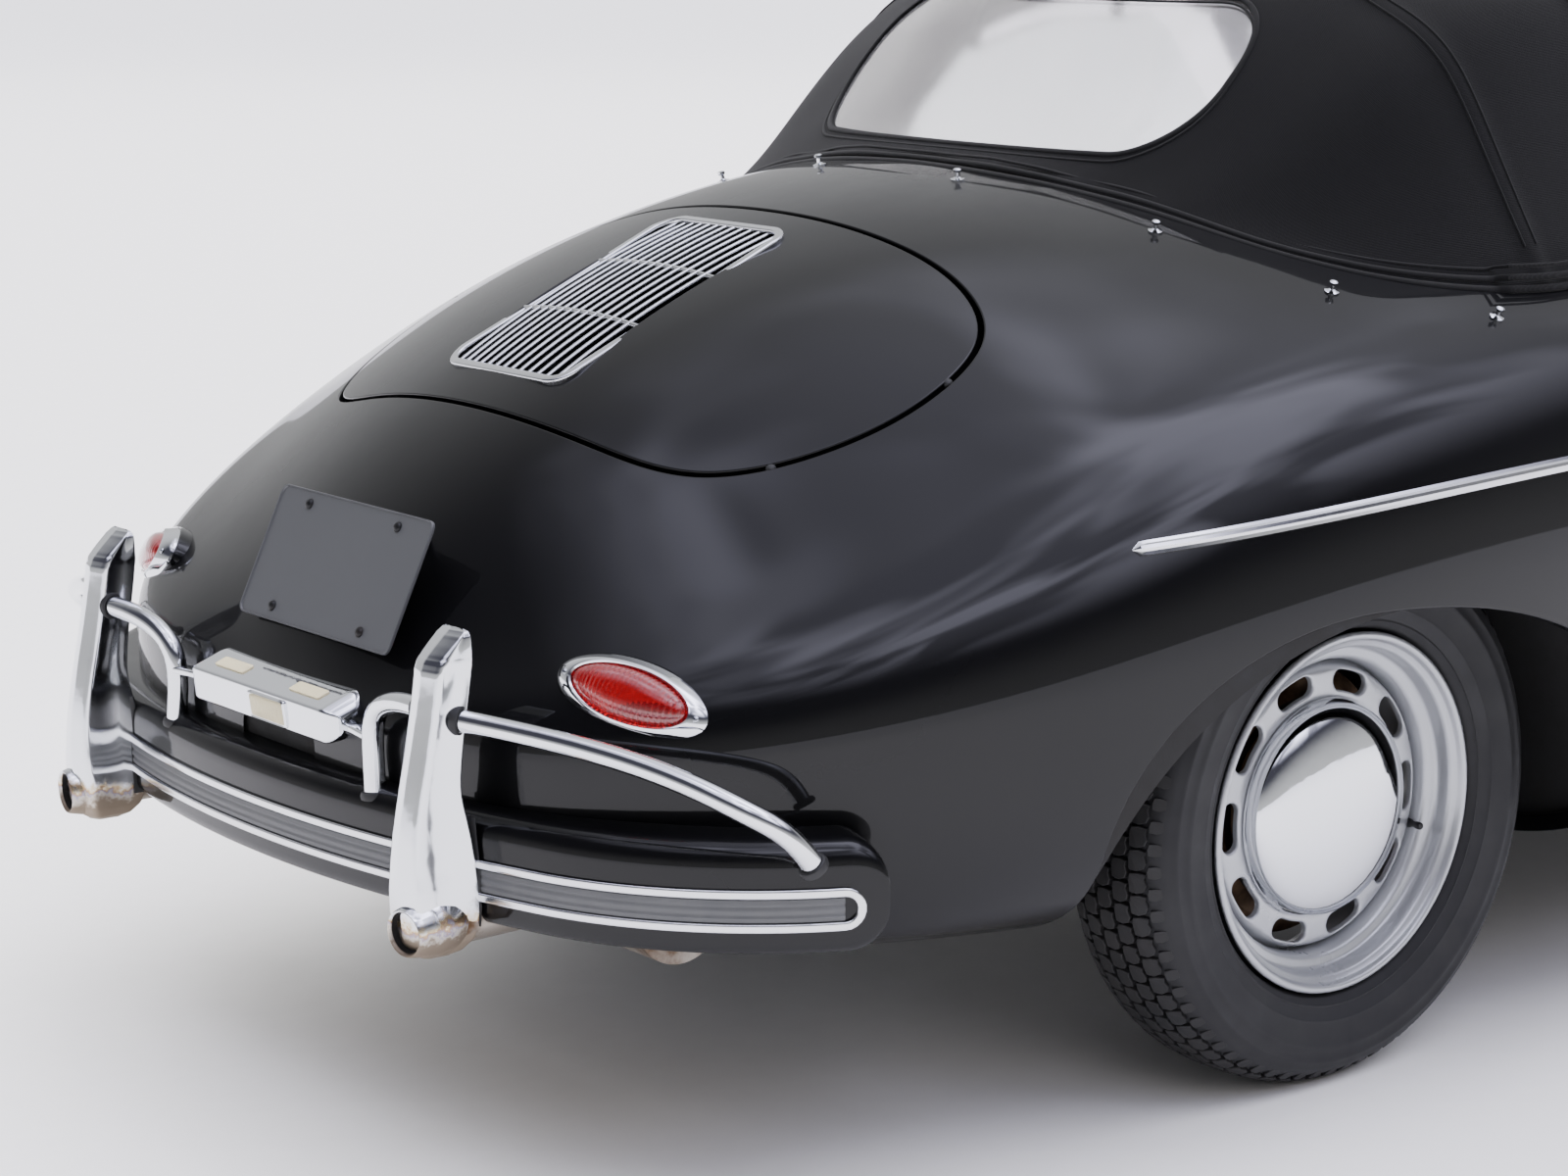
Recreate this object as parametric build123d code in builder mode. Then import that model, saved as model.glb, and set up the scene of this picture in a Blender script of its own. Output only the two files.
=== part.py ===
from build123d import *
import math
import os

os.makedirs("parts", exist_ok=True)

# Open two-seat sports car with its engine behind the rear axle and a raised fabric top.
# Millimetres. +X points forward, +Y to the left, +Z up. The origin is on the ground, below
# the middle of the car's length.

# ---------------------------------------------------------------- driving dimensions
REAR_AXLE_X = -905.0
FRONT_AXLE_X = 1195.0
HUB_Z = 315.0
REAR_WHEEL_Y = 636.0
FRONT_WHEEL_Y = 653.0

SKIN = 20.0          # inset of the inner hull from the outer skin
LID_GAP = 8.0        # shut line round both lids
DOOR_GAP = 8.0       # shut line round the doors

DOOR_FRONT_X = 507.0
DOOR_REAR_X = -400.0
DOOR_HINGE_X = 511.0
DOOR_HINGE_Y = 862.0
SILL_TOP_Z = 302.0
FLOOR_TOP_Z = 235.0
COWL_X = 355.0
COWL_HALF_WIDTH = 648.0
COWL_FOOT_Z = 830.0
BULKHEAD_X = -500.0

BODY_SPLIT_FRONT_X = 515.0
BODY_SPLIT_REAR_X = -400.0

KINGPIN_Y = 600.0
STUB_R = 20.0
STUB_CLEARANCE = 0.05

TAILPIPE_Y = 354.0
TAILPIPE_Z = 300.0
TAILPIPE_R = 24.0

JACK_X = 60.0
JACK_Z = 240.0
JACK_R = 15.0
JACK_Y = (640.0, 715.0)

BIG = 3000.0


# ---------------------------------------------------------------- hull surface
# Each row is one cross-section of the control net, from nose to tail:
# x, crown z, valley y and z, wing crown y and z, half-width, its z, bottom edge y and z.
HULL_ROWS = [
    (1890, 450, 20, 445, 30, 440, 30, 420, 20, 410),
    (1890, 545, 120, 548, 230, 540, 310, 440, 180, 310),
    (1850, 650, 240, 640, 440, 685, 560, 460, 400, 240),
    (1700, 765, 330, 730, 565, 822, 735, 480, 590, 205),
    (1470, 845, 400, 800, 625, 875, 825, 490, 695, 195),
    (1180, 905, 440, 865, 660, 885, 850, 490, 735, 195),
    (820, 955, 460, 925, 680, 890, 845, 490, 750, 195),
    (420, 985, 460, 960, 690, 885, 840, 490, 760, 195),
    (0, 995, 460, 970, 695, 880, 845, 490, 765, 195),
    (-420, 1005, 460, 970, 700, 878, 848, 490, 765, 200),
    (-800, 1020, 450, 957, 700, 868, 842, 490, 750, 205),
    (-1130, 985, 430, 905, 660, 820, 810, 490, 705, 215),
    (-1420, 885, 385, 810, 580, 715, 750, 480, 650, 225),
    (-1660, 755, 300, 680, 460, 605, 620, 460, 558, 240),
    (-1820, 572, 200, 545, 325, 522, 430, 440, 380, 275),
    (-1862, 475, 100, 475, 160, 485, 200, 430, 160, 350),
    (-1862, 435, 20, 435, 30, 430, 30, 420, 20, 415),
]
# Parameters along the net, nose to tail, at which the lofted sections stand.
STATIONS = [0.02, 0.04, 0.065, 0.10, 0.145, 0.20, 0.26, 0.33, 0.40, 0.47, 0.54,
            0.61, 0.67, 0.73, 0.78, 0.83, 0.875, 0.915, 0.945, 0.965, 0.98]
INNER_STATIONS = [u for u in STATIONS if 0.06 < u < 0.95]


def net_weights(count, u):
    """Cubic B-spline weights of `count` rows at u from 0 to 1, with the ends held."""
    degree = 3
    spans = count - degree
    knots = [0.0] * degree + [i / spans for i in range(spans + 1)] + [1.0] * degree
    weights = [1.0 if knots[i] <= u < knots[i + 1] else 0.0 for i in range(len(knots) - 1)]
    for d in range(1, degree + 1):
        raised = []
        for i in range(len(weights) - 1):
            left = knots[i + d] - knots[i]
            right = knots[i + d + 1] - knots[i + 1]
            value = (u - knots[i]) / left * weights[i] if left > 0 else 0.0
            value += (knots[i + d + 1] - u) / right * weights[i + 1] if right > 0 else 0.0
            raised.append(value)
        weights = raised
    return weights


def half_points(row):
    """Control points of one half-section, from the crown to the middle of the floor."""
    _, zc, yv, zv, yf, zf, w, zw, yb, zb = row
    return [
        (0.0, zc),
        (0.5 * yv, zc - 0.22 * (zc - zv)),
        (yv, zv),
        (yf, zf),
        (0.35 * yf + 0.65 * w, zf - 0.20 * (zf - zw)),
        (w, zw + 0.50 * (zf - zw)),
        (1.01 * w, zw),
        (0.99 * w, zw - 0.42 * (zw - zb)),
        (0.35 * w + 0.65 * yb, zb + 0.16 * (zw - zb)),
        (0.8 * yb, zb),
        (0.4 * yb, zb),
        (0.0, zb),
    ]


def inset_points(points, inset):
    """Moves each control point inwards by `inset` along the outline's own normal."""
    moved = []
    last = len(points) - 1
    for i, (y, z) in enumerate(points):
        y0, z0 = points[i - 1] if i else (-points[1][0], points[1][1])
        y1, z1 = points[i + 1] if i < last else (-points[last - 1][0], points[last - 1][1])
        length = math.hypot(y1 - y0, z1 - z0)
        moved.append((y + inset * (z1 - z0) / length, z - inset * (y1 - y0) / length))
    return moved


def hull_outline(u, inset=0.0):
    """The station's x and the clamped control points of its left half."""
    weights = net_weights(len(HULL_ROWS), u)
    x = sum(w * row[0] for w, row in zip(weights, HULL_ROWS))
    rows = [half_points(row) for row in HULL_ROWS]
    points = [
        (
            sum(w * row[i][0] for w, row in zip(weights, rows)),
            sum(w * row[i][1] for w, row in zip(weights, rows)),
        )
        for i in range(len(rows[0]))
    ]
    if inset:
        points = inset_points(points, inset)
    first, second = points[0], points[1]
    last, before = points[-1], points[-2]
    start = (0.0, (4 * first[1] + 2 * second[1]) / 6)
    after_start = (second[0] / 3, (2 * first[1] + second[1]) / 3)
    before_end = (before[0] / 3, (2 * last[1] + before[1]) / 3)
    end = (0.0, (4 * last[1] + 2 * before[1]) / 6)
    return x, [start, after_start] + points[1:-1] + [before_end, end]


def hull_solid(stations, inset=0.0):
    """Lofts the closed cross-sections into the car's outer form, or an inset of it."""
    with BuildPart() as form:
        for u in stations:
            x, left = hull_outline(u, inset)
            right = [(-y, z) for y, z in reversed(left)]
            spans = len(left) - 3
            knots = [0.0] * 3 + [float(i) for i in range(spans + 1)] + [float(spans)] * 3
            with BuildSketch(Plane.YZ.offset(x)):
                with BuildLine():
                    BSpline(left, knots, 3)
                    BSpline(right, knots, 3)
                make_face()
        loft()
    return form.part


def block(x, y, z):
    """A plain box between pairs of x, y and z limits."""
    with BuildPart() as solid:
        with BuildSketch(Plane.XY.offset(z[0])):
            with Locations(((x[0] + x[1]) / 2, (y[0] + y[1]) / 2)):
                Rectangle(x[1] - x[0], y[1] - y[0])
        extrude(amount=z[1] - z[0])
    return solid.part


def cross_car(plane_points, half_width):
    """A prism across the car from an outline in the X-Z plane."""
    with BuildPart() as solid:
        with BuildSketch(Plane.XZ):
            with BuildLine():
                Polyline(*plane_points, close=True)
            make_face()
        extrude(amount=half_width, both=True)
    return solid.part


def disc(x, z, y, radius):
    """A cylinder across the car between two y values."""
    with BuildPart() as solid:
        with BuildSketch(Plane.XZ.offset(-y[1])):
            with Locations((x, z)):
                Circle(radius)
        extrude(amount=y[1] - y[0])
    return solid.part


def rod(start, finish, radius):
    """A straight round bar between two points."""
    way = Vector(*finish) - Vector(*start)
    with BuildPart() as solid:
        with BuildSketch(Plane(origin=start, z_dir=way)):
            Circle(radius)
        extrude(amount=way.length)
    return solid.part


def mirrored(solid):
    """The same solid on the car's other side."""
    return mirror(solid, about=Plane.XZ, mode=Mode.PRIVATE)


def name_part(builder, name):
    """Labels a finished piece and writes its file."""
    builder.part.label = name
    export_step(builder.part, f"parts/{name}.step")


hull = hull_solid(STATIONS)
inner_hull = hull_solid(INNER_STATIONS, SKIN)

# ---------------------------------------------------------------- lids
FRONT_LID_HINGE = (690.0, 965.0)
FRONT_LID_TILT = 10.5          # degrees the lid falls towards the nose
FRONT_LID_HALF = [(0, 0), (4, 170), (24, 310), (90, 408), (240, 444), (560, 402), (830, 312), (975, 175),
                  (1015, 0)]
ENGINE_LID_HINGE = (-1180.0, 952.0)
ENGINE_LID_TILT = 24.0         # degrees the lid falls towards the tail
ENGINE_LID_HALF = [(0, 0), (-3, 220), (-28, 355), (-85, 438), (-185, 468), (-330, 434), (-425, 350),
                   (-456, 215), (-463, 0)]
LID_SHEET = 14.0
LID_CUT_DEPTH = 150.0

GRILLE_HALF_WIDTH = 110.0
GRILLE_REACH = (-52.0, -410.0)
GRILLE_BAR = 7.0
GRILLE_BARS = 13
GRILLE_CROSS = 12.0


def lid_plane(hinge, tilt, forward):
    """The plane through the hinge line and the lid's free edge."""
    angle = math.radians(tilt)
    slope = -math.sin(angle) if forward else math.sin(angle)
    return Plane(
        origin=(hinge[0], 0, hinge[1]),
        x_dir=(math.cos(angle), 0, slope),
        z_dir=(-slope, 0, math.cos(angle)),
    )


def grown_half(half, grow):
    """Moves each point of a half outline outwards, square to its neighbours' chord."""
    start, finish = half[0], half[-1]
    turn = 1 if finish[0] > start[0] else -1
    moved = [(start[0] - turn * grow, 0)]
    for before, point, after in zip(half, half[1:], half[2:]):
        run, rise = after[0] - before[0], after[1] - before[1]
        length = math.hypot(run, rise)
        moved.append((point[0] - turn * grow * rise / length, point[1] + turn * grow * run / length))
    return moved + [(finish[0] + turn * grow, 0)]


def lid_prism(plane, half, grow):
    """The lid's outline carried through the skin, square to its plane."""
    points = grown_half(half, grow)
    other_side = [(u, -v) for u, v in reversed(points)]
    with BuildPart() as prism:
        with BuildSketch(plane.offset(-LID_CUT_DEPTH)):
            with BuildLine():
                Spline(points, tangents=[(0, 1), (0, -1)])
                Spline(other_side, tangents=[(0, -1), (0, 1)])
            make_face()
        extrude(amount=2 * LID_CUT_DEPTH)
    return prism.part


front_lid_plane = lid_plane(FRONT_LID_HINGE, FRONT_LID_TILT, True)
engine_lid_plane = lid_plane(ENGINE_LID_HINGE, ENGINE_LID_TILT, False)
lid_under = hull_solid(INNER_STATIONS, LID_SHEET)

front_lid_prism = lid_prism(front_lid_plane, FRONT_LID_HALF, 0.0)
front_lid_opening = lid_prism(front_lid_plane, FRONT_LID_HALF, LID_GAP)
engine_lid_prism = lid_prism(engine_lid_plane, ENGINE_LID_HALF, 0.0)
engine_lid_opening = lid_prism(engine_lid_plane, ENGINE_LID_HALF, LID_GAP)

with BuildPart() as front_lid:
    add(front_lid_prism)
    add(hull, mode=Mode.INTERSECT)
    add(lid_under, mode=Mode.SUBTRACT)
name_part(front_lid, "front_lid")


def grille_slab(plane, u, v):
    """A straight-sided block standing on the lid's plane."""
    with BuildPart() as slab:
        with BuildSketch(plane.offset(-LID_CUT_DEPTH)):
            with Locations(((u[0] + u[1]) / 2, (v[0] + v[1]) / 2)):
                Rectangle(abs(u[1] - u[0]), abs(v[1] - v[0]))
        extrude(amount=2 * LID_CUT_DEPTH)
    return slab.part


grille_window = grille_slab(engine_lid_plane, GRILLE_REACH, (-GRILLE_HALF_WIDTH, GRILLE_HALF_WIDTH))

with BuildPart() as engine_lid:
    add(engine_lid_prism)
    add(hull, mode=Mode.INTERSECT)
    add(lid_under, mode=Mode.SUBTRACT)
    add(grille_window, mode=Mode.SUBTRACT)
name_part(engine_lid, "engine_lid")

grille_pitch = 2 * GRILLE_HALF_WIDTH / GRILLE_BARS
grille_bay = (GRILLE_REACH[0] - GRILLE_REACH[1]) / 3
grille_slots = []
for k in range(GRILLE_BARS):
    middle = -GRILLE_HALF_WIDTH + (k + 0.5) * grille_pitch
    half_slot = (grille_pitch - GRILLE_BAR) / 2
    for j in range(3):
        top = GRILLE_REACH[0] - j * grille_bay - GRILLE_CROSS / 2
        reach = (top, top - grille_bay + GRILLE_CROSS)
        grille_slots.append(grille_slab(engine_lid_plane, reach, (middle - half_slot, middle + half_slot)))

with BuildPart() as engine_grille:
    add(grille_window)
    add(hull, mode=Mode.INTERSECT)
    add(lid_under, mode=Mode.SUBTRACT)
    for slot in grille_slots:
        add(slot, mode=Mode.SUBTRACT)
name_part(engine_grille, "engine_grille")

# ---------------------------------------------------------------- cabin, wells and bays
CABIN_SIDE = [(0, FLOOR_TOP_Z), (600, FLOOR_TOP_Z), (690, 330), (735, 480), (730, 640), (668, 880),
              (655, 1150), (0, 1150)]
FOOTWELL_X = 760.0
REAR_SHELF_X = -930.0
REAR_SHELF_Z = 560.0
WELL_R = 388.0
FRONT_WELL_Y = 405.0
REAR_WELL_Y = 500.0


def cabin_prism(x0, x1):
    """The cabin's cross-section carried along the car."""
    with BuildPart() as space:
        with BuildSketch(Plane.YZ.offset(x0)):
            with BuildLine():
                Polyline(*CABIN_SIDE)
                mirror(about=Plane.YZ)
            make_face()
        extrude(amount=x1 - x0)
    return space.part


def arch_prism(x, z, half_length, height, y):
    """An arch opening: a half-ellipse standing on straight sides."""
    with BuildPart() as space:
        with BuildSketch(Plane.XZ.offset(-y[1])):
            with Locations((x, z)):
                Ellipse(half_length, height)
            with Locations((x, z / 2 - 50)):
                Rectangle(2 * half_length, z + 100)
        extrude(amount=y[1] - y[0])
    return space.part


def inside(solid, limit):
    """What two solids share, made apart from any builder."""
    with BuildPart() as shared:
        add(solid)
        add(limit, mode=Mode.INTERSECT)
    return shared.part


front_well = inside(disc(FRONT_AXLE_X, HUB_Z, (FRONT_WELL_Y, 950), WELL_R), inner_hull)
rear_well = inside(disc(REAR_AXLE_X, HUB_Z, (REAR_WELL_Y, 950), WELL_R), inner_hull)
front_mouth = block((FRONT_AXLE_X - 370, FRONT_AXLE_X + 370), (FRONT_WELL_Y, 950), (100, 300))
rear_mouth = block((REAR_AXLE_X - 370, REAR_AXLE_X + 370), (REAR_WELL_Y, 950), (100, 300))
front_arch = arch_prism(FRONT_AXLE_X, 300, 400, 300, (600, 950))
rear_arch = arch_prism(REAR_AXLE_X - 20, 300, 400, 280, (600, 950))

trunk = inside(block((860, 1650), (-385, 385), (500, 1100)), inner_hull)
engine_bay = inside(block((-1700, -1030), (-440, 440), (100, 1100)), inner_hull)
engine_bay_floor = block((-1735, -1030), (-440, 440), (100, 400))
gearbox_tunnel = block((-1040, -620), (-REAR_WELL_Y - 1, REAR_WELL_Y + 1), (100, 520))
front_axle_space = block((1060, 1420), (-FRONT_WELL_Y - 1, FRONT_WELL_Y + 1), (100, 460))

HEADLIGHT_X = 1770.0
HEADLIGHT_Y = 600.0
HEADLIGHT_Z = 668.0
HEADLIGHT_RIM_R = 104.0
HEADLIGHT_LEAN = 14.0

headlight_plane = Plane(
    origin=(HEADLIGHT_X, HEADLIGHT_Y, HEADLIGHT_Z),
    x_dir=(0, 1, 0),
    z_dir=(math.cos(math.radians(HEADLIGHT_LEAN)), 0, math.sin(math.radians(HEADLIGHT_LEAN))),
)
with BuildPart() as headlight_bucket:
    with BuildSketch(headlight_plane.offset(-60)):
        Circle(HEADLIGHT_RIM_R)
    extrude(amount=200)

front_block = block((BODY_SPLIT_FRONT_X, BIG), (-BIG, BIG), (0, BIG))
cowl_block = block((COWL_X, BODY_SPLIT_FRONT_X), (-COWL_HALF_WIDTH, COWL_HALF_WIDTH), (COWL_FOOT_Z, BIG))
with BuildPart() as front_region:
    add(front_block)
    add(cowl_block)
footwell = block((BODY_SPLIT_FRONT_X, FOOTWELL_X), (-600, 600), (FLOOR_TOP_Z, 800))
front_cuts = [footwell, trunk, front_lid_opening, front_axle_space]
for side_cut in (front_well, front_mouth, front_arch, headlight_bucket.part):
    front_cuts += [side_cut, mirrored(side_cut)]

with BuildPart() as front_body:
    add(hull)
    add(front_region.part, mode=Mode.INTERSECT)
    for cut in front_cuts:
        add(cut, mode=Mode.SUBTRACT)
name_part(front_body, "front_body")

DOOR_REACH = DOOR_HINGE_X - DOOR_REAR_X + 18
with BuildPart() as door_sweep:
    with BuildSketch(Plane.XY.offset(SILL_TOP_Z)):
        with Locations((DOOR_HINGE_X, DOOR_HINGE_Y)):
            Circle(DOOR_REACH + DOOR_GAP)
    extrude(amount=BIG)
rear_side_cut = inside(door_sweep.part, block((-460, 0), (560, 1000), (SILL_TOP_Z, BIG)))

rear_region = block((-BIG, BODY_SPLIT_REAR_X), (-BIG, BIG), (0, BIG))
rear_well_space = block((REAR_SHELF_X, 0), (-560, 560), (REAR_SHELF_Z, 1100))
tailpipe_notch = rod((-2000, TAILPIPE_Y, TAILPIPE_Z), (-1690, TAILPIPE_Y, TAILPIPE_Z), TAILPIPE_R + 12)
rear_cuts = [cabin_prism(BULKHEAD_X, 0), rear_well_space, engine_bay, engine_bay_floor]
rear_cuts += [gearbox_tunnel, engine_lid_opening]
for side_cut in (rear_well, rear_mouth, rear_arch, rear_side_cut, tailpipe_notch):
    rear_cuts += [side_cut, mirrored(side_cut)]

with BuildPart() as rear_body:
    add(hull)
    add(rear_region, mode=Mode.INTERSECT)
    for cut in rear_cuts:
        add(cut, mode=Mode.SUBTRACT)
name_part(rear_body, "rear_body")

TUNNEL_HALF_WIDTH = 90.0
TUNNEL_TOP_Z = 330.0
floor_region = block((BODY_SPLIT_REAR_X, BODY_SPLIT_FRONT_X), (-BIG, BIG), (0, SILL_TOP_Z))
floor_cabin = cabin_prism(BODY_SPLIT_REAR_X, BODY_SPLIT_FRONT_X)
tunnel = block(
    (BODY_SPLIT_REAR_X, BODY_SPLIT_FRONT_X),
    (-TUNNEL_HALF_WIDTH, TUNNEL_HALF_WIDTH),
    (FLOOR_TOP_Z - 20, TUNNEL_TOP_Z),
)

jack_bore = rod((JACK_X, JACK_Y[0], JACK_Z), (JACK_X, JACK_Y[1], JACK_Z), JACK_R)
jack_face = rod((JACK_X, JACK_Y[1], JACK_Z), (JACK_X, 900, JACK_Z), JACK_R + 10)

with BuildPart() as floor_tub:
    add(hull)
    add(floor_region, mode=Mode.INTERSECT)
    add(floor_cabin, mode=Mode.SUBTRACT)
    add(tunnel)
    for hollow in (jack_bore, jack_face):
        add(hollow, mode=Mode.SUBTRACT)
        add(mirrored(hollow), mode=Mode.SUBTRACT)
name_part(floor_tub, "floor_tub")

# ---------------------------------------------------------------- doors and side glass
DOOR_BOTTOM_Z = SILL_TOP_Z + DOOR_GAP
door_region = block((-460, DOOR_FRONT_X), (560, 1000), (DOOR_BOTTOM_Z, BIG))
door_cabin = cabin_prism(-600, 600)
with BuildPart() as door_reach:
    with BuildSketch(Plane.XY):
        with Locations((DOOR_HINGE_X, DOOR_HINGE_Y)):
            Circle(DOOR_REACH)
    extrude(amount=BIG)

with BuildPart() as door_left:
    add(hull)
    add(door_region, mode=Mode.INTERSECT)
    add(door_reach.part, mode=Mode.INTERSECT)
    add(door_cabin, mode=Mode.SUBTRACT)
name_part(door_left, "door_left")

with BuildPart() as door_right:
    mirror(door_left.part, about=Plane.XZ)
name_part(door_right, "door_right")

GLASS_THICK = 8.0
SIDE_GLASS = [(352, 880), (-385, 865), (-378, 1000), (-320, 1095), (-160, 1140), (50, 1142), (84, 1125)]
SIDE_GLASS_FOOT_Y = 676.0
SIDE_GLASS_TILT = 22.0

side_glass_plane = Plane(
    origin=(0, SIDE_GLASS_FOOT_Y, 880),
    x_dir=(1, 0, 0),
    z_dir=(0, math.cos(math.radians(SIDE_GLASS_TILT)), math.sin(math.radians(SIDE_GLASS_TILT))),
)
with BuildPart() as door_glass_left:
    with BuildSketch(side_glass_plane):
        with BuildLine():
            Polyline(*[(x, -(z - 880)) for x, z in SIDE_GLASS], close=True)
        make_face()
    extrude(amount=GLASS_THICK)
    add(hull, mode=Mode.SUBTRACT)
name_part(door_glass_left, "door_glass_left")

with BuildPart() as door_glass_right:
    mirror(door_glass_left.part, about=Plane.XZ)
name_part(door_glass_right, "door_glass_right")

# ---------------------------------------------------------------- fabric top and its bows
# Rows of the top's own net, front to back: x, crown z, roof y and z, shoulder y and z, foot y and z.
TOP_ROWS = [
    (235, 1190, 300, 1188, 545, 1165, 662, 900),
    (200, 1205, 300, 1200, 545, 1175, 664, 900),
    (80, 1258, 300, 1250, 545, 1205, 668, 900),
    (-120, 1292, 305, 1284, 535, 1222, 672, 895),
    (-350, 1294, 305, 1284, 540, 1215, 682, 885),
    (-520, 1280, 300, 1262, 530, 1170, 684, 872),
    (-640, 1235, 295, 1210, 515, 1105, 672, 870),
    (-740, 1150, 285, 1122, 475, 1028, 642, 872),
    (-820, 1066, 270, 1045, 420, 980, 577, 892),
    (-890, 1010, 230, 996, 340, 960, 467, 922),
    (-945, 994, 150, 988, 225, 972, 302, 952),
    (-955, 988, 110, 980, 190, 965, 252, 947),
]
TOP_FOOT_Z = 780.0
TOP_STATIONS = [0.0, 0.08, 0.18, 0.28, 0.38, 0.48, 0.58, 0.68, 0.78, 0.88, 0.96]
TOP_SHEET = 10.0
REAR_WINDOW_SIZE = (660.0, 178.0)
REAR_WINDOW_CORNER = 82.0
REAR_WINDOW_Z = 1110.0


def top_outline(u, inset):
    """The station's x, its clamped left half from crown to foot, and the foot's corner."""
    weights = net_weights(len(TOP_ROWS), u)
    x, zc, yr, zr, ys, zs, yf, zf = (
        sum(w * row[i] for w, row in zip(weights, TOP_ROWS)) for i in range(8)
    )
    points = [(0.0, zc), (0.55 * yr, zc), (yr, zr), (0.5 * (yr + ys), 0.45 * zr + 0.55 * zs),
              (ys, zs), (0.62 * ys + 0.38 * yf, 0.55 * zs + 0.45 * zf), (yf, zf)]
    if inset:
        points = [(max(y - inset * y / ys, 0.0) if i < 3 else y - inset, z - inset if i < 5 else z)
                  for i, (y, z) in enumerate(points)]
    return x, points


def top_solid(inset=0.0):
    """Lofts the top's outer form, filled down to below the waistline."""
    with BuildPart() as form:
        for u in TOP_STATIONS:
            x, left = top_outline(u, inset)
            right = [(-y, z) for y, z in reversed(left)]
            spans = len(left) - 3
            knots = [0.0] * 3 + [float(i) for i in range(spans + 1)] + [float(spans)] * 3
            foot = left[-1]
            with BuildSketch(Plane.YZ.offset(x)):
                with BuildLine():
                    BSpline(left, knots, 3)
                    Polyline(foot, (foot[0], TOP_FOOT_Z), (-foot[0], TOP_FOOT_Z), (-foot[0], foot[1]))
                    BSpline(right, knots, 3)
                make_face()
        loft()
    return form.part


top_form = top_solid()
top_inside = top_solid(TOP_SHEET)
side_window_space = cross_car(
    [(400, 700), (-395, 700), (-400, 960), (-372, 1060), (-300, 1130), (-150, 1162), (60, 1158),
     (120, 1130), (400, 1130)], 900)
front_open = block((60, 500), (-900, 900), (700, 1128))
with BuildPart() as rear_window_space:
    with BuildSketch(Plane.YZ.offset(-1100)):
        with Locations((0, REAR_WINDOW_Z)):
            RectangleRounded(*REAR_WINDOW_SIZE, REAR_WINDOW_CORNER)
    extrude(amount=560)
rear_window_cut = rear_window_space.part

with BuildPart() as soft_top:
    add(top_form)
    add(top_inside, mode=Mode.SUBTRACT)
    add(side_window_space, mode=Mode.SUBTRACT)
    add(rear_window_cut, mode=Mode.SUBTRACT)
    add(front_open, mode=Mode.SUBTRACT)
    add(hull, mode=Mode.SUBTRACT)
name_part(soft_top, "soft_top")

with BuildPart() as rear_window:
    add(top_form)
    add(top_inside, mode=Mode.SUBTRACT)
    add(rear_window_cut, mode=Mode.INTERSECT)
name_part(rear_window, "rear_window")

BOW_R = 9.0
BOW_XS = [-60.0, -330.0, -560.0]
bow_region_blocks = [block((x - BOW_R, x + BOW_R), (-700, 700), (960, 1400)) for x in BOW_XS]
top_bow_outer = top_solid(TOP_SHEET + 2)
top_bow_inner = top_solid(TOP_SHEET + 2 + 2 * BOW_R)
with BuildPart() as top_bows:
    for region in bow_region_blocks:
        add(region)
    add(top_bow_outer, mode=Mode.INTERSECT)
    add(top_bow_inner, mode=Mode.SUBTRACT)
name_part(top_bows, "top_bows")

# ---------------------------------------------------------------- windscreen and dashboard
SCREEN_ARC_R = 1510.0
SCREEN_FOOT_X = 550.0
SCREEN_FOOT_Z = 880.0
SCREEN_RISE = Vector(-300, 0, 245)
SCREEN_RISE_LENGTH = 480.0
FRAME_THICK = 24.0
SCREEN_THICK = 6.0


def screen_sheet(thick):
    """A curved sheet, leaning back, with its middle at the car's centre line."""
    half = 700.0
    sag = SCREEN_ARC_R - math.sqrt(SCREEN_ARC_R**2 - half**2)
    front, back = SCREEN_FOOT_X + thick / 2, SCREEN_FOOT_X - thick / 2
    with BuildPart() as sheet:
        with BuildSketch(Plane.XY.offset(SCREEN_FOOT_Z)):
            with BuildLine():
                ThreePointArc((front - sag, half), (front, 0), (front - sag, -half))
                Line((front - sag, -half), (back - sag, -half))
                ThreePointArc((back - sag, -half), (back, 0), (back - sag, half))
                Line((back - sag, half), (front - sag, half))
            make_face()
        extrude(amount=SCREEN_RISE_LENGTH, dir=SCREEN_RISE)
    return sheet.part


def screen_outline(foot_z, foot_half, head_z, head_half, foot_crown, head_crown, depth_x):
    """The screen's outline as seen from ahead, carried along the car."""
    with BuildPart() as outline:
        with BuildSketch(Plane.YZ.offset(depth_x)):
            with BuildLine():
                Line((foot_half, foot_z), (head_half, head_z))
                ThreePointArc((head_half, head_z), (0, head_z + head_crown), (-head_half, head_z))
                Line((-head_half, head_z), (-foot_half, foot_z))
                ThreePointArc((-foot_half, foot_z), (0, foot_z + foot_crown), (foot_half, foot_z))
            make_face()
            fillet(vertices(), 40)
        extrude(amount=800)
    return outline.part


frame_band = screen_sheet(FRAME_THICK)
glass_band = screen_sheet(SCREEN_THICK)
frame_outline = screen_outline(880, 645, 1132, 543, 40, 42, 0)
pane_outline = screen_outline(938, 592, 1112, 516, 60, 40, 0)

with BuildPart() as windscreen_frame:
    add(frame_band)
    add(frame_outline, mode=Mode.INTERSECT)
    add(pane_outline, mode=Mode.SUBTRACT)
    add(hull, mode=Mode.SUBTRACT)
    add(soft_top.part, mode=Mode.SUBTRACT)
name_part(windscreen_frame, "windscreen_frame")

with BuildPart() as windscreen_glass:
    add(glass_band)
    add(pane_outline, mode=Mode.INTERSECT)
name_part(windscreen_glass, "windscreen_glass")

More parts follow.
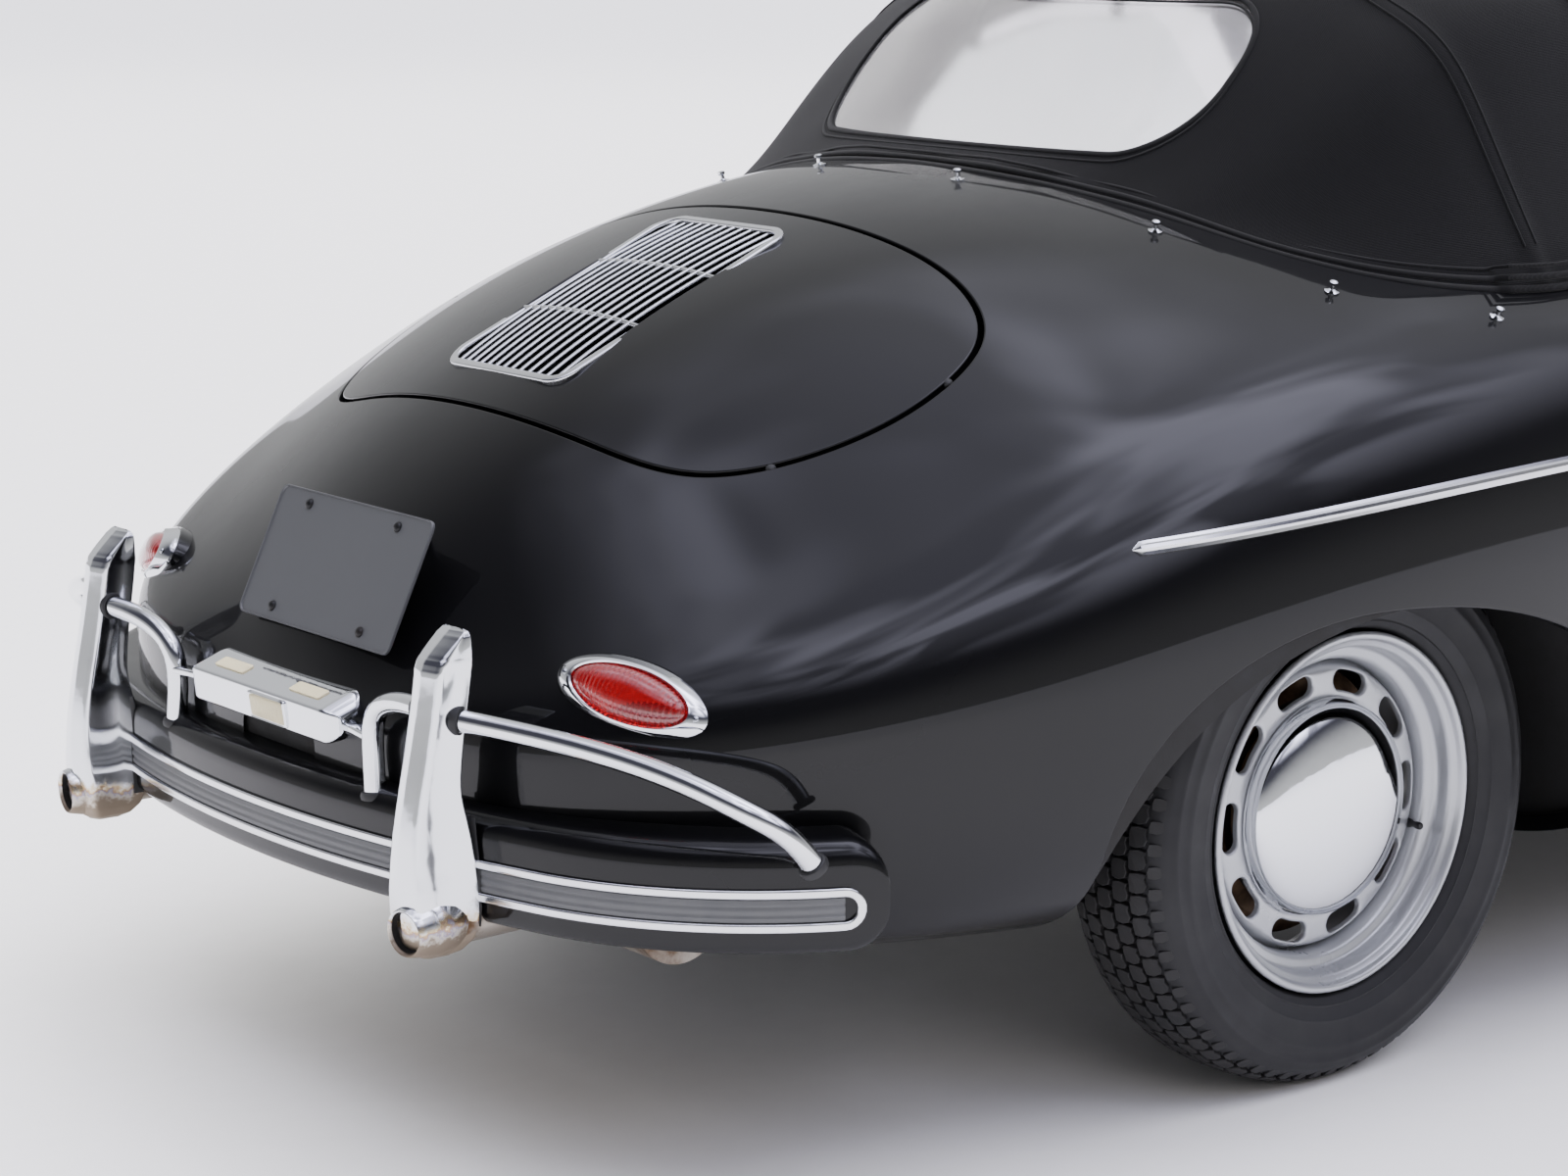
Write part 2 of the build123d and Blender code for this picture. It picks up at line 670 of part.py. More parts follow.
dash_block = block((300, COWL_X), (-COWL_HALF_WIDTH, COWL_HALF_WIDTH), (730, 1000))
with BuildPart() as dashboard:
    add(dash_block)
    add(inner_hull, mode=Mode.INTERSECT)
name_part(dashboard, "dashboard")

# ---------------------------------------------------------------- bumpers
BUMPER_MID_R = 2300.0
BUMPER_END_R = 420.0
BUMPER_THICK = 32.0
BUMPER_MID_ANGLE = 15.0
BUMPER_END_ANGLE = 62.0


def bumper_arc(face_x, inset):
    """Left half of the bumper's plan: a wide arc, then a tight one round the corner."""
    mid, end = math.radians(BUMPER_MID_ANGLE), math.radians(BUMPER_END_ANGLE)
    centre = face_x - BUMPER_MID_R
    r_mid, r_end = BUMPER_MID_R - inset, BUMPER_END_R - inset

    def on_mid(angle):
        return (centre + r_mid * math.cos(angle), r_mid * math.sin(angle))

    corner_x = centre + (BUMPER_MID_R - BUMPER_END_R) * math.cos(mid)
    corner_y = (BUMPER_MID_R - BUMPER_END_R) * math.sin(mid)

    def on_end(angle):
        return (corner_x + r_end * math.cos(angle), corner_y + r_end * math.sin(angle))

    return on_mid(0), on_mid(mid / 2), on_mid(mid), on_end((mid + end) / 2), on_end(end)


def bumper_blade(face_x, z):
    """A blade round the nose, with rounded long edges."""
    a0, a1, a2, a3, a4 = bumper_arc(face_x, 0)
    b0, b1, b2, b3, b4 = bumper_arc(face_x, BUMPER_THICK)
    with BuildPart() as blade:
        with BuildSketch(Plane.XY.offset(z[0])):
            with BuildLine():
                ThreePointArc(a0, a1, a2)
                ThreePointArc(a2, a3, a4)
                Line(a4, b4)
                ThreePointArc(b4, b3, b2)
                ThreePointArc(b2, b1, b0)
                mirror(about=Plane.XZ)
            make_face()
        extrude(amount=z[1] - z[0])
        fillet(blade.edges().filter_by(Plane.XY).group_by(SortBy.LENGTH)[-1], 10)
    return blade.part


FRONT_BUMPER_FACE = 1957.0
REAR_BUMPER_FACE = 1955.0
FRONT_BUMPER_Z = (305.0, 415.0)
REAR_BUMPER_Z = (290.0, 400.0)
OVERRIDER_Y = 345.0
OVERRIDER_HALF_WIDTH = 27.0
FRONT_OVERRIDER_Y = 300.0

front_blade = bumper_blade(FRONT_BUMPER_FACE, FRONT_BUMPER_Z)
rear_blade = mirror(bumper_blade(REAR_BUMPER_FACE, REAR_BUMPER_Z), about=Plane.YZ, mode=Mode.PRIVATE)

with BuildPart() as front_bumper:
    add(front_blade)
name_part(front_bumper, "front_bumper")

tailpipe_hole = rod((-2000, TAILPIPE_Y, TAILPIPE_Z), (-1800, TAILPIPE_Y, TAILPIPE_Z), TAILPIPE_R + 0.3)
bumper_notch = block((-2000, -1800), (TAILPIPE_Y - 26, TAILPIPE_Y + 26), (280, 327))
with BuildPart() as rear_bumper:
    add(rear_blade)
    add(bumper_notch, mode=Mode.SUBTRACT)
    add(mirrored(bumper_notch), mode=Mode.SUBTRACT)
name_part(rear_bumper, "rear_bumper")


def overrider(points, y):
    """One bumper horn from its side outline."""
    with BuildPart() as horn:
        with BuildSketch(Plane.XZ.offset(-y - OVERRIDER_HALF_WIDTH)):
            with BuildLine():
                Polyline(*points, close=True)
            make_face()
            fillet(vertices(), 8)
        extrude(amount=2 * OVERRIDER_HALF_WIDTH)
        fillet(horn.edges().filter_by(GeomType.LINE, reverse=True).group_by(Axis.Y)[0], 6)
    return horn.part


REAR_HORN = [(-1975, 285), (-1900, 268), (-1872, 300), (-1880, 400), (-1850, 560), (-1858, 592),
             (-1892, 590), (-1955, 470), (-1972, 400)]
FRONT_HORN = [(1975, 290), (1940, 282), (1915, 300), (1915, 400), (1885, 520), (1888, 548),
              (1915, 545), (1965, 450), (1975, 400)]

rear_horn = overrider(REAR_HORN, OVERRIDER_Y)
front_horn = overrider(FRONT_HORN, FRONT_OVERRIDER_Y)

with BuildPart() as rear_overriders:
    add(rear_horn)
    add(rear_blade, mode=Mode.SUBTRACT)
    add(tailpipe_hole, mode=Mode.SUBTRACT)
    mirror(about=Plane.XZ)
name_part(rear_overriders, "rear_overriders")

with BuildPart() as front_overriders:
    add(front_horn)
    add(front_blade, mode=Mode.SUBTRACT)
    add(hull, mode=Mode.SUBTRACT)
    mirror(about=Plane.XZ)
name_part(front_overriders, "front_overriders")

BOW_TUBE_R = 12.0
REAR_OUTER_BOW = [(-1915, 350, 500), (-1908, 490, 497), (-1880, 615, 465), (-1826, 700, 385)]
REAR_INNER_BOW = [(-1915, 340, 500), (-1920, 275, 498), (-1932, 235, 460), (-1930, 225, 385)]


def bow_tube(points, radius):
    """A bent tube between the horn and the blade's top."""
    with BuildPart() as tube:
        with BuildLine() as path:
            FilletPolyline(*points, radius=radius)
        with BuildSketch(Plane(origin=path.wire() @ 0, z_dir=path.wire() % 0)):
            Circle(BOW_TUBE_R)
        sweep(path=path.wire())
    return tube.part


rear_outer_bow = bow_tube(REAR_OUTER_BOW, 60)
rear_inner_bow = bow_tube(REAR_INNER_BOW, 30)

with BuildPart() as rear_bumper_bows:
    add(rear_outer_bow)
    add(rear_inner_bow)
    mirror(about=Plane.XZ)
    add(rear_overriders.part, mode=Mode.SUBTRACT)
    add(rear_blade, mode=Mode.SUBTRACT)
name_part(rear_bumper_bows, "rear_bumper_bows")

# ---------------------------------------------------------------- lamps and plate
def skin_plane(x, y, z, turn, lean):
    """A plane whose normal points out of the car: `turn` about Z from +X, `lean` upwards."""
    turn, lean = math.radians(turn), math.radians(lean)
    normal = Vector(
        math.cos(turn) * math.cos(lean), math.sin(turn) * math.cos(lean), math.sin(lean)
    )
    return Plane(origin=(x, y, z), x_dir=(-math.sin(turn), math.cos(turn), 0), z_dir=normal)


LENS_R = 86.0
with BuildPart() as headlight_rim:
    with BuildSketch(headlight_plane.offset(-40)):
        Circle(HEADLIGHT_RIM_R - 3)
        Circle(LENS_R + 1, mode=Mode.SUBTRACT)
    extrude(amount=64)
with BuildPart() as headlight_rims:
    add(headlight_rim.part)
    mirror(about=Plane.XZ)
name_part(headlight_rims, "headlight_rims")

with BuildPart() as headlight_lens:
    with BuildSketch(headlight_plane.offset(-20)):
        Circle(LENS_R)
    extrude(amount=60, taper=35)
with BuildPart() as headlight_lenses:
    add(headlight_lens.part)
    mirror(about=Plane.XZ)
name_part(headlight_lenses, "headlight_lenses")

INDICATOR_PLANE = skin_plane(1838, 560, 520, 25, 5)
with BuildPart() as indicator:
    with BuildSketch(INDICATOR_PLANE.offset(-30)):
        Circle(30)
    extrude(amount=70, taper=10)
    add(hull, mode=Mode.SUBTRACT)
with BuildPart() as indicators:
    add(indicator.part.solids().sort_by(SortBy.VOLUME)[-1])
    mirror(about=Plane.XZ)
name_part(indicators, "indicators")

TAIL_LAMP_PLANE = skin_plane(-1734, 479, 537, 145, 12)
TAIL_LAMP_SIZE = (178.0, 84.0)
TAIL_LENS_SIZE = (132.0, 58.0)
TAIL_LAMP_STAND = 16.0
TAIL_LENS_STAND = 34.0
with BuildPart() as tail_lamp_base:
    with BuildSketch(TAIL_LAMP_PLANE.offset(-60)):
        Ellipse(TAIL_LAMP_SIZE[0] / 2, TAIL_LAMP_SIZE[1] / 2)
    extrude(amount=60 + TAIL_LAMP_STAND)
    add(hull, mode=Mode.SUBTRACT)
with BuildPart() as tail_lamp_bases:
    add(tail_lamp_base.part.solids().sort_by(SortBy.VOLUME)[-1])
    mirror(about=Plane.XZ)
name_part(tail_lamp_bases, "tail_lamp_bases")

with BuildPart() as tail_lamp_lens:
    with BuildSketch(TAIL_LAMP_PLANE.offset(TAIL_LAMP_STAND)):
        Ellipse(TAIL_LENS_SIZE[0] / 2, TAIL_LENS_SIZE[1] / 2)
    extrude(amount=TAIL_LENS_STAND - TAIL_LAMP_STAND, taper=35)
with BuildPart() as tail_lamp_lenses:
    add(tail_lamp_lens.part)
    mirror(about=Plane.XZ)
name_part(tail_lamp_lenses, "tail_lamp_lenses")

with BuildPart() as plate_lamp:
    with BuildSketch(Plane.YZ.offset(-1912)):
        with Locations((0, 480)):
            RectangleRounded(300, 52, 24)
    extrude(amount=80)
    add(hull, mode=Mode.SUBTRACT)
name_part(plate_lamp, "plate_lamp")

PLATE_SIZE = (305.0, 152.0)
PLATE_BOLT_PITCH = 178.0
PLATE_HOLE_R = 3.5
plate_plane = Plane(origin=(-1797, 0, 600), x_dir=(0, -1, 0), z_dir=(-0.857, 0, 0.515))
with BuildPart() as licence_plate:
    with BuildSketch(plate_plane):
        RectangleRounded(PLATE_SIZE[0], PLATE_SIZE[1], 12)
        with Locations((0, PLATE_SIZE[1] / 2 - 16)):
            with GridLocations(PLATE_BOLT_PITCH, 1, 2, 1):
                Circle(PLATE_HOLE_R, mode=Mode.SUBTRACT)
    extrude(amount=3)
name_part(licence_plate, "licence_plate")

# ---------------------------------------------------------------- cabin fittings
SEAT_Y = 340.0
SEAT_WIDTH = 470.0
SEAT_SIDE = [(170, 265), (185, 400), (150, 432), (-230, 410), (-385, 880), (-455, 880), (-480, 820),
             (-340, 270)]
with BuildPart() as seat_left:
    with BuildSketch(Plane.XZ.offset(-SEAT_Y - SEAT_WIDTH / 2)):
        with BuildLine():
            Polyline(*SEAT_SIDE, close=True)
        make_face()
        fillet(vertices(), 22)
    extrude(amount=SEAT_WIDTH)
name_part(seat_left, "seat_left")

with BuildPart() as seat_right:
    mirror(seat_left.part, about=Plane.XZ)
name_part(seat_right, "seat_right")

bench_pad = block((-900, -640), (60, 500), (REAR_SHELF_Z, REAR_SHELF_Z + 70))
with BuildPart() as rear_bench:
    add(bench_pad)
    fillet(rear_bench.edges().filter_by(Axis.Z), 40)
    mirror(about=Plane.XZ)
name_part(rear_bench, "rear_bench")

WHEEL_HUB = Vector(170, 365, 795)
COLUMN_LEAN = 24.0
COLUMN_R = 18.0
STEERING_RIM_R = 200.0
STEERING_TUBE_R = 11.0
column_way = Vector(
    -math.cos(math.radians(COLUMN_LEAN)), 0, math.sin(math.radians(COLUMN_LEAN))
)
column_foot = WHEEL_HUB - column_way * 520
column_top = WHEEL_HUB - column_way * 42

column_bar = rod(tuple(column_foot), tuple(column_top), COLUMN_R)
with BuildPart() as steering_column:
    add(column_bar)
    add(dashboard.part, mode=Mode.SUBTRACT)
    add(front_body.part, mode=Mode.SUBTRACT)
name_part(steering_column, "steering_column")

steering_plane = Plane(origin=WHEEL_HUB, x_dir=(0, 1, 0), z_dir=column_way)
with BuildPart() as steering_wheel:
    with BuildSketch(Plane(origin=WHEEL_HUB, x_dir=(0, 1, 0), z_dir=steering_plane.y_dir)):
        with Locations((STEERING_RIM_R, 0)):
            Circle(STEERING_TUBE_R)
    revolve(axis=Axis(WHEEL_HUB, column_way))
    with BuildSketch(steering_plane.offset(-34)):
        Circle(30)
    extrude(amount=40)
    with BuildSketch(steering_plane.offset(-10)):
        with Locations((STEERING_RIM_R / 2, 0), (-STEERING_RIM_R / 2, 0)):
            Rectangle(STEERING_RIM_R, 22)
        with Locations((0, -STEERING_RIM_R / 2)):
            Rectangle(22, STEERING_RIM_R)
    extrude(amount=8)
name_part(steering_wheel, "steering_wheel")

# ---------------------------------------------------------------- engine, exhaust and axles
with BuildPart() as engine_block:
    with BuildSketch(Plane.XY.offset(215)):
        with Locations((-1300, 0)):
            Rectangle(440, 640)
    extrude(amount=380)
    chamfer(engine_block.edges().filter_by(Axis.Y).group_by(Axis.Z)[-1], 60)
name_part(engine_block, "engine_block")

SILENCER_R = 62.0
SILENCER_X = -1610.0
SILENCER_Z = 272.0
silencer = rod((SILENCER_X, -395, SILENCER_Z), (SILENCER_X, 395, SILENCER_Z), SILENCER_R)
TAILPIPE_WALL = 3.0
TAILPIPE_JOIN_X = -1700.0
TAILPIPE_END_X = -1962.0
spigot = rod((SILENCER_X, TAILPIPE_Y, TAILPIPE_Z), (TAILPIPE_JOIN_X, TAILPIPE_Y, TAILPIPE_Z), TAILPIPE_R)
with BuildPart() as exhaust:
    add(silencer)
    add(spigot)
    add(mirrored(spigot))
name_part(exhaust, "exhaust")

# Each tailpipe is an open tube pressed up to its spigot on the silencer.
with BuildPart() as tailpipes:
    with BuildSketch(Plane.YZ.offset(TAILPIPE_END_X)):
        with Locations((TAILPIPE_Y, TAILPIPE_Z), (-TAILPIPE_Y, TAILPIPE_Z)):
            Circle(TAILPIPE_R)
            Circle(TAILPIPE_R - TAILPIPE_WALL, mode=Mode.SUBTRACT)
    extrude(amount=TAILPIPE_JOIN_X - TAILPIPE_END_X)
name_part(tailpipes, "tailpipes")

# ---------------------------------------------------------------- axles, steering knuckles
DRUM_R = 120.0
DRUM_REACH = (-24.0, -3.0)
STUB_REACH = 22.0
REAR_TUBE_R = 32.0
TORSION_X = 1300.0
TORSION_R = 22.0
TORSION_HALF = 430.0
ARM_RISE = 92.0
ARM_R = 14.0
KINGPIN_R = 18.0
KINGPIN_HALF = 78.0


def drum_pieces(x, y, inner_y):
    """Brake drum, its carrier and the stub that the wheel turns on, on the left side."""
    return [
        rod((x, y + DRUM_REACH[0], HUB_Z), (x, y + DRUM_REACH[1], HUB_Z), DRUM_R),
        rod((x, inner_y, HUB_Z), (x, y + DRUM_REACH[0], HUB_Z), 38),
        rod((x, y + DRUM_REACH[1], HUB_Z), (x, y + STUB_REACH, HUB_Z), STUB_R),
    ]


rear_tube = rod((REAR_AXLE_X, -560, HUB_Z), (REAR_AXLE_X, 560, HUB_Z), REAR_TUBE_R)
gearbox = block((-1060, -650), (-125, 125), (205, 430))
rear_hubs = drum_pieces(REAR_AXLE_X, REAR_WHEEL_Y, 550)
with BuildPart() as rear_axle:
    add(rear_tube)
    add(gearbox)
    for piece in rear_hubs:
        add(piece)
        add(mirrored(piece))
name_part(rear_axle, "rear_axle")

axle_bars = []
for rise in (-ARM_RISE, ARM_RISE):
    z = HUB_Z + rise
    axle_bars.append(rod((TORSION_X, -TORSION_HALF, z), (TORSION_X, TORSION_HALF, z), TORSION_R))
    arm = rod((TORSION_X, TORSION_HALF - 10, z), (FRONT_AXLE_X, KINGPIN_Y, z), ARM_R)
    pad = rod((FRONT_AXLE_X, KINGPIN_Y, z - 8), (FRONT_AXLE_X, KINGPIN_Y, z + 8), KINGPIN_R)
    axle_bars += [arm, mirrored(arm), pad, mirrored(pad)]
axle_bars.append(
    block((TORSION_X - 12, TORSION_X + 12), (-300, 300), (HUB_Z - ARM_RISE, HUB_Z + ARM_RISE))
)
with BuildPart() as front_axle:
    for piece in axle_bars:
        add(piece)
name_part(front_axle, "front_axle")

kingpin = rod(
    (FRONT_AXLE_X, KINGPIN_Y, HUB_Z - KINGPIN_HALF),
    (FRONT_AXLE_X, KINGPIN_Y, HUB_Z + KINGPIN_HALF),
    KINGPIN_R,
)
front_hub = drum_pieces(FRONT_AXLE_X, FRONT_WHEEL_Y, KINGPIN_Y - 10)
with BuildPart() as knuckle_left:
    add(kingpin)
    for piece in front_hub:
        add(piece)
name_part(knuckle_left, "knuckle_left")

with BuildPart() as knuckle_right:
    mirror(knuckle_left.part, about=Plane.XZ)
name_part(knuckle_right, "knuckle_right")

# ---------------------------------------------------------------- wheels and tyres
# Profiles give radius and offset from the wheel's middle plane, positive outwards.
RIM_PROFILE = [
    (207, 62), (207, 57), (191, 54), (189, 30), (172, 22), (172, -22), (189, -30), (191, -54),
    (207, -57), (207, -62), (185, -59), (183, -34), (166, -26), (166, 12), (150, 28), (128, 38),
    (100, 36), (60, 27), (45, 25), (45, 0), (STUB_R + STUB_CLEARANCE, 0),
    (STUB_R + STUB_CLEARANCE, 26), (0, 26), (0, 86), (45, 82), (85, 70), (112, 55), (122, 44),
    (130, 44), (152, 34), (167, 22), (168, 26), (184, 34), (186, 59),
]
TYRE_PROFILE = [
    (193, 50), (209, 50), (212, 60), (235, 74), (262, 81), (288, 76), (307, 62), (315, 45),
    (318, 20), (318, -20), (315, -45), (307, -62), (288, -76), (262, -81), (235, -74),
    (212, -60), (209, -50), (193, -50), (191.5, -30), (175, -20), (175, 20), (191.5, 30),
]
SLOT_RING_R = 146.0
SLOT_SIZE = (46.0, 15.0)
SLOTS = 10


def turned(profile, x, y, side):
    """Turns a profile about a wheel's axle; `side` is 1 on the left and -1 on the right."""
    points = [(r, side * offset_y) for r, offset_y in profile]
    with BuildPart() as ring:
        with BuildSketch(Plane(origin=(x, side * y, HUB_Z), x_dir=(1, 0, 0), z_dir=(0, 0, 1))):
            with BuildLine():
                Polyline(*points, close=True)
            make_face()
        revolve(axis=Axis((x, side * y, HUB_Z), (0, 1, 0)))
    return ring.part


def wheel_slots(x, y, side):
    """The ring of oval vent slots through the wheel's disc."""
    with BuildPart() as slots:
        with BuildSketch(Plane(origin=(x, side * (y + 5), HUB_Z), x_dir=(1, 0, 0), z_dir=(0, side, 0))):
            with PolarLocations(SLOT_RING_R, SLOTS):
                SlotOverall(SLOT_SIZE[0], SLOT_SIZE[1], rotation=90)
        extrude(amount=60)
    return slots.part


WHEEL_PLACES = {
    "front_left": (FRONT_AXLE_X, FRONT_WHEEL_Y, 1),
    "front_right": (FRONT_AXLE_X, FRONT_WHEEL_Y, -1),
    "rear_left": (REAR_AXLE_X, REAR_WHEEL_Y, 1),
    "rear_right": (REAR_AXLE_X, REAR_WHEEL_Y, -1),
}
for place, (x, y, side) in WHEEL_PLACES.items():
    disc_and_rim = turned(RIM_PROFILE, x, y, side)
    slots = wheel_slots(x, y, side)
    rubber = turned(TYRE_PROFILE, x, y, side)
    with BuildPart() as wheel:
        add(disc_and_rim)
        add(slots, mode=Mode.SUBTRACT)
    name_part(wheel, f"wheel_{place}")
    with BuildPart() as tyre:
        add(rubber)
        add(disc_and_rim, mode=Mode.SUBTRACT)
    name_part(tyre, f"tyre_{place}")
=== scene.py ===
"""Looks of an open two-seat sports car with a raised canvas top.

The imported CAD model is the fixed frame. Body panels, fabric, lamps, bumpers, wheels and tyres are
surfaces worked out with numpy and laid over it or put in its place. Metres, +X forward, +Y left, +Z up.
"""

import logging
import math
from dataclasses import dataclass
from enum import Enum
from functools import lru_cache
from typing import Callable

import bpy
import numpy as np
from mathutils import Euler, Matrix, Vector
from mathutils.bvhtree import BVHTree


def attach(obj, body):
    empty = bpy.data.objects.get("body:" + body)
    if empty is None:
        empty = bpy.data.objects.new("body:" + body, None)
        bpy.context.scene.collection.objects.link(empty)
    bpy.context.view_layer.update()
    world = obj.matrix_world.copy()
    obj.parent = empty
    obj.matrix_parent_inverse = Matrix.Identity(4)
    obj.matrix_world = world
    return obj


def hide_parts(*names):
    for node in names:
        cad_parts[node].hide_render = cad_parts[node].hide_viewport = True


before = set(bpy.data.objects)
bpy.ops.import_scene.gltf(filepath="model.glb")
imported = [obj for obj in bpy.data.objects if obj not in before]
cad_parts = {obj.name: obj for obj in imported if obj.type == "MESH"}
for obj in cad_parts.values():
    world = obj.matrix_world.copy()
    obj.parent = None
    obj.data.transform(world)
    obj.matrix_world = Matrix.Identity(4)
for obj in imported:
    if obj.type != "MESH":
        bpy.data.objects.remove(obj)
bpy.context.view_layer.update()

log = logging.getLogger("sports_car")

Array = np.ndarray
Field = Callable[[Array], Array]
Surface = Callable[[Array, Array], Array]
Part = tuple[Array, list[Array]]     # a mesh's points and its arrays of faces
Piece = bpy.types.Object
Tree, Node, Socket = bpy.types.NodeTree, bpy.types.Node, bpy.types.NodeSocket

AHEAD, LEFT, UP = np.eye(3)
SIDES = {"left": 1, "right": -1}

REAR_AXLE_X = -0.905
FRONT_AXLE_X = 1.195
REAR_WHEEL_Y = 0.636
FRONT_WHEEL_Y = 0.653
HUB_Z = 0.315
PAINT_LIFT = 0.0014        # the paint layer's height over the CAD panels
LAP = 0.0012               # how far a paint layer laps past a CAD panel's edge
WAVE_TURN_MM = 314.16      # spacing of a wave texture's bands at a scale of one
TUBE_RADIUS = 0.0118       # the rear bumper's tubes


# ------------------------------------------------------------------------------------------------ colour and nodes
def linear(colour: str, alpha: float = 1.0) -> tuple[float, float, float, float]:
    """Turns an sRGB hex colour into the linear values that shaders take.

    Args:
        colour: six hex digits, such as "1b1c1e".
        alpha: the fourth value.

    Returns:
        Linear red, green, blue and alpha.
    """
    parts = [int(colour[i:i + 2], 16) / 255 for i in (0, 2, 4)]
    red, green, blue = (c / 12.92 if c <= 0.04045 else ((c + 0.055) / 1.055) ** 2.4 for c in parts)
    return red, green, blue, alpha


def add_node(tree: Tree, kind: str, inputs: dict | None = None, **settings) -> Node:
    """Adds one shader node with its settings, values and links.

    Args:
        tree: the node tree.
        kind: the node's type name.
        inputs: socket name or index to a value, or to an output socket to link.
        **settings: properties of the node itself.

    Returns:
        The new node.
    """
    made = tree.nodes.new(kind)
    for name, value in settings.items():
        setattr(made, name, value)
    for name, value in (inputs or {}).items():
        if isinstance(value, Socket):
            tree.links.new(value, made.inputs[name])
        else:
            made.inputs[name].default_value = value
    return made


class Space(Enum):
    """Where a pattern's coordinates come from."""

    OBJECT = "Object"
    UV = "UV"


@dataclass(frozen=True)
class Finish:
    """A material: the substance and process, its colour and its gloss.

    Subclasses add their own pattern in `dress`.
    """

    name: str
    colour: str
    roughness: float
    metallic: float = 0.0
    ior: float = 1.5
    specular: float = 0.5
    coat: float = 0.0
    coat_roughness: float = 0.03
    alpha: float = 1.0
    space: Space = Space.OBJECT

    def material(self) -> bpy.types.Material:
        """Returns the material, made once and then shared."""
        found = bpy.data.materials.get(self.name)
        if found:
            return found
        made = bpy.data.materials.new(self.name)
        made.use_nodes = True
        tree = made.node_tree
        shader = tree.nodes["Principled BSDF"]
        shader.inputs["Base Color"].default_value = linear(self.colour)
        shader.inputs["Roughness"].default_value = self.roughness
        shader.inputs["Metallic"].default_value = self.metallic
        shader.inputs["IOR"].default_value = self.ior
        shader.inputs["Specular IOR Level"].default_value = self.specular
        shader.inputs["Coat Weight"].default_value = self.coat
        shader.inputs["Coat Roughness"].default_value = self.coat_roughness
        shader.inputs["Alpha"].default_value = self.alpha
        made.diffuse_color = linear(self.colour, self.alpha)
        where = add_node(tree, "ShaderNodeTexCoord").outputs[self.space.value]
        self.dress(tree, shader, where)
        return made

    def dress(self, tree: Tree, shader: Node, where: Socket) -> None:
        """Adds a fine unevenness of gloss, which no real surface lacks."""
        self.vary_roughness(tree, shader, where, 40.0, 0.06)

    def vary_roughness(self, tree: Tree, shader: Node, where: Socket, scale: float, spread: float) -> Node:
        """Lets the roughness wander by `spread` either way over a soft noise.

        Args:
            tree: the material's tree.
            shader: its Principled node.
            where: the coordinates.
            scale: noise cells in a metre.
            spread: the most that roughness moves.

        Returns:
            The noise node, for further use.
        """
        noise = add_node(tree, "ShaderNodeTexNoise", {"Vector": where, "Scale": scale, "Detail": 5.0,
                                                     "Roughness": 0.6})
        spread_node = add_node(tree, "ShaderNodeMapRange", {
            "Value": noise.outputs["Fac"], "From Min": 0.3, "From Max": 0.7,
            "To Min": max(self.roughness - spread, 0.01), "To Max": self.roughness + spread})
        tree.links.new(spread_node.outputs["Result"], shader.inputs["Roughness"])
        return noise

    def tint(self, tree: Tree, shader: Node, share: Node, towards: str) -> None:
        """Draws the base colour towards another one by a node's result.

        Args:
            tree: the material's tree.
            shader: its Principled node.
            share: the node whose result runs from 0, this finish's colour, to 1, the other one.
            towards: the other colour.
        """
        colour = add_node(tree, "ShaderNodeMix", {0: share.outputs["Result"], 6: linear(self.colour),
                                                 7: linear(towards)}, data_type="RGBA")
        tree.links.new(colour.outputs[2], shader.inputs["Base Color"])

    def bump(self, tree: Tree, shader: Node, height: Socket,
             depth: float, strength: float = 1.0, coat: bool = False) -> Node:
        """Feeds a height into the surface normal, and into the coat's normal if asked."""
        relief = add_node(tree, "ShaderNodeBump", {"Height": height, "Distance": depth, "Strength": strength})
        tree.links.new(relief.outputs["Normal"], shader.inputs["Normal"])
        if coat:
            tree.links.new(relief.outputs["Normal"], shader.inputs["Coat Normal"])
        return relief


@dataclass(frozen=True)
class GlossEnamel(Finish):
    """Sprayed stove enamel under clear polish: a mirror with a faint ripple, the trade's orange peel."""

    peel_mm: float = 9.0
    peel_depth_mm: float = 0.010

    def dress(self, tree: Tree, shader: Node, where: Socket) -> None:
        """Adds the ripple, and a slight wandering of gloss over a hand's breadth."""
        self.vary_roughness(tree, shader, where, 6.0, 0.04)
        shader.inputs["Coat IOR"].default_value = 1.42
        peel = add_node(tree, "ShaderNodeTexNoise", {"Vector": where, "Scale": 1000.0 / self.peel_mm,
                                                    "Detail": 1.0, "Roughness": 0.4})
        self.bump(tree, shader, peel.outputs["Fac"], self.peel_depth_mm / 1000.0, 0.35, coat=True)


@dataclass(frozen=True)
class Plating(Finish):
    """Nickel-chrome plate over hand-polished steel: bright, with soft waves and faint pits and wipe marks."""

    wave_mm: float = 30.0
    pit_mm: float = 1.4

    def dress(self, tree: Tree, shader: Node, where: Socket) -> None:
        """Adds polishing waves as bump and cloudy wear as roughness."""
        self.vary_roughness(tree, shader, where, 55.0, 0.035)
        wave = add_node(tree, "ShaderNodeTexNoise", {"Vector": where, "Scale": 1000.0 / self.wave_mm,
                                                    "Detail": 2.0, "Roughness": 0.5})
        pits = add_node(tree, "ShaderNodeTexNoise", {"Vector": where, "Scale": 1000.0 / self.pit_mm, "Detail": 2.0})
        deep = add_node(tree, "ShaderNodeMapRange", {"Value": pits.outputs["Fac"], "From Min": 0.22,
                                                    "From Max": 0.30, "To Min": 0.0, "To Max": 1.0})
        both = add_node(tree, "ShaderNodeMath", {0: deep.outputs["Result"], 1: 0.10, 2: wave.outputs["Fac"]},
                        operation="MULTIPLY_ADD")
        self.bump(tree, shader, both.outputs["Value"], 0.0006, 0.35)


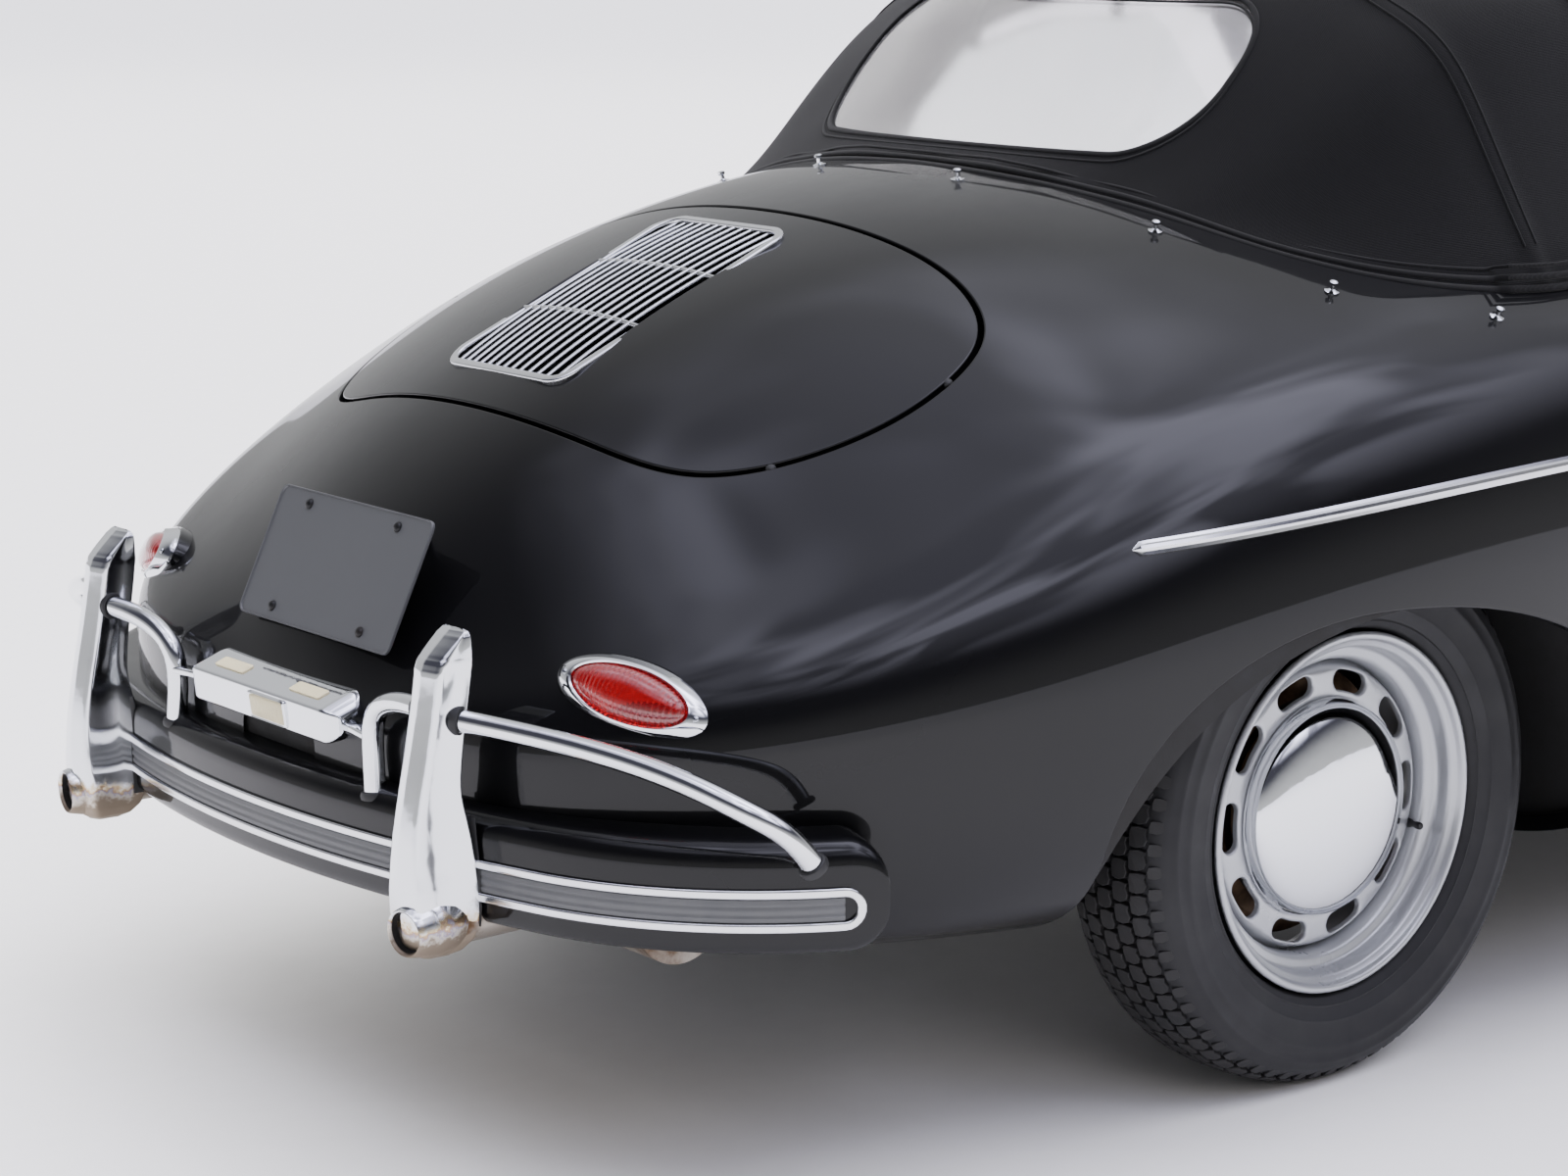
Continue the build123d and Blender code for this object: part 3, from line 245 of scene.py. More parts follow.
@dataclass(frozen=True)
class Cloth(Finish):
    """Woven cotton canvas in plain weave, crossed threads with lint between them."""

    thread_mm: float = 1.6
    second: str = "0b0b0c"
    sheen: float = 0.25

    def dress(self, tree: Tree, shader: Node, where: Socket) -> None:
        """Crosses two sets of ribs, mottles the colour and adds lint as sheen.

        The threads are drawn a little coarser than real double-texture canvas, so that they show.
        """
        turns = WAVE_TURN_MM / self.thread_mm
        across, along = (
            add_node(tree, "ShaderNodeTexWave", {"Vector": where, "Scale": turns, "Distortion": 0.35,
                                                 "Detail": 1.0, "Detail Scale": 2.0},
                     bands_direction=way, wave_profile="SIN") for way in "XY")
        weave = add_node(tree, "ShaderNodeMath", {0: across.outputs["Fac"], 1: along.outputs["Fac"]},
                         operation="MULTIPLY")
        cloud = add_node(tree, "ShaderNodeTexNoise", {"Vector": where, "Scale": 9.0, "Detail": 6.0, "Roughness": 0.65})
        lint = add_node(tree, "ShaderNodeTexNoise", {"Vector": where, "Scale": 420.0, "Detail": 3.0})
        mix = add_node(tree, "ShaderNodeMath", {0: cloud.outputs["Fac"], 1: lint.outputs["Fac"]}, operation="MULTIPLY")
        tone = add_node(tree, "ShaderNodeMapRange", {"Value": mix.outputs["Value"], "From Min": 0.12,
                                                    "From Max": 0.38})
        self.tint(tree, shader, tone, self.second)
        shader.inputs["Sheen Weight"].default_value = self.sheen
        shader.inputs["Sheen Roughness"].default_value = 0.5
        self.bump(tree, shader, weave.outputs["Value"], self.thread_mm * 0.00022, 0.8)


@dataclass(frozen=True)
class Moulding(Finish):
    """Moulded rubber or plastic: matt, with a fine grain from the tool and a grey bloom where it ages."""

    grain_mm: float = 0.9
    bloom: str = "3a3a3b"
    bloom_share: float = 0.35

    def dress(self, tree: Tree, shader: Node, where: Socket) -> None:
        """Mixes in the bloom by a cloudy noise and adds the grain as bump."""
        cloud = self.vary_roughness(tree, shader, where, 22.0, 0.08)
        share = add_node(tree, "ShaderNodeMapRange", {"Value": cloud.outputs["Fac"], "From Min": 0.35,
                                                     "From Max": 0.75, "To Min": 0.0,
                                                     "To Max": self.bloom_share})
        self.tint(tree, shader, share, self.bloom)
        grain = add_node(tree, "ShaderNodeTexNoise", {"Vector": where, "Scale": 1000.0 / self.grain_mm, "Detail": 2.0})
        self.bump(tree, shader, grain.outputs["Fac"], self.grain_mm * 0.00012, 0.6)


@dataclass(frozen=True)
class Lens(Finish):
    """Pressed clear or dyed glass and acrylic: light passes, and the back is fluted to spread it."""

    transmission: float = 1.0
    flute_mm: float = 0.0

    def dress(self, tree: Tree, shader: Node, where: Socket) -> None:
        """Lets light through and, on a lamp, ribs the surface across the car."""
        shader.inputs["Transmission Weight"].default_value = self.transmission
        haze = add_node(tree, "ShaderNodeTexNoise", {"Vector": where, "Scale": 30.0, "Detail": 3.0})
        height = haze.outputs["Fac"]
        depth = 0.0002
        if self.flute_mm:
            ribs = add_node(tree, "ShaderNodeTexWave", {"Vector": where, "Scale": WAVE_TURN_MM / self.flute_mm,
                                                       "Distortion": 0.0},
                            bands_direction="Y", wave_profile="SIN")
            height = ribs.outputs["Fac"]
            depth = self.flute_mm * 0.0004
        self.bump(tree, shader, height, depth, 0.5)


@dataclass(frozen=True)
class Hide(Finish):
    """Grained upholstery leather: pebbles of about two millimetres with creases between, worn paler in patches."""

    pebble_mm: float = 2.2
    worn: str = "a98a62"

    def dress(self, tree: Tree, shader: Node, where: Socket) -> None:
        """Raises the pebbles with cells, and mottles the colour towards the worn one."""
        cells = add_node(tree, "ShaderNodeTexVoronoi", {"Vector": where, "Scale": 1000.0 / self.pebble_mm})
        cloud = self.vary_roughness(tree, shader, where, 14.0, 0.1)
        share = add_node(tree, "ShaderNodeMapRange", {"Value": cloud.outputs["Fac"], "From Min": 0.4,
                                                     "From Max": 0.8, "To Min": 0.0, "To Max": 0.6})
        self.tint(tree, shader, share, self.worn)
        self.bump(tree, shader, cells.outputs["Distance"], self.pebble_mm * 0.0001, 0.7)


@dataclass(frozen=True)
class Castings(Finish):
    """Sand-cast or weathered bare metal: grainy, dull, stained by heat and road dirt."""

    stain: str = "4a3524"
    grain_mm: float = 1.2
    stain_from: float = 0.5

    def dress(self, tree: Tree, shader: Node, where: Socket) -> None:
        """Blends the stain in patches and roughens the metal there."""
        cloud = self.vary_roughness(tree, shader, where, 18.0, 0.15)
        share = add_node(tree, "ShaderNodeMapRange", {"Value": cloud.outputs["Fac"],
                                                     "From Min": self.stain_from,
                                                     "From Max": self.stain_from + 0.18})
        self.tint(tree, shader, share, self.stain)
        grain = add_node(tree, "ShaderNodeTexNoise", {"Vector": where, "Scale": 1000.0 / self.grain_mm, "Detail": 3.0})
        self.bump(tree, shader, grain.outputs["Fac"], self.grain_mm * 0.0003, 0.7)


@dataclass(frozen=True)
class HeatStainedChrome(Plating):
    """Chrome plate cooked by the exhaust: bright above, straw, violet and rusty soot round the outlet."""

    clean_z: float = 0.350
    burnt_z: float = 0.262

    def dress(self, tree: Tree, shader: Node, where: Socket) -> None:
        """Runs a ramp of temper colours down the height, broken up by noise, with rust specks."""
        super().dress(tree, shader, where)
        axes = add_node(tree, "ShaderNodeSeparateXYZ", {"Vector": where})
        smoke = add_node(tree, "ShaderNodeTexNoise", {"Vector": where, "Scale": 38.0, "Detail": 8.0, "Roughness": 0.7})
        level = add_node(tree, "ShaderNodeMapRange", {"Value": axes.outputs["Z"], "From Min": self.clean_z,
                                                     "From Max": self.burnt_z, "To Min": -0.25, "To Max": 0.95})
        broken = add_node(tree, "ShaderNodeMath", {0: smoke.outputs["Fac"], 1: 0.9, 2: level.outputs["Result"]},
                          operation="MULTIPLY_ADD")
        ramp = add_node(tree, "ShaderNodeValToRGB", {"Fac": broken.outputs["Value"]})
        stops = [(0.66, self.colour), (0.76, "cdbb98"), (0.80, "a98a6a"), (0.84, "9a94a6"), (0.90, "c9c2b6"),
                 (1.0, "8f8272")]
        bar = ramp.color_ramp
        for i, (place, tint) in enumerate(stops):
            stop = bar.elements[i] if i < 2 else bar.elements.new(place)
            stop.position = place
            stop.color = linear(tint)
        tree.links.new(ramp.outputs["Color"], shader.inputs["Base Color"])
        dull = add_node(tree, "ShaderNodeMapRange", {"Value": broken.outputs["Value"], "From Min": 0.6,
                                                    "From Max": 1.05, "To Min": self.roughness, "To Max": 0.62})
        tree.links.new(dull.outputs["Result"], shader.inputs["Roughness"])


# ------------------------------------------------------------------------------------------------ the finishes
BLACK_ENAMEL = GlossEnamel("gloss_black_enamel", "050506", 0.45, specular=0.06, coat=0.62, coat_roughness=0.03)
SILVER_ENAMEL = GlossEnamel("silver_wheel_enamel", "a9abaf", 0.30, metallic=0.55, coat=0.6,
                            coat_roughness=0.12, peel_mm=6.0)
CHROME = Plating("chrome_plated_steel", "dfe1e5", 0.055, metallic=1.0)
EXHAUST_CHROME = HeatStainedChrome("heat_stained_chrome", "dfe1e5", 0.09, metallic=1.0)
BRIGHT_ALUMINIUM = Plating("polished_aluminium", "d9dadd", 0.16, metallic=1.0, wave_mm=60.0)
CANVAS = Cloth("black_cotton_canvas", "08080a", 0.95, second="050506", sheen=0.06, specular=0.15, space=Space.UV)
CANVAS_TAPE = Cloth("black_cotton_binding", "060607", 0.9, thread_mm=1.2, second="0b0b0c", sheen=0.08, specular=0.2)
LINING = Cloth("wool_headlining", "8d8473", 0.95, second="756d5f", space=Space.UV)
VINYL = Lens("clear_vinyl_sheet", "e9e7ea", 0.07, transmission=0.92)
GLASS = Lens("toughened_glass", "f1f6f4", 0.01)
RED_LENS = Lens("red_pressed_glass", "d0141f", 0.06, ior=1.49, transmission=0.85, coat=1.0, coat_roughness=0.03,
                flute_mm=5.0)
AMBER_LENS = Lens("amber_pressed_glass", "e0861c", 0.12, ior=1.49, transmission=0.8, flute_mm=3.0)
CLEAR_LENS = Lens("fluted_clear_glass", "f3f5f2", 0.05, flute_mm=9.0)
CREAM_LENS = Lens("frosted_cream_acrylic", "efe2b8", 0.35, ior=1.49, transmission=0.35, flute_mm=4.0)
TYRE_RUBBER = Moulding("tyre_rubber", "101012", 0.72, bloom="1d1d1f", bloom_share=0.5)
TREAD_RUBBER = Moulding("worn_tread_rubber", "0e0e0f", 0.66, bloom="272422", bloom_share=0.55)
SEAL_RUBBER = Moulding("black_seal_rubber", "101011", 0.62, bloom="262627")
GREY_RUBBER = Moulding("grey_bumper_rubber", "4d4e50", 0.6, bloom="6b6b6b")
BAKELITE = Moulding("ivory_bakelite", "d8cba6", 0.28, bloom="b9a77c", bloom_share=0.4, coat=0.5)
UNDERSEAL = Moulding("bitumen_underseal", "131313", 0.85, grain_mm=3.0, bloom="24211e")
PLATE_ENAMEL = GlossEnamel("satin_grey_plate", "3a3b3e", 0.42, coat=0.2, coat_roughness=0.3)
LEATHER = Hide("grained_oxblood_hide", "6a1d15", 0.46, worn="7d2c20")
LEATHER_WELT = Hide("piped_oxblood_hide", "5a1812", 0.44, worn="702419", pebble_mm=1.4)
DIAL_PAINT = GlossEnamel("luminous_dial_paint", "dfe3c8", 0.6, coat=0.1)
CAST_ALLOY = Castings("cast_aluminium", "84868a", 0.5, metallic=0.9, stain="3c362f")
MUFFLER_STEEL = Castings("aluminised_steel", "9d958a", 0.45, metallic=0.85, stain="5d4630", stain_from=0.42)
DRUM_IRON = Castings("rusted_drum_iron", "6a533c", 0.7, metallic=0.4, stain="3d2a1b", stain_from=0.40)
AXLE_STEEL = Castings("painted_axle_steel", "1c1c1d", 0.55, metallic=0.3, stain="352c22")
SCREW_STEEL = Plating("zinc_plated_screw", "b6b9bf", 0.25, metallic=1.0)
BLACKED_SCREW = Castings("blackened_steel_fixings", "1a1a1b", 0.45, metallic=0.6, stain="2c231b")
# Near-black matt: real soot, and also painted shade for the tailpipe's dark bore
SOOT_AND_SHADE = Moulding("exhaust_soot_and_painted_shade", "0b0a09", 0.95, bloom="1d1612")
SILVERED_BOWL = Plating("silvered_lamp_bowl", "eceef0", 0.12, metallic=1.0)
LAMP_WHITE = GlossEnamel("white_lamp_reflector", "e8e4de", 0.35, coat=0.3)
HOOP_PAINT = GlossEnamel("black_hoop_paint", "0c0c0d", 0.5, coat=0.25, coat_roughness=0.2)
STUDIO_FLOOR = Moulding("pale_studio_floor", "f1f0f0", 0.6, grain_mm=2.0, bloom="ebeaea")


# ------------------------------------------------------------------------------------------------ meshes
def as_mesh(name: str, points: Array, faces: list[Array], finish: Finish, body: str, slot: str,
            normals: Array | None = None, uv: Array | None = None, smooth: bool = True,
            crease: float = 40.0) -> Piece:
    """Puts whole arrays of points and faces into a mesh object that rides on a body.

    Args:
        name: the piece's name.
        points: N by 3 corners in metres.
        faces: arrays of corner numbers, one array for triangles and one for quads.
        finish: the material.
        body: the CAD body that it moves with.
        slot: the record's material slot; not used.
        normals: one unit vector for each point, where the surface's own formula gives it.
        uv: one pair for each point.
        smooth: whether faces shade smoothly.
        crease: the angle in degrees past which an edge stays sharp, when normals aren't given.

    Returns:
        The object, at the origin.
    """
    if normals is None:
        points, faces = outward(points, faces)
    mesh = bpy.data.meshes.new(name)
    corners = np.concatenate([f.ravel() for f in faces if len(f)]).astype(np.int32)
    sizes = np.concatenate([np.full(len(f), f.shape[1]) for f in faces if len(f)])
    mesh.vertices.add(len(points))
    mesh.vertices.foreach_set("co", np.asarray(points, np.float32).ravel())
    mesh.loops.add(len(corners))
    mesh.loops.foreach_set("vertex_index", corners)
    mesh.polygons.add(len(sizes))
    mesh.polygons.foreach_set("loop_start", np.concatenate([[0], np.cumsum(sizes)[:-1]]).astype(np.int32))
    mesh.update(calc_edges=True)
    mesh.polygons.foreach_set("use_smooth", np.full(len(sizes), smooth))
    if uv is not None:
        layer = mesh.uv_layers.new(name="cloth")
        layer.data.foreach_set("uv", np.asarray(uv, np.float32)[corners].ravel())
    if normals is not None:
        mesh.normals_split_custom_set_from_vertices(normals.tolist())
    elif smooth:
        mesh.set_sharp_from_angle(angle=math.radians(crease))
    made = bpy.data.objects.new(name, mesh)
    bpy.context.scene.collection.objects.link(made)
    mesh.materials.append(finish.material())
    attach(made, body)
    return made


def unit(vectors: Array) -> Array:
    """Returns the vectors at length one."""
    return vectors / np.maximum(np.linalg.norm(vectors, axis=-1, keepdims=True), 1e-12)


def square_axes(axis: Array) -> tuple[Array, Array]:
    """Returns two unit vectors square to a unit axis and to each other."""
    first = unit(np.cross(axis, UP if abs(axis[2]) < 0.9 else AHEAD))
    return first, np.cross(axis, first)


def smoothed(values: Array, weights: Array, mode: str = "edge") -> Array:
    """Averages each value of a row with its neighbours.

    Args:
        values: the row.
        weights: an odd number of weights that add up to one.
        mode: "edge" for an open row, "wrap" for a closed one.

    Returns:
        As many values.
    """
    return np.convolve(np.pad(values, len(weights) // 2, mode=mode), weights, mode="valid")


def even_weights(count: int) -> Array:
    """Returns `count` equal weights."""
    return np.ones(count) / count


def read_vectors(items: bpy.types.bpy_prop_collection, name: str) -> Array:
    """Reads a property of three numbers from each item, as N by 3."""
    out = np.empty(len(items) * 3, np.float32)
    items.foreach_get(name, out)
    return out.reshape(-1, 3)


def grid_faces(rows: int, columns: int, wrap_rows: bool = False, wrap_columns: bool = False) -> Array:
    """Corner numbers of the quads of a grid, facing along row direction x column direction.

    Args:
        rows: points down the grid.
        columns: points across it.
        wrap_rows: whether the last row joins the first.
        wrap_columns: whether the last column joins the first.

    Returns:
        An array of quads.
    """
    i = np.arange(rows if wrap_rows else rows - 1)[:, None]
    j = np.arange(columns if wrap_columns else columns - 1)[None, :]
    i2, j2 = (i + 1) % rows, (j + 1) % columns
    quads = np.stack(np.broadcast_arrays(i * columns + j, i2 * columns + j, i2 * columns + j2, i * columns + j2), -1)
    return quads.reshape(-1, 4)


def outward(points: Array, faces: list[Array]) -> Part:
    """Turns a closed part inside out where its faces point inwards; an open part is left as it is.

    Args:
        points: the part's points.
        faces: its faces' corner numbers.

    Returns:
        The points and faces; a part is closed when each edge runs once each way.
    """
    keys = np.unique(np.round(points / 1e-6).astype(np.int64), axis=0, return_inverse=True)[1].ravel()
    edges, volume = [], 0.0
    for f in faces:
        corners, near = keys[f], points[f] - points[:1]
        edges.append(np.stack([corners, np.roll(corners, -1, axis=1)], -1).reshape(-1, 2))
        for k in range(1, f.shape[1] - 1):
            volume += float(np.einsum("nk,nk->", near[:, 0], np.cross(near[:, k], near[:, k + 1])))
    run = np.concatenate(edges).astype(np.int64)
    run = run[run[:, 0] != run[:, 1]]
    there, back = run[:, 0] * len(points) + run[:, 1], run[:, 1] * len(points) + run[:, 0]
    if volume >= 0 or not np.array_equal(np.sort(there), np.sort(back)):
        return points, faces
    return points, [f[:, ::-1] for f in faces]


def join_parts(parts: list[Part]) -> Part:
    """Lays several meshes end to end in one, renumbering their corners."""
    points, quads, triangles, start = [], [], [], 0
    for some, faces in (outward(*part) for part in parts):
        points.append(some)
        for f in faces:
            if len(f):
                (quads if f.shape[1] == 4 else triangles).append(f + start)
        start += len(some)
    faces = [np.concatenate(q) for q in (quads, triangles) if q]
    return np.concatenate(points), faces


def mirrored(part: Part) -> Part:
    """The same mesh on the car's other side, its faces turned so that they still point outwards."""
    points, faces = part
    return points * np.array([1.0, -1.0, 1.0]), [f[:, ::-1] for f in faces]


def both_sides(*parts: Part) -> Part:
    """Joins some parts and their twins on the car's other side."""
    return join_parts([*parts, *(mirrored(part) for part in parts)])


def lathe(profile: Array | list, centre: Array | list, axis: Array | list, segments: int = 96) -> Part:
    """Turns a profile round an axis.

    A point of the profile at radius r and height h stands at centre + h axis + r (cos a e1 + sin a e2).

    Args:
        profile: K by 2 of radius and height; a first or last radius of zero closes in a pole.
        centre: the axis's foot.
        axis: the axis's direction.
        segments: steps round.

    Returns:
        Points and faces, outwards where the profile runs with the metal on its left.
    """
    axis = unit(np.asarray(axis, float))
    e1, e2 = square_axes(axis)
    angle = np.linspace(0, 2 * math.pi, segments, endpoint=False)
    around = np.cos(angle)[:, None] * e1 + np.sin(angle)[:, None] * e2
    profile = np.asarray(profile, float)
    points = np.asarray(centre) + profile[None, :, 1, None] * axis + profile[None, :, 0, None] * around[:, None]
    faces = grid_faces(segments, len(profile), wrap_rows=True)
    return weld(points.reshape(-1, 3), [faces])


def weld(points: Array, faces: list[Array], grid: float = 1e-6) -> Part:
    """Merges points that fall in one place and drops the faces that this closes up."""
    keys = np.round(points / grid).astype(np.int64)
    _, first, back = np.unique(keys, axis=0, return_index=True, return_inverse=True)
    back = back.ravel()
    kept: list[Array] = []
    for f in faces:
        g = back[f]
        same = g == np.roll(g, 1, axis=1)
        whole = g[~same.any(1)]
        kept.append(whole)
        if f.shape[1] == 4:
            part = g[same.sum(1) == 1]
            mask = ~(part == np.roll(part, 1, axis=1))
            kept.append(part[mask].reshape(-1, 3))
    return points[first], [f for f in kept if len(f)]


def b_spline(points: Array | list, count: int) -> Array:
    """Samples the clamped cubic B-spline of some control points, a smooth line through both ends."""
    points = np.asarray(points, float)
    weights = clamped_weights(len(points), np.linspace(0, 1, count))
    return weights @ points


def interpolated(points: Array, first: Array, last: Array, steps: int = 24) -> Array:
    """Samples a twice-smooth curve through points, timed by chord length, with given end directions.

    Each span is a Hermite cubic; inner slopes solve the tridiagonal smoothness conditions, and an end
    slope has the length that a parabola through the three points there would have.

    Args:
        points: K by 2.
        first: direction at the first point.
        last: direction at the last point.
        steps: samples in each span.

    Returns:
        Samples from the first point to the last.
    """
    points = np.asarray(points, float)
    chord = np.hypot(*(points[1:] - points[:-1]).T)

    def end_speed(three: Array) -> float:
        time = np.concatenate([[0.0], np.cumsum(np.hypot(*(three[1:] - three[:-1]).T))])
        return float(np.hypot(*np.polyfit(time, three, 2)[-2]))

    count = len(points)
    system, right = np.eye(count), np.zeros((count, 2))
    right[0] = np.asarray(first) * end_speed(points[:3])
    right[-1] = np.asarray(last) * end_speed(points[-3:][::-1])
    for i in range(1, count - 1):
        before, after = chord[i - 1], chord[i]
        system[i, i - 1:i + 2] = after, 2 * (before + after), before
        right[i] = 3 * (before * (points[i + 1] - points[i]) / after + after * (points[i] - points[i - 1]) / before)
    slope = np.linalg.solve(system, right)
    t = np.linspace(0, 1, steps, endpoint=False)[None, :, None]
    p0, p1, h = points[:-1, None], points[1:, None], chord[:, None, None]
    curve = ((2 * t**3 - 3 * t**2 + 1) * p0 + (t**3 - 2 * t**2 + t) * h * slope[:-1, None]
             + (3 * t**2 - 2 * t**3) * p1 + (t**3 - t**2) * h * slope[1:, None])
    return np.concatenate([curve.reshape(-1, 2), points[-1:]])


def clamped_weights(count: int, u: Array) -> Array:
    """Weights of `count` control points of a clamped, evenly knotted cubic B-spline at each u in 0..1."""
    degree = 3
    knots = np.concatenate([np.zeros(degree), np.linspace(0, 1, count - degree + 1), np.ones(degree)])
    u = np.clip(np.asarray(u, float), 0, 1 - 1e-12)
    weights = ((knots[:-1, None] <= u) & (u < knots[1:, None])).astype(float)
    for d in range(1, degree + 1):
        raised = np.zeros((len(weights) - 1, len(u)))
        for i in range(len(raised)):
            left, right = knots[i + d] - knots[i], knots[i + d + 1] - knots[i + 1]
            if left > 0:
                raised[i] += (u - knots[i]) / left * weights[i]
            if right > 0:
                raised[i] += (knots[i + d + 1] - u) / right * weights[i + 1]
        weights = raised
    return weights.T


def looped_weights(count: int, t: Array) -> Array:
    """Weights of a closed, evenly knotted cubic B-spline of `count` control points, t in 0..count."""
    t = np.asarray(t, float)
    i = np.floor(t).astype(int)
    f = t - i
    parts = [(1 - f)**3 / 6, (3 * f**3 - 6 * f**2 + 4) / 6, (-3 * f**3 + 3 * f**2 + 3 * f + 1) / 6, f**3 / 6]
    weights = np.zeros((len(t), count))
    for k, part in enumerate(parts):
        np.add.at(weights, (np.arange(len(t)), (i + k - 1) % count), part)
    return weights


def ribbon(path: Array, section: Array, up: Array, closed_path: bool = False, cap: bool = True,
           scale: Array | None = None) -> Part:
    """Carries a closed section along a path.

    A section point (a, b) stands at path + a side + b lift, where lift is `up` made square to the path and
    side is path direction x lift.

    Args:
        path: M by 3 points.
        section: K by 2, turning anticlockwise seen with side to the right and lift up.
        up: the direction that the section's b axis leans towards, one for all or one a point.
        closed_path: whether the path ends where it starts.
        cap: whether to close the two ends with a fan.
        scale: a factor on the section at each path point.

    Returns:
        Points and faces.
    """
    path, section = np.asarray(path, float), np.asarray(section, float)
    if closed_path:
        ahead = np.roll(path, -1, axis=0) - np.roll(path, 1, axis=0)
    else:
        ahead = np.gradient(path, axis=0)
    ahead = unit(ahead)
    up = np.broadcast_to(np.asarray(up, float), path.shape)
    lift = unit(up - (up * ahead).sum(1, keepdims=True) * ahead)
    side = np.cross(ahead, lift)
    size = np.ones(len(path)) if scale is None else np.asarray(scale, float)
    rings = (path[:, None] + size[:, None, None] * (section[None, :, 0, None] * side[:, None]
                                                     + section[None, :, 1, None] * lift[:, None]))
    rows, columns = rings.shape[:2]
    quads = grid_faces(rows, columns, wrap_rows=closed_path, wrap_columns=True)
    points = rings.reshape(-1, 3)
    faces = [quads]
    if cap and not closed_path:
        middle = np.stack([rings[0].mean(0), rings[-1].mean(0)])
        j = np.arange(columns)
        k = (j + 1) % columns
        first = np.stack([np.full(columns, len(points)), j, k], 1)
        end = (rows - 1) * columns
        last = np.stack([np.full(columns, len(points) + 1), end + k, end + j], 1)
        points = np.concatenate([points, middle])
        faces.append(np.concatenate([first, last]))
    return points, faces


def circle(radius: float, count: int = 20) -> Array:
    """Points round a circle, anticlockwise."""
    angle = np.linspace(0, 2 * math.pi, count, endpoint=False)
    return radius * np.stack([np.cos(angle), np.sin(angle)], 1)


def rounded(corners: list[tuple[float, float, float]], steps: int = 5) -> Array:
    """Rounds the corners of a closed outline.

    Each corner is x, y and a radius, taken anticlockwise; its arc is a quadratic blend between the two
    points where it leaves the sides.

    Args:
        corners: the outline's corners.
        steps: points on each rounding.

    Returns:
        The outline's points.
    """
    out = []
    spots = np.array([c[:2] for c in corners], float)
    for i, (_, _, radius) in enumerate(corners):
        here, before, after = spots[i], spots[i - 1], spots[(i + 1) % len(spots)]
        to_before, to_after = unit(before - here), unit(after - here)
        if radius <= 0:
            out.append(here[None])
            continue
        reach = min(radius, 0.49 * np.linalg.norm(before - here), 0.49 * np.linalg.norm(after - here))
        a, b = here + reach * to_before, here + reach * to_after
        t = np.linspace(0, 1, steps)[:, None]
        out.append((1 - t)**2 * a + 2 * t * (1 - t) * here + t**2 * b)
    return np.concatenate(out)


def bar_section(half_width: float, low: float, high: float, low_round: float, high_round: float,
                steps: int = 5) -> Array:
    """A flat bar's section, its two lower and two upper corners rounded alike."""
    return rounded([(-half_width, low, low_round), (half_width, low, low_round), (half_width, high, high_round),
                    (-half_width, high, high_round)], steps)


def superellipse(power: float, count: int) -> tuple[Array, Array]:
    """Cosine and sine raised to 2 / power, which squares or sharpens the circle that they draw."""
    angle = np.linspace(0, 2 * math.pi, count, endpoint=False)
    c, s = np.cos(angle), np.sin(angle)
    return np.sign(c) * np.abs(c)**(2 / power), np.sign(s) * np.abs(s)**(2 / power)


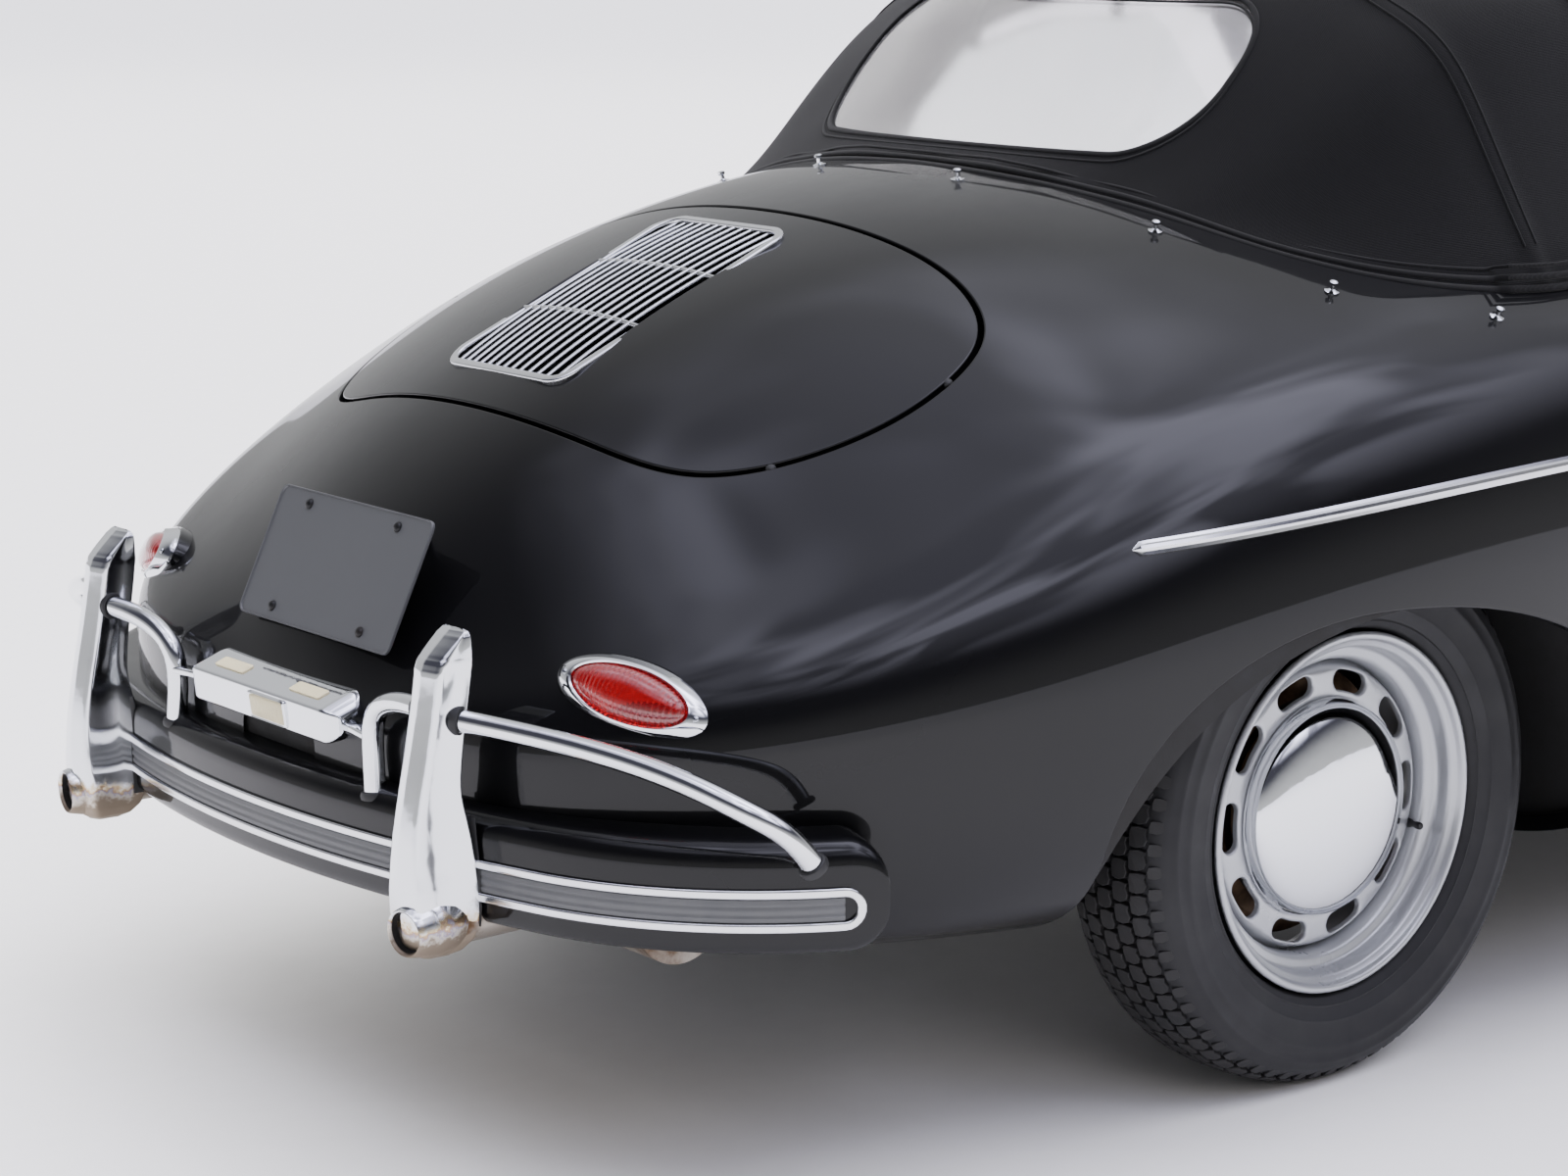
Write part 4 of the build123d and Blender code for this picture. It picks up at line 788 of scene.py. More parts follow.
# ------------------------------------------------------------------------------------------------ trimmed surfaces
class Patch:
    """A piece of a surface given by a formula, cut to shape by fields and finished with rolled edges.

    The surface is meshed as triangles over its two parameters. A cut keeps the side where a field is
    positive: a triangle that the field's zero line crosses is split there, and the new corner is put
    back on the surface by its own parameters, so a cut edge is as smooth as the formula.
    """

    def __init__(self, surface: Surface, u: Array, v: Array, flip: bool = False) -> None:
        """Meshes the surface.

        Args:
            surface: takes arrays of u and v, and returns N by 3 points.
            u: the first parameter's samples.
            v: the second parameter's samples.
            flip: whether the outside is along du x dv instead of dv x du.
        """
        self.surface = surface
        self.sign = -1.0 if flip else 1.0
        uu, vv = np.meshgrid(u, v, indexing="ij")
        self.params = np.stack([uu.ravel(), vv.ravel()], 1)
        quads = grid_faces(len(u), len(v))
        if not flip:
            quads = quads[:, ::-1]
        self.triangles = np.concatenate([quads[:, [0, 1, 2]], quads[:, [0, 2, 3]]])

    def points(self) -> Array:
        """Returns the corners' places."""
        return self.surface(self.params[:, 0], self.params[:, 1])

    def normals(self, step: float = 1e-4) -> Array:
        """Returns the unit normals, from the surface's slopes along both parameters."""
        u, v = self.params.T
        along_u = self.surface(u + step, v) - self.surface(u - step, v)
        along_v = self.surface(u, v + step) - self.surface(u, v - step)
        return self.sign * unit(np.cross(along_v, along_u))

    def cut(self, keep: Field) -> "Patch":
        """Keeps what lies where the field is positive.

        Args:
            keep: takes N by 3 points and returns N values.

        Returns:
            The same patch, cut.
        """
        value = keep(self.points())
        inside = value[self.triangles] > 0
        count = inside.sum(1)
        whole = self.triangles[count == 3]
        one = self._odd_first(self.triangles[count == 1], inside[count == 1])
        two = self._odd_first(self.triangles[count == 2], ~inside[count == 2])
        pairs = np.concatenate([one[:, [0, 1]], one[:, [0, 2]], two[:, [0, 1]], two[:, [0, 2]]])
        pairs.sort(axis=1)
        edges, place = np.unique(pairs, axis=0, return_inverse=True)
        place = place.ravel() + len(self.params)
        a, b = edges.T
        share = (value[a] / (value[a] - value[b]))[:, None]
        fresh = self.params[a] + share * (self.params[b] - self.params[a])
        n1, n2 = len(one), len(two)
        ab1, ac1 = place[:n1], place[n1:2 * n1]
        ab2, ac2 = place[2 * n1:2 * n1 + n2], place[2 * n1 + n2:]
        self.params = np.concatenate([self.params, fresh])
        self.triangles = np.concatenate([
            whole,
            np.stack([one[:, 0], ab1, ac1], 1),
            np.stack([ab2, two[:, 1], two[:, 2]], 1),
            np.stack([ab2, two[:, 2], ac2], 1),
        ])
        used, back = np.unique(self.triangles, return_inverse=True)
        self.params = self.params[used]
        self.triangles = back.reshape(-1, 3)
        return self

    @staticmethod
    def _odd_first(triangles: Array, odd: Array) -> Array:
        """Turns each triangle so that its one corner of the other kind comes first."""
        start = odd.argmax(1)[:, None]
        return np.take_along_axis(triangles, (start + np.arange(3)) % 3, axis=1)

    def border(self) -> Array:
        """Returns the edges that have one triangle, in that triangle's direction."""
        edges = np.concatenate([self.triangles[:, [0, 1]], self.triangles[:, [1, 2]], self.triangles[:, [2, 0]]])
        key = np.sort(edges, axis=1)
        _, back, times = np.unique(key, axis=0, return_inverse=True, return_counts=True)
        return edges[times[back.ravel()] == 1]

    def panel(self, lift: float, rolled: list[Field], radius: float = 0.002, depth: float = 0.018,
              reach: float = 0.0006) -> tuple[Array, Array, list[Array]]:
        """Lifts the patch off its surface and rolls its cut edges over.

        From an edge point P with normal n and outward direction b, the roll is
        P + r sin a b - r (1 - cos a) n for a from 0 to 90 degrees, and then a flange down along -n.

        Args:
            lift: distance along the normal.
            rolled: the fields whose cut edges are rolled.
            radius: the roll's radius.
            depth: the flange's depth.
            reach: how near a field's zero an edge counts as cut by it.

        Returns:
            Points, normals and faces.
        """
        base = self.points()
        normal = self.normals()
        points = base + lift * normal
        edges = self.border()
        spots = np.unique(edges)
        edge_points, n = base[spots], normal[spots]
        slope = np.zeros_like(edge_points)
        near = np.zeros(len(spots), bool)
        for keep in rolled:
            value = np.abs(keep(edge_points))
            steps = 0.0002 * np.eye(3)
            gradient = np.stack([keep(edge_points + s) - keep(edge_points - s) for s in steps], 1)
            slope += unit(gradient) * np.exp(-value / 0.0005)[:, None]
            near |= value < reach
        outward = -unit(slope - (slope * n).sum(1, keepdims=True) * n)
        rings, ring_normals = [], []
        for angle in np.radians([30, 60, 90]):
            rings.append(points[spots] + radius * math.sin(angle) * outward - radius * (1 - math.cos(angle)) * n)
            ring_normals.append(math.cos(angle) * n + math.sin(angle) * outward)
        rings.append(rings[-1] - depth * n)
        ring_normals.append(outward)
        number = np.full(len(points), -1)
        number[spots] = np.arange(len(spots))
        local = number[edges]
        local = local[near[local].all(1)]
        starts = len(points) + len(spots) * np.arange(len(rings))
        quads = [np.stack([spots[local[:, 1]], spots[local[:, 0]], starts[0] + local[:, 0],
                           starts[0] + local[:, 1]], 1)]
        quads += [np.stack([lo + local[:, 1], lo + local[:, 0], hi + local[:, 0], hi + local[:, 1]], 1)
                  for lo, hi in zip(starts, starts[1:])]
        every = np.concatenate([points, *rings])
        every_normal = unit(np.concatenate([normal, *ring_normals]))
        faces = np.concatenate(quads)
        used, back = np.unique(np.concatenate([self.triangles.ravel(), faces.ravel()]), return_inverse=True)
        count = self.triangles.size
        return every[used], every_normal[used], [back[:count].reshape(-1, 3), back[count:].reshape(-1, 4)]


def outside_box(x: tuple[float, float], y: tuple[float, float], z: tuple[float, float]) -> Field:
    """A field that is the distance outside a pair of boxes, one on each side of the car.

    Args:
        x: limits along the car.
        y: limits away from the middle, taken on both sides.
        z: limits of height.

    Returns:
        Positive outside, negative inside.
    """
    low, high = np.array([x[0], y[0], z[0]]), np.array([x[1], y[1], z[1]])

    def distance(p: Array) -> Array:
        q = np.stack([p[:, 0], np.abs(p[:, 1]), p[:, 2]], 1)
        gap = np.maximum(low - q, q - high)
        return np.linalg.norm(np.maximum(gap, 0), axis=1) + np.minimum(gap.max(1), 0)

    return distance


def outside_arch(x: float, z: float, back: float, ahead: float, height: float, inner_y: float) -> Field:
    """A field outside a wheel arch: two quarter ellipses over straight sides, beyond inner_y."""

    def distance(p: Array) -> Array:
        dx = p[:, 0] - x
        half = np.where(dx < 0, back, ahead)
        rise = np.maximum(p[:, 2] - z, 0)
        scale = np.hypot(dx / half, rise / height)
        gap = (scale - 1) * np.where(rise > 0, np.minimum(half, height) + 0 * half, half)
        return np.maximum(gap, inner_y - np.abs(p[:, 1]))

    return distance


def outline_field(origin: Array, run: Array, across: Array, outline: Array, inside: bool) -> Field:
    """The signed distance to a closed outline drawn on a plane and carried square to it.

    Args:
        origin: the plane's origin.
        run: its first axis.
        across: its second axis.
        outline: K by 2 points on the plane.
        inside: whether the field is positive inside.

    Returns:
        The field.
    """
    a, b = outline, np.roll(outline, -1, axis=0)
    d = b - a
    length = (d**2).sum(1) + 1e-18
    sign = 1.0 if inside else -1.0

    def distance(p: Array) -> Array:
        q = np.stack([(p - origin) @ run, (p - origin) @ across], 1)
        best = np.empty(len(q))
        odd = np.empty(len(q), bool)
        for lo in range(0, len(q), 20000):
            some = q[lo:lo + 20000, None]
            t = np.clip(((some - a) * d).sum(2) / length, 0, 1)
            best[lo:lo + 20000] = np.sqrt(((some - a - t[..., None] * d)**2).sum(2).min(1))
            y = some[..., 1]
            crosses = (a[:, 1] > y) != (b[:, 1] > y)
            where = a[:, 0] + (y - a[:, 1]) * d[:, 0] / np.where(np.abs(d[:, 1]) < 1e-12, 1e-12, d[:, 1])
            odd[lo:lo + 20000] = (crosses & (some[..., 0] < where)).sum(1) % 2 == 1
        return sign * np.where(odd, best, -best)

    return distance


def shifted(keep: Field, amount: float) -> Field:
    """The field with its zero line moved outwards by `amount`, so that more is kept."""
    return lambda p: keep(p) + amount


def all_of(*fields: Field) -> Field:
    """Positive where every field is."""
    return lambda p: np.min([f(p) for f in fields], axis=0)


def any_of(*fields: Field) -> Field:
    """Positive where one field or more is."""
    return lambda p: np.max([f(p) for f in fields], axis=0)


def beyond(axis: int, value: float, ahead: bool = True) -> Field:
    """Positive past a plane square to an axis; with ahead false, before it."""
    sign = 1.0 if ahead else -1.0
    return lambda p: sign * (p[:, axis] - value)


# ------------------------------------------------------------------------------------------------ the hull's form
HULL_ROWS_MM = (
    (1890, 450, 20, 445, 30, 440, 30, 420, 20, 410),
    (1890, 545, 120, 548, 230, 540, 310, 440, 180, 310),
    (1850, 650, 240, 640, 440, 685, 560, 460, 400, 240),
    (1700, 765, 330, 730, 565, 822, 735, 480, 590, 205),
    (1470, 845, 400, 800, 625, 875, 825, 490, 695, 195),
    (1180, 905, 440, 865, 660, 885, 850, 490, 735, 195),
    (820, 955, 460, 925, 680, 890, 845, 490, 750, 195),
    (420, 985, 460, 960, 690, 885, 840, 490, 760, 195),
    (0, 995, 460, 970, 695, 880, 845, 490, 765, 195),
    (-420, 1005, 460, 970, 700, 878, 848, 490, 765, 200),
    (-800, 1020, 450, 957, 700, 868, 842, 490, 750, 205),
    (-1130, 985, 430, 905, 660, 820, 810, 490, 705, 215),
    (-1420, 885, 385, 810, 580, 715, 750, 480, 650, 225),
    (-1660, 755, 300, 680, 460, 605, 620, 460, 558, 240),
    (-1820, 572, 200, 545, 325, 522, 430, 440, 380, 275),
    (-1862, 475, 100, 475, 160, 485, 200, 430, 160, 350),
    (-1862, 435, 20, 435, 30, 430, 30, 420, 20, 415),
)


@dataclass(frozen=True)
class HullForm:
    """The outer form that every painted panel is cut from.

    A net of control points: each row is a cross-section with its crown, valley, wing crown, widest point
    and lower edge, and the surface is a cubic B-spline both along the car and round the section. The
    parameter u runs 0 to 1 from nose to tail, and t from 0 at the crown to 11 at the floor's middle,
    positive on the left side and negative on the right.
    """

    @property
    def net(self) -> Array:
        """The control points, rows by 22 by 3, in metres."""
        return hull_net()

    def __call__(self, u: Array, t: Array) -> Array:
        """Returns the surface's points at arrays of u and t."""
        net = self.net
        rows = clamped_weights(len(net), u) @ net.reshape(len(net), -1)
        around = looped_weights(net.shape[1], np.mod(t, net.shape[1]))
        return np.einsum("nj,njk->nk", around, rows.reshape(len(u), -1, 3))

    def at_x(self, x: float) -> float:
        """Returns the u at which the section stands at x, by bisection, since x falls all the way."""
        low, high = 0.0, 1.0
        for _ in range(40):
            middle = (low + high) / 2
            if self(np.array([middle]), np.array([0.0]))[0, 0] > x:
                low = middle
            else:
                high = middle
        return (low + high) / 2

    def along(self, x: Array) -> Array:
        """Returns the u of each x, read from a table."""
        table = np.linspace(0, 1, 2000)
        falling = self(table, np.zeros(len(table)))[:, 0]
        return np.interp(-np.asarray(x, float), -falling, table)

    def normal(self, u: Array, t: Array) -> Array:
        """Returns the outward normals, from the surface's slopes along both parameters."""
        along_u = self(u + 1e-4, t) - self(u - 1e-4, t)
        along_t = self(u, t + 1e-4) - self(u, t - 1e-4)
        return unit(np.cross(along_t, along_u))

    def over(self, x: Array, y: Array) -> tuple[Array, Array]:
        """Finds the upper skin above points in plan.

        x gives u, because a section's x is the same all round; t then comes from y by Newton's rule.

        Args:
            x: places along the car.
            y: places across it, within the upper surface.

        Returns:
            The points and their outward normals.
        """
        u = self.along(x)
        t = np.asarray(y, float) / 0.22
        for _ in range(8):
            here = self(u, t)[:, 1]
            slope = (self(u, t + 1e-3)[:, 1] - self(u, t - 1e-3)[:, 1]) / 2e-3
            t = np.clip(t - (here - y) / np.where(np.abs(slope) < 0.02, 0.02, slope), -5.5, 5.5)
        return self(u, t), self.normal(u, t)

    def beside(self, x: Array, z: Array) -> tuple[Array, Array]:
        """Finds the left side's skin, and its normals, at given x and height by bisection in t."""
        u = self.along(x)
        low, high = np.full(len(u), 3.6), np.full(len(u), 7.6)
        for _ in range(40):
            middle = (low + high) / 2
            above = self(u, middle)[:, 2] > z
            low, high = np.where(above, middle, low), np.where(above, high, middle)
        t = (low + high) / 2
        return self(u, t), self.normal(u, t)


@lru_cache(maxsize=1)
def hull_net() -> Array:
    """Spreads each row of sizes into the 22 control points of its closed section."""
    rows = np.array(HULL_ROWS_MM, float) / 1000
    x, zc, yv, zv, yf, zf, w, zw, yb, zb = rows.T
    half = [
        (0 * x, zc),
        (0.5 * yv, zc - 0.22 * (zc - zv)),
        (yv, zv),
        (yf, zf),
        (0.35 * yf + 0.65 * w, zf - 0.20 * (zf - zw)),
        (w, zw + 0.50 * (zf - zw)),
        (1.01 * w, zw),
        (0.99 * w, zw - 0.42 * (zw - zb)),
        (0.35 * w + 0.65 * yb, zb + 0.16 * (zw - zb)),
        (0.8 * yb, zb),
        (0.4 * yb, zb),
        (0 * x, zb),
    ]
    left = np.stack([np.stack([x, y, z], 1) for y, z in half], 1)
    right = left[:, -2:0:-1] * np.array([1.0, -1.0, 1.0])
    return np.concatenate([left, right], 1)


HULL = HullForm()


@dataclass(frozen=True)
class LidPlan:
    """A lid's outline on the plane through its hinge, and that plane's place."""

    hinge_x: float
    hinge_z: float
    tilt: float
    forward: bool
    half_mm: tuple[tuple[float, float], ...]

    @property
    def run(self) -> Array:
        """The plane's first axis, square to the hinge."""
        angle = math.radians(self.tilt)
        return np.array([math.cos(angle), 0.0, -math.sin(angle) if self.forward else math.sin(angle)])

    @property
    def origin(self) -> Array:
        """A point on the hinge line."""
        return np.array([self.hinge_x, 0.0, self.hinge_z])

    def outline(self, grow: float = 0.0) -> Array:
        """Returns the closed outline, its corners moved out by `grow` before the curve is drawn."""
        half = np.array(self.half_mm) / 1000
        turn = 1.0 if half[-1, 0] > half[0, 0] else -1.0
        chord = unit(half[2:] - half[:-2])
        middle = half[1:-1] + turn * grow * np.stack([-chord[:, 1], chord[:, 0]], 1)
        ends = np.array([[half[0, 0] - turn * grow, 0.0], [half[-1, 0] + turn * grow, 0.0]])
        side = interpolated(np.concatenate([ends[:1], middle, ends[1:]]), (0, 1), (0, -1))
        return np.concatenate([side, side[-2:0:-1] * [1, -1]])

    def field(self, inside: bool, grow: float = 0.0) -> Field:
        """Returns the field inside or outside the outline."""
        return outline_field(self.origin, self.run, LEFT, self.outline(grow), inside)


FRONT_LID = LidPlan(hinge_x=0.690, hinge_z=0.965, tilt=10.5, forward=True, half_mm=(
    (0, 0), (4, 170), (24, 310), (90, 408), (240, 444), (560, 402), (830, 312), (975, 175), (1015, 0)))
ENGINE_LID = LidPlan(hinge_x=-1.180, hinge_z=0.952, tilt=24.0, forward=False, half_mm=(
    (0, 0), (-3, 220), (-28, 355), (-85, 438), (-185, 468), (-330, 434), (-425, 350), (-456, 215), (-463, 0)))
LID_GAP = 0.008            # the shut line round a lid


@dataclass
class BodyShell:
    """The painted panels: nose, cowl, sills, rear wings, tail and doors, cut for wheels, lids and doors."""

    split_front: float = 0.515
    split_rear: float = -0.400
    step: float = 0.0085
    roll: float = 0.0022
    door_hinge: tuple[float, float] = (0.511, 0.862)
    door_reach: float = 0.929
    door_gap: float = 0.008
    sill_top: float = 0.302

    def arches(self) -> Field:
        """The field outside all four wheel arches and their mouths below."""
        return all_of(
            outside_arch(x=FRONT_AXLE_X, z=0.300, back=0.400, ahead=0.400, height=0.300, inner_y=0.600),
            outside_arch(x=-1.000, z=0.360, back=0.325, ahead=0.440, height=0.220, inner_y=0.600),
            outside_box((FRONT_AXLE_X - 0.370, FRONT_AXLE_X + 0.370), (0.405, 0.95), (0.0, 0.300)),
            outside_box((REAR_AXLE_X - 0.370, REAR_AXLE_X + 0.370), (0.500, 0.95), (0.0, 0.300)),
        )

    def door_sweep(self, grow: float) -> Field:
        """Distance inside the round that a door's rear edge sweeps about its hinge."""
        x, y = self.door_hinge

        def distance(p: Array) -> Array:
            return self.door_reach + grow - np.hypot(p[:, 0] - x, np.abs(p[:, 1]) - y)

        return distance

    def patch(self, x: tuple[float, float], turns: tuple[float, float]) -> Patch:
        """Meshes the hull between two x values and two turns round the section."""
        u0, u1 = HULL.at_x(x[1]), HULL.at_x(x[0])
        rows = max(int((x[1] - x[0]) / self.step), 8)
        columns = int((turns[1] - turns[0]) * 0.235 / self.step / 1.15)
        return Patch(HULL, np.linspace(u0, u1, rows), np.linspace(*turns, columns))

    def rear(self) -> Piece:
        """Builds the tail and both rear wings with their rounded arch lips."""
        lap = LAP + self.roll
        arches = shifted(self.arches(), lap - self.roll * 2)
        lid = shifted(ENGINE_LID.field(False, LID_GAP), LAP - self.roll)
        door = any_of(shifted(lambda p: -self.door_sweep(self.door_gap)(p), -self.roll),
                      lambda p: self.sill_top - p[:, 2] - self.roll)
        cabin = any_of(beyond(0, -0.500, ahead=False), lambda p: np.abs(p[:, 1]) - 0.668)
        foot = np.array([(-0.912, 0.0), (-0.897, 0.27), (-0.867, 0.40), (-0.820, 0.505), (-0.757, 0.565)])
        shelf = any_of(lambda p: np.interp(np.abs(p[:, 1]), foot[:, 1], foot[:, 0]) - p[:, 0],
                       outside_box((-2.0, 0.0), (-1.0, 0.560), (0.560, 1.2)))
        below = all_of(
            outside_box((-1.735, -1.030), (-1.0, 0.440), (0.0, 0.400)),
            outside_box((-1.040, -0.620), (-1.0, 0.501), (0.0, 0.520)),
        )
        patch = self.patch((-1.8615, self.split_rear), (-11, 11))
        for keep in (arches, lid, door, cabin, shelf, below):
            patch.cut(keep)
        points, normals, faces = patch.panel(PAINT_LIFT, [arches, lid, door, cabin, shelf], self.roll)
        return as_mesh("rear_wings_and_tail", points, faces, BLACK_ENAMEL, "chassis", "paint", normals)

    def front(self) -> Piece:
        """Builds the nose, front wings and cowl."""
        arches = shifted(self.arches(), LAP - self.roll)
        lid = shifted(FRONT_LID.field(False, LID_GAP), LAP - self.roll)
        region = any_of(beyond(0, self.split_front),
                        all_of(beyond(0, 0.355), beyond(2, 0.830), lambda p: 0.648 - np.abs(p[:, 1])))
        below = outside_box((1.060, 1.420), (-1.0, 0.406), (0.0, 0.460))
        lean = math.radians(14)
        aim = np.array([math.cos(lean), 0.0, math.sin(lean)])

        def bucket(p: Array) -> Array:
            q = np.stack([p[:, 0], np.abs(p[:, 1]), p[:, 2]], 1) - np.array([1.770, 0.600, 0.668])
            along = q @ aim
            across = np.linalg.norm(q - along[:, None] * aim, axis=1)
            return np.maximum(across - 0.104, -along - 0.06)

        patch = self.patch((0.355, 1.8845), (-11, 11))
        for keep in (arches, lid, region, below, bucket):
            patch.cut(keep)
        points, normals, faces = patch.panel(PAINT_LIFT, [arches, lid, region], self.roll)
        return as_mesh("nose_and_front_wings", points, faces, BLACK_ENAMEL, "chassis", "paint", normals)

    def sills(self) -> Piece:
        """Builds the sills and the floor pan's underside between the axles."""
        top = shifted(beyond(2, self.sill_top, ahead=False), -self.roll + LAP)

        def jack(p: Array) -> Array:
            return np.maximum(np.hypot(p[:, 0] - 0.060, p[:, 2] - 0.240) - 0.025, 0.715 - np.abs(p[:, 1]))

        patch = self.patch((self.split_rear, self.split_front), (5.5, 16.5))
        for keep in (top, jack):
            patch.cut(keep)
        points, normals, faces = patch.panel(PAINT_LIFT, [top, jack], self.roll)
        return as_mesh("sills", points, faces, BLACK_ENAMEL, "chassis", "paint", normals)

    def door(self, side: int) -> Piece:
        """Builds one door's outer skin.

        Args:
            side: 1 on the left, -1 on the right.
        """
        grow = LAP - self.roll
        keep = all_of(
            shifted(beyond(0, 0.507, ahead=False), grow),
            self.door_sweep(grow),
            shifted(beyond(2, self.sill_top + self.door_gap), grow),
            lambda p: np.abs(p[:, 1]) - 0.668 + 0.10 * np.clip(0.88 - p[:, 2], -0.06, 0.0),
        )
        turns = (2.2, 8.5) if side > 0 else (-8.5, -2.2)
        patch = self.patch((-0.46, 0.52), turns)
        patch.cut(keep)
        points, normals, faces = patch.panel(PAINT_LIFT, [keep], self.roll, depth=0.02)
        name = "left" if side > 0 else "right"
        return as_mesh(f"door_skin_{name}", points, faces, BLACK_ENAMEL, f"door_{name}", "paint", normals)

    def build(self) -> list[Piece]:
        """Builds every fixed panel and both doors."""
        return [self.rear(), self.front(), self.sills(), self.door(1), self.door(-1)]


def loft(rings: Array, cap_first: bool = True, cap_last: bool = True) -> Part:
    """Skins a stack of closed rings and closes its ends with fans.

    Args:
        rings: M by K by 3; each ring turns anticlockwise seen from beyond the last ring.
        cap_first: whether to close the first ring.
        cap_last: whether to close the last ring.

    Returns:
        Points and faces.
    """
    rings = np.asarray(rings, float)
    rows, columns = rings.shape[:2]
    points = [rings.reshape(-1, 3)]
    faces = [grid_faces(rows, columns, wrap_columns=True)[:, ::-1]]
    j = np.arange(columns)
    k = (j + 1) % columns
    count = rows * columns
    if cap_first:
        points.append(rings[:1].mean(1))
        faces.append(np.stack([np.full(columns, count), k, j], 1))
        count += 1
    if cap_last:
        points.append(rings[-1:].mean(1))
        end = (rows - 1) * columns
        faces.append(np.stack([np.full(columns, count), end + j, end + k], 1))
    return np.concatenate(points), faces


def oval_stack(centre: Array, out: Array, along: Array, rows: list[tuple[float, float, float]],
               count: int = 64, power: float = 2.0, cap_first: bool = True) -> Part:
    """Stacks ovals along an axis, the last one shrinking to a point if its sizes are zero.

    A point stands at centre + h out + a c along + b s across, where c and s are cosine and sine raised
    to 2 / power, which squares or sharpens the oval.

    Args:
        centre: the foot.
        out: the axis.
        along: the oval's long direction.
        rows: half-length, half-width and height of each oval.
        count: points round.
        power: 2 for an ellipse, less for pointed ends.
        cap_first: whether to close the foot.

    Returns:
        Points and faces.
    """
    out, along = unit(np.asarray(out, float)), unit(np.asarray(along, float))
    across = np.cross(out, along)
    c, s = superellipse(power, count)
    a, b, h = np.array(rows).T[..., None, None]
    rings = np.asarray(centre) + h * out + a * c[None, :, None] * along + b * s[None, :, None] * across
    points, faces = loft(rings, cap_first, True)
    return weld(points, faces)


def dome_head(place: Array, out: Array, radius: float, height: float) -> Part:
    """A small domed screw or rivet head, a quarter ellipse turned round its axis."""
    angle = np.linspace(0, math.pi / 2, 5)
    profile = np.stack([radius * np.cos(angle), height * np.sin(angle)], 1)
    profile = np.concatenate([[[radius, -height * 0.5]], profile])
    profile[-1, 0] = 0.0
    return lathe(profile, place, out, 14)


def smooth_path(corners: list[tuple[float, float, float]], count: int = 60) -> Array:
    """Samples a bent tube's centre line: a cubic B-spline whose control points include run thirds.

    Each straight run gets points at its thirds, so the line keeps to the runs and rounds the corners.
    """
    corners = np.array(corners, float)
    a, b = corners[:-1], corners[1:]
    inner = np.stack([a, a + (b - a) * 0.33, a + (b - a) * 0.67], 1).reshape(-1, 3)
    return b_spline(np.concatenate([inner, corners[-1:]]), count)


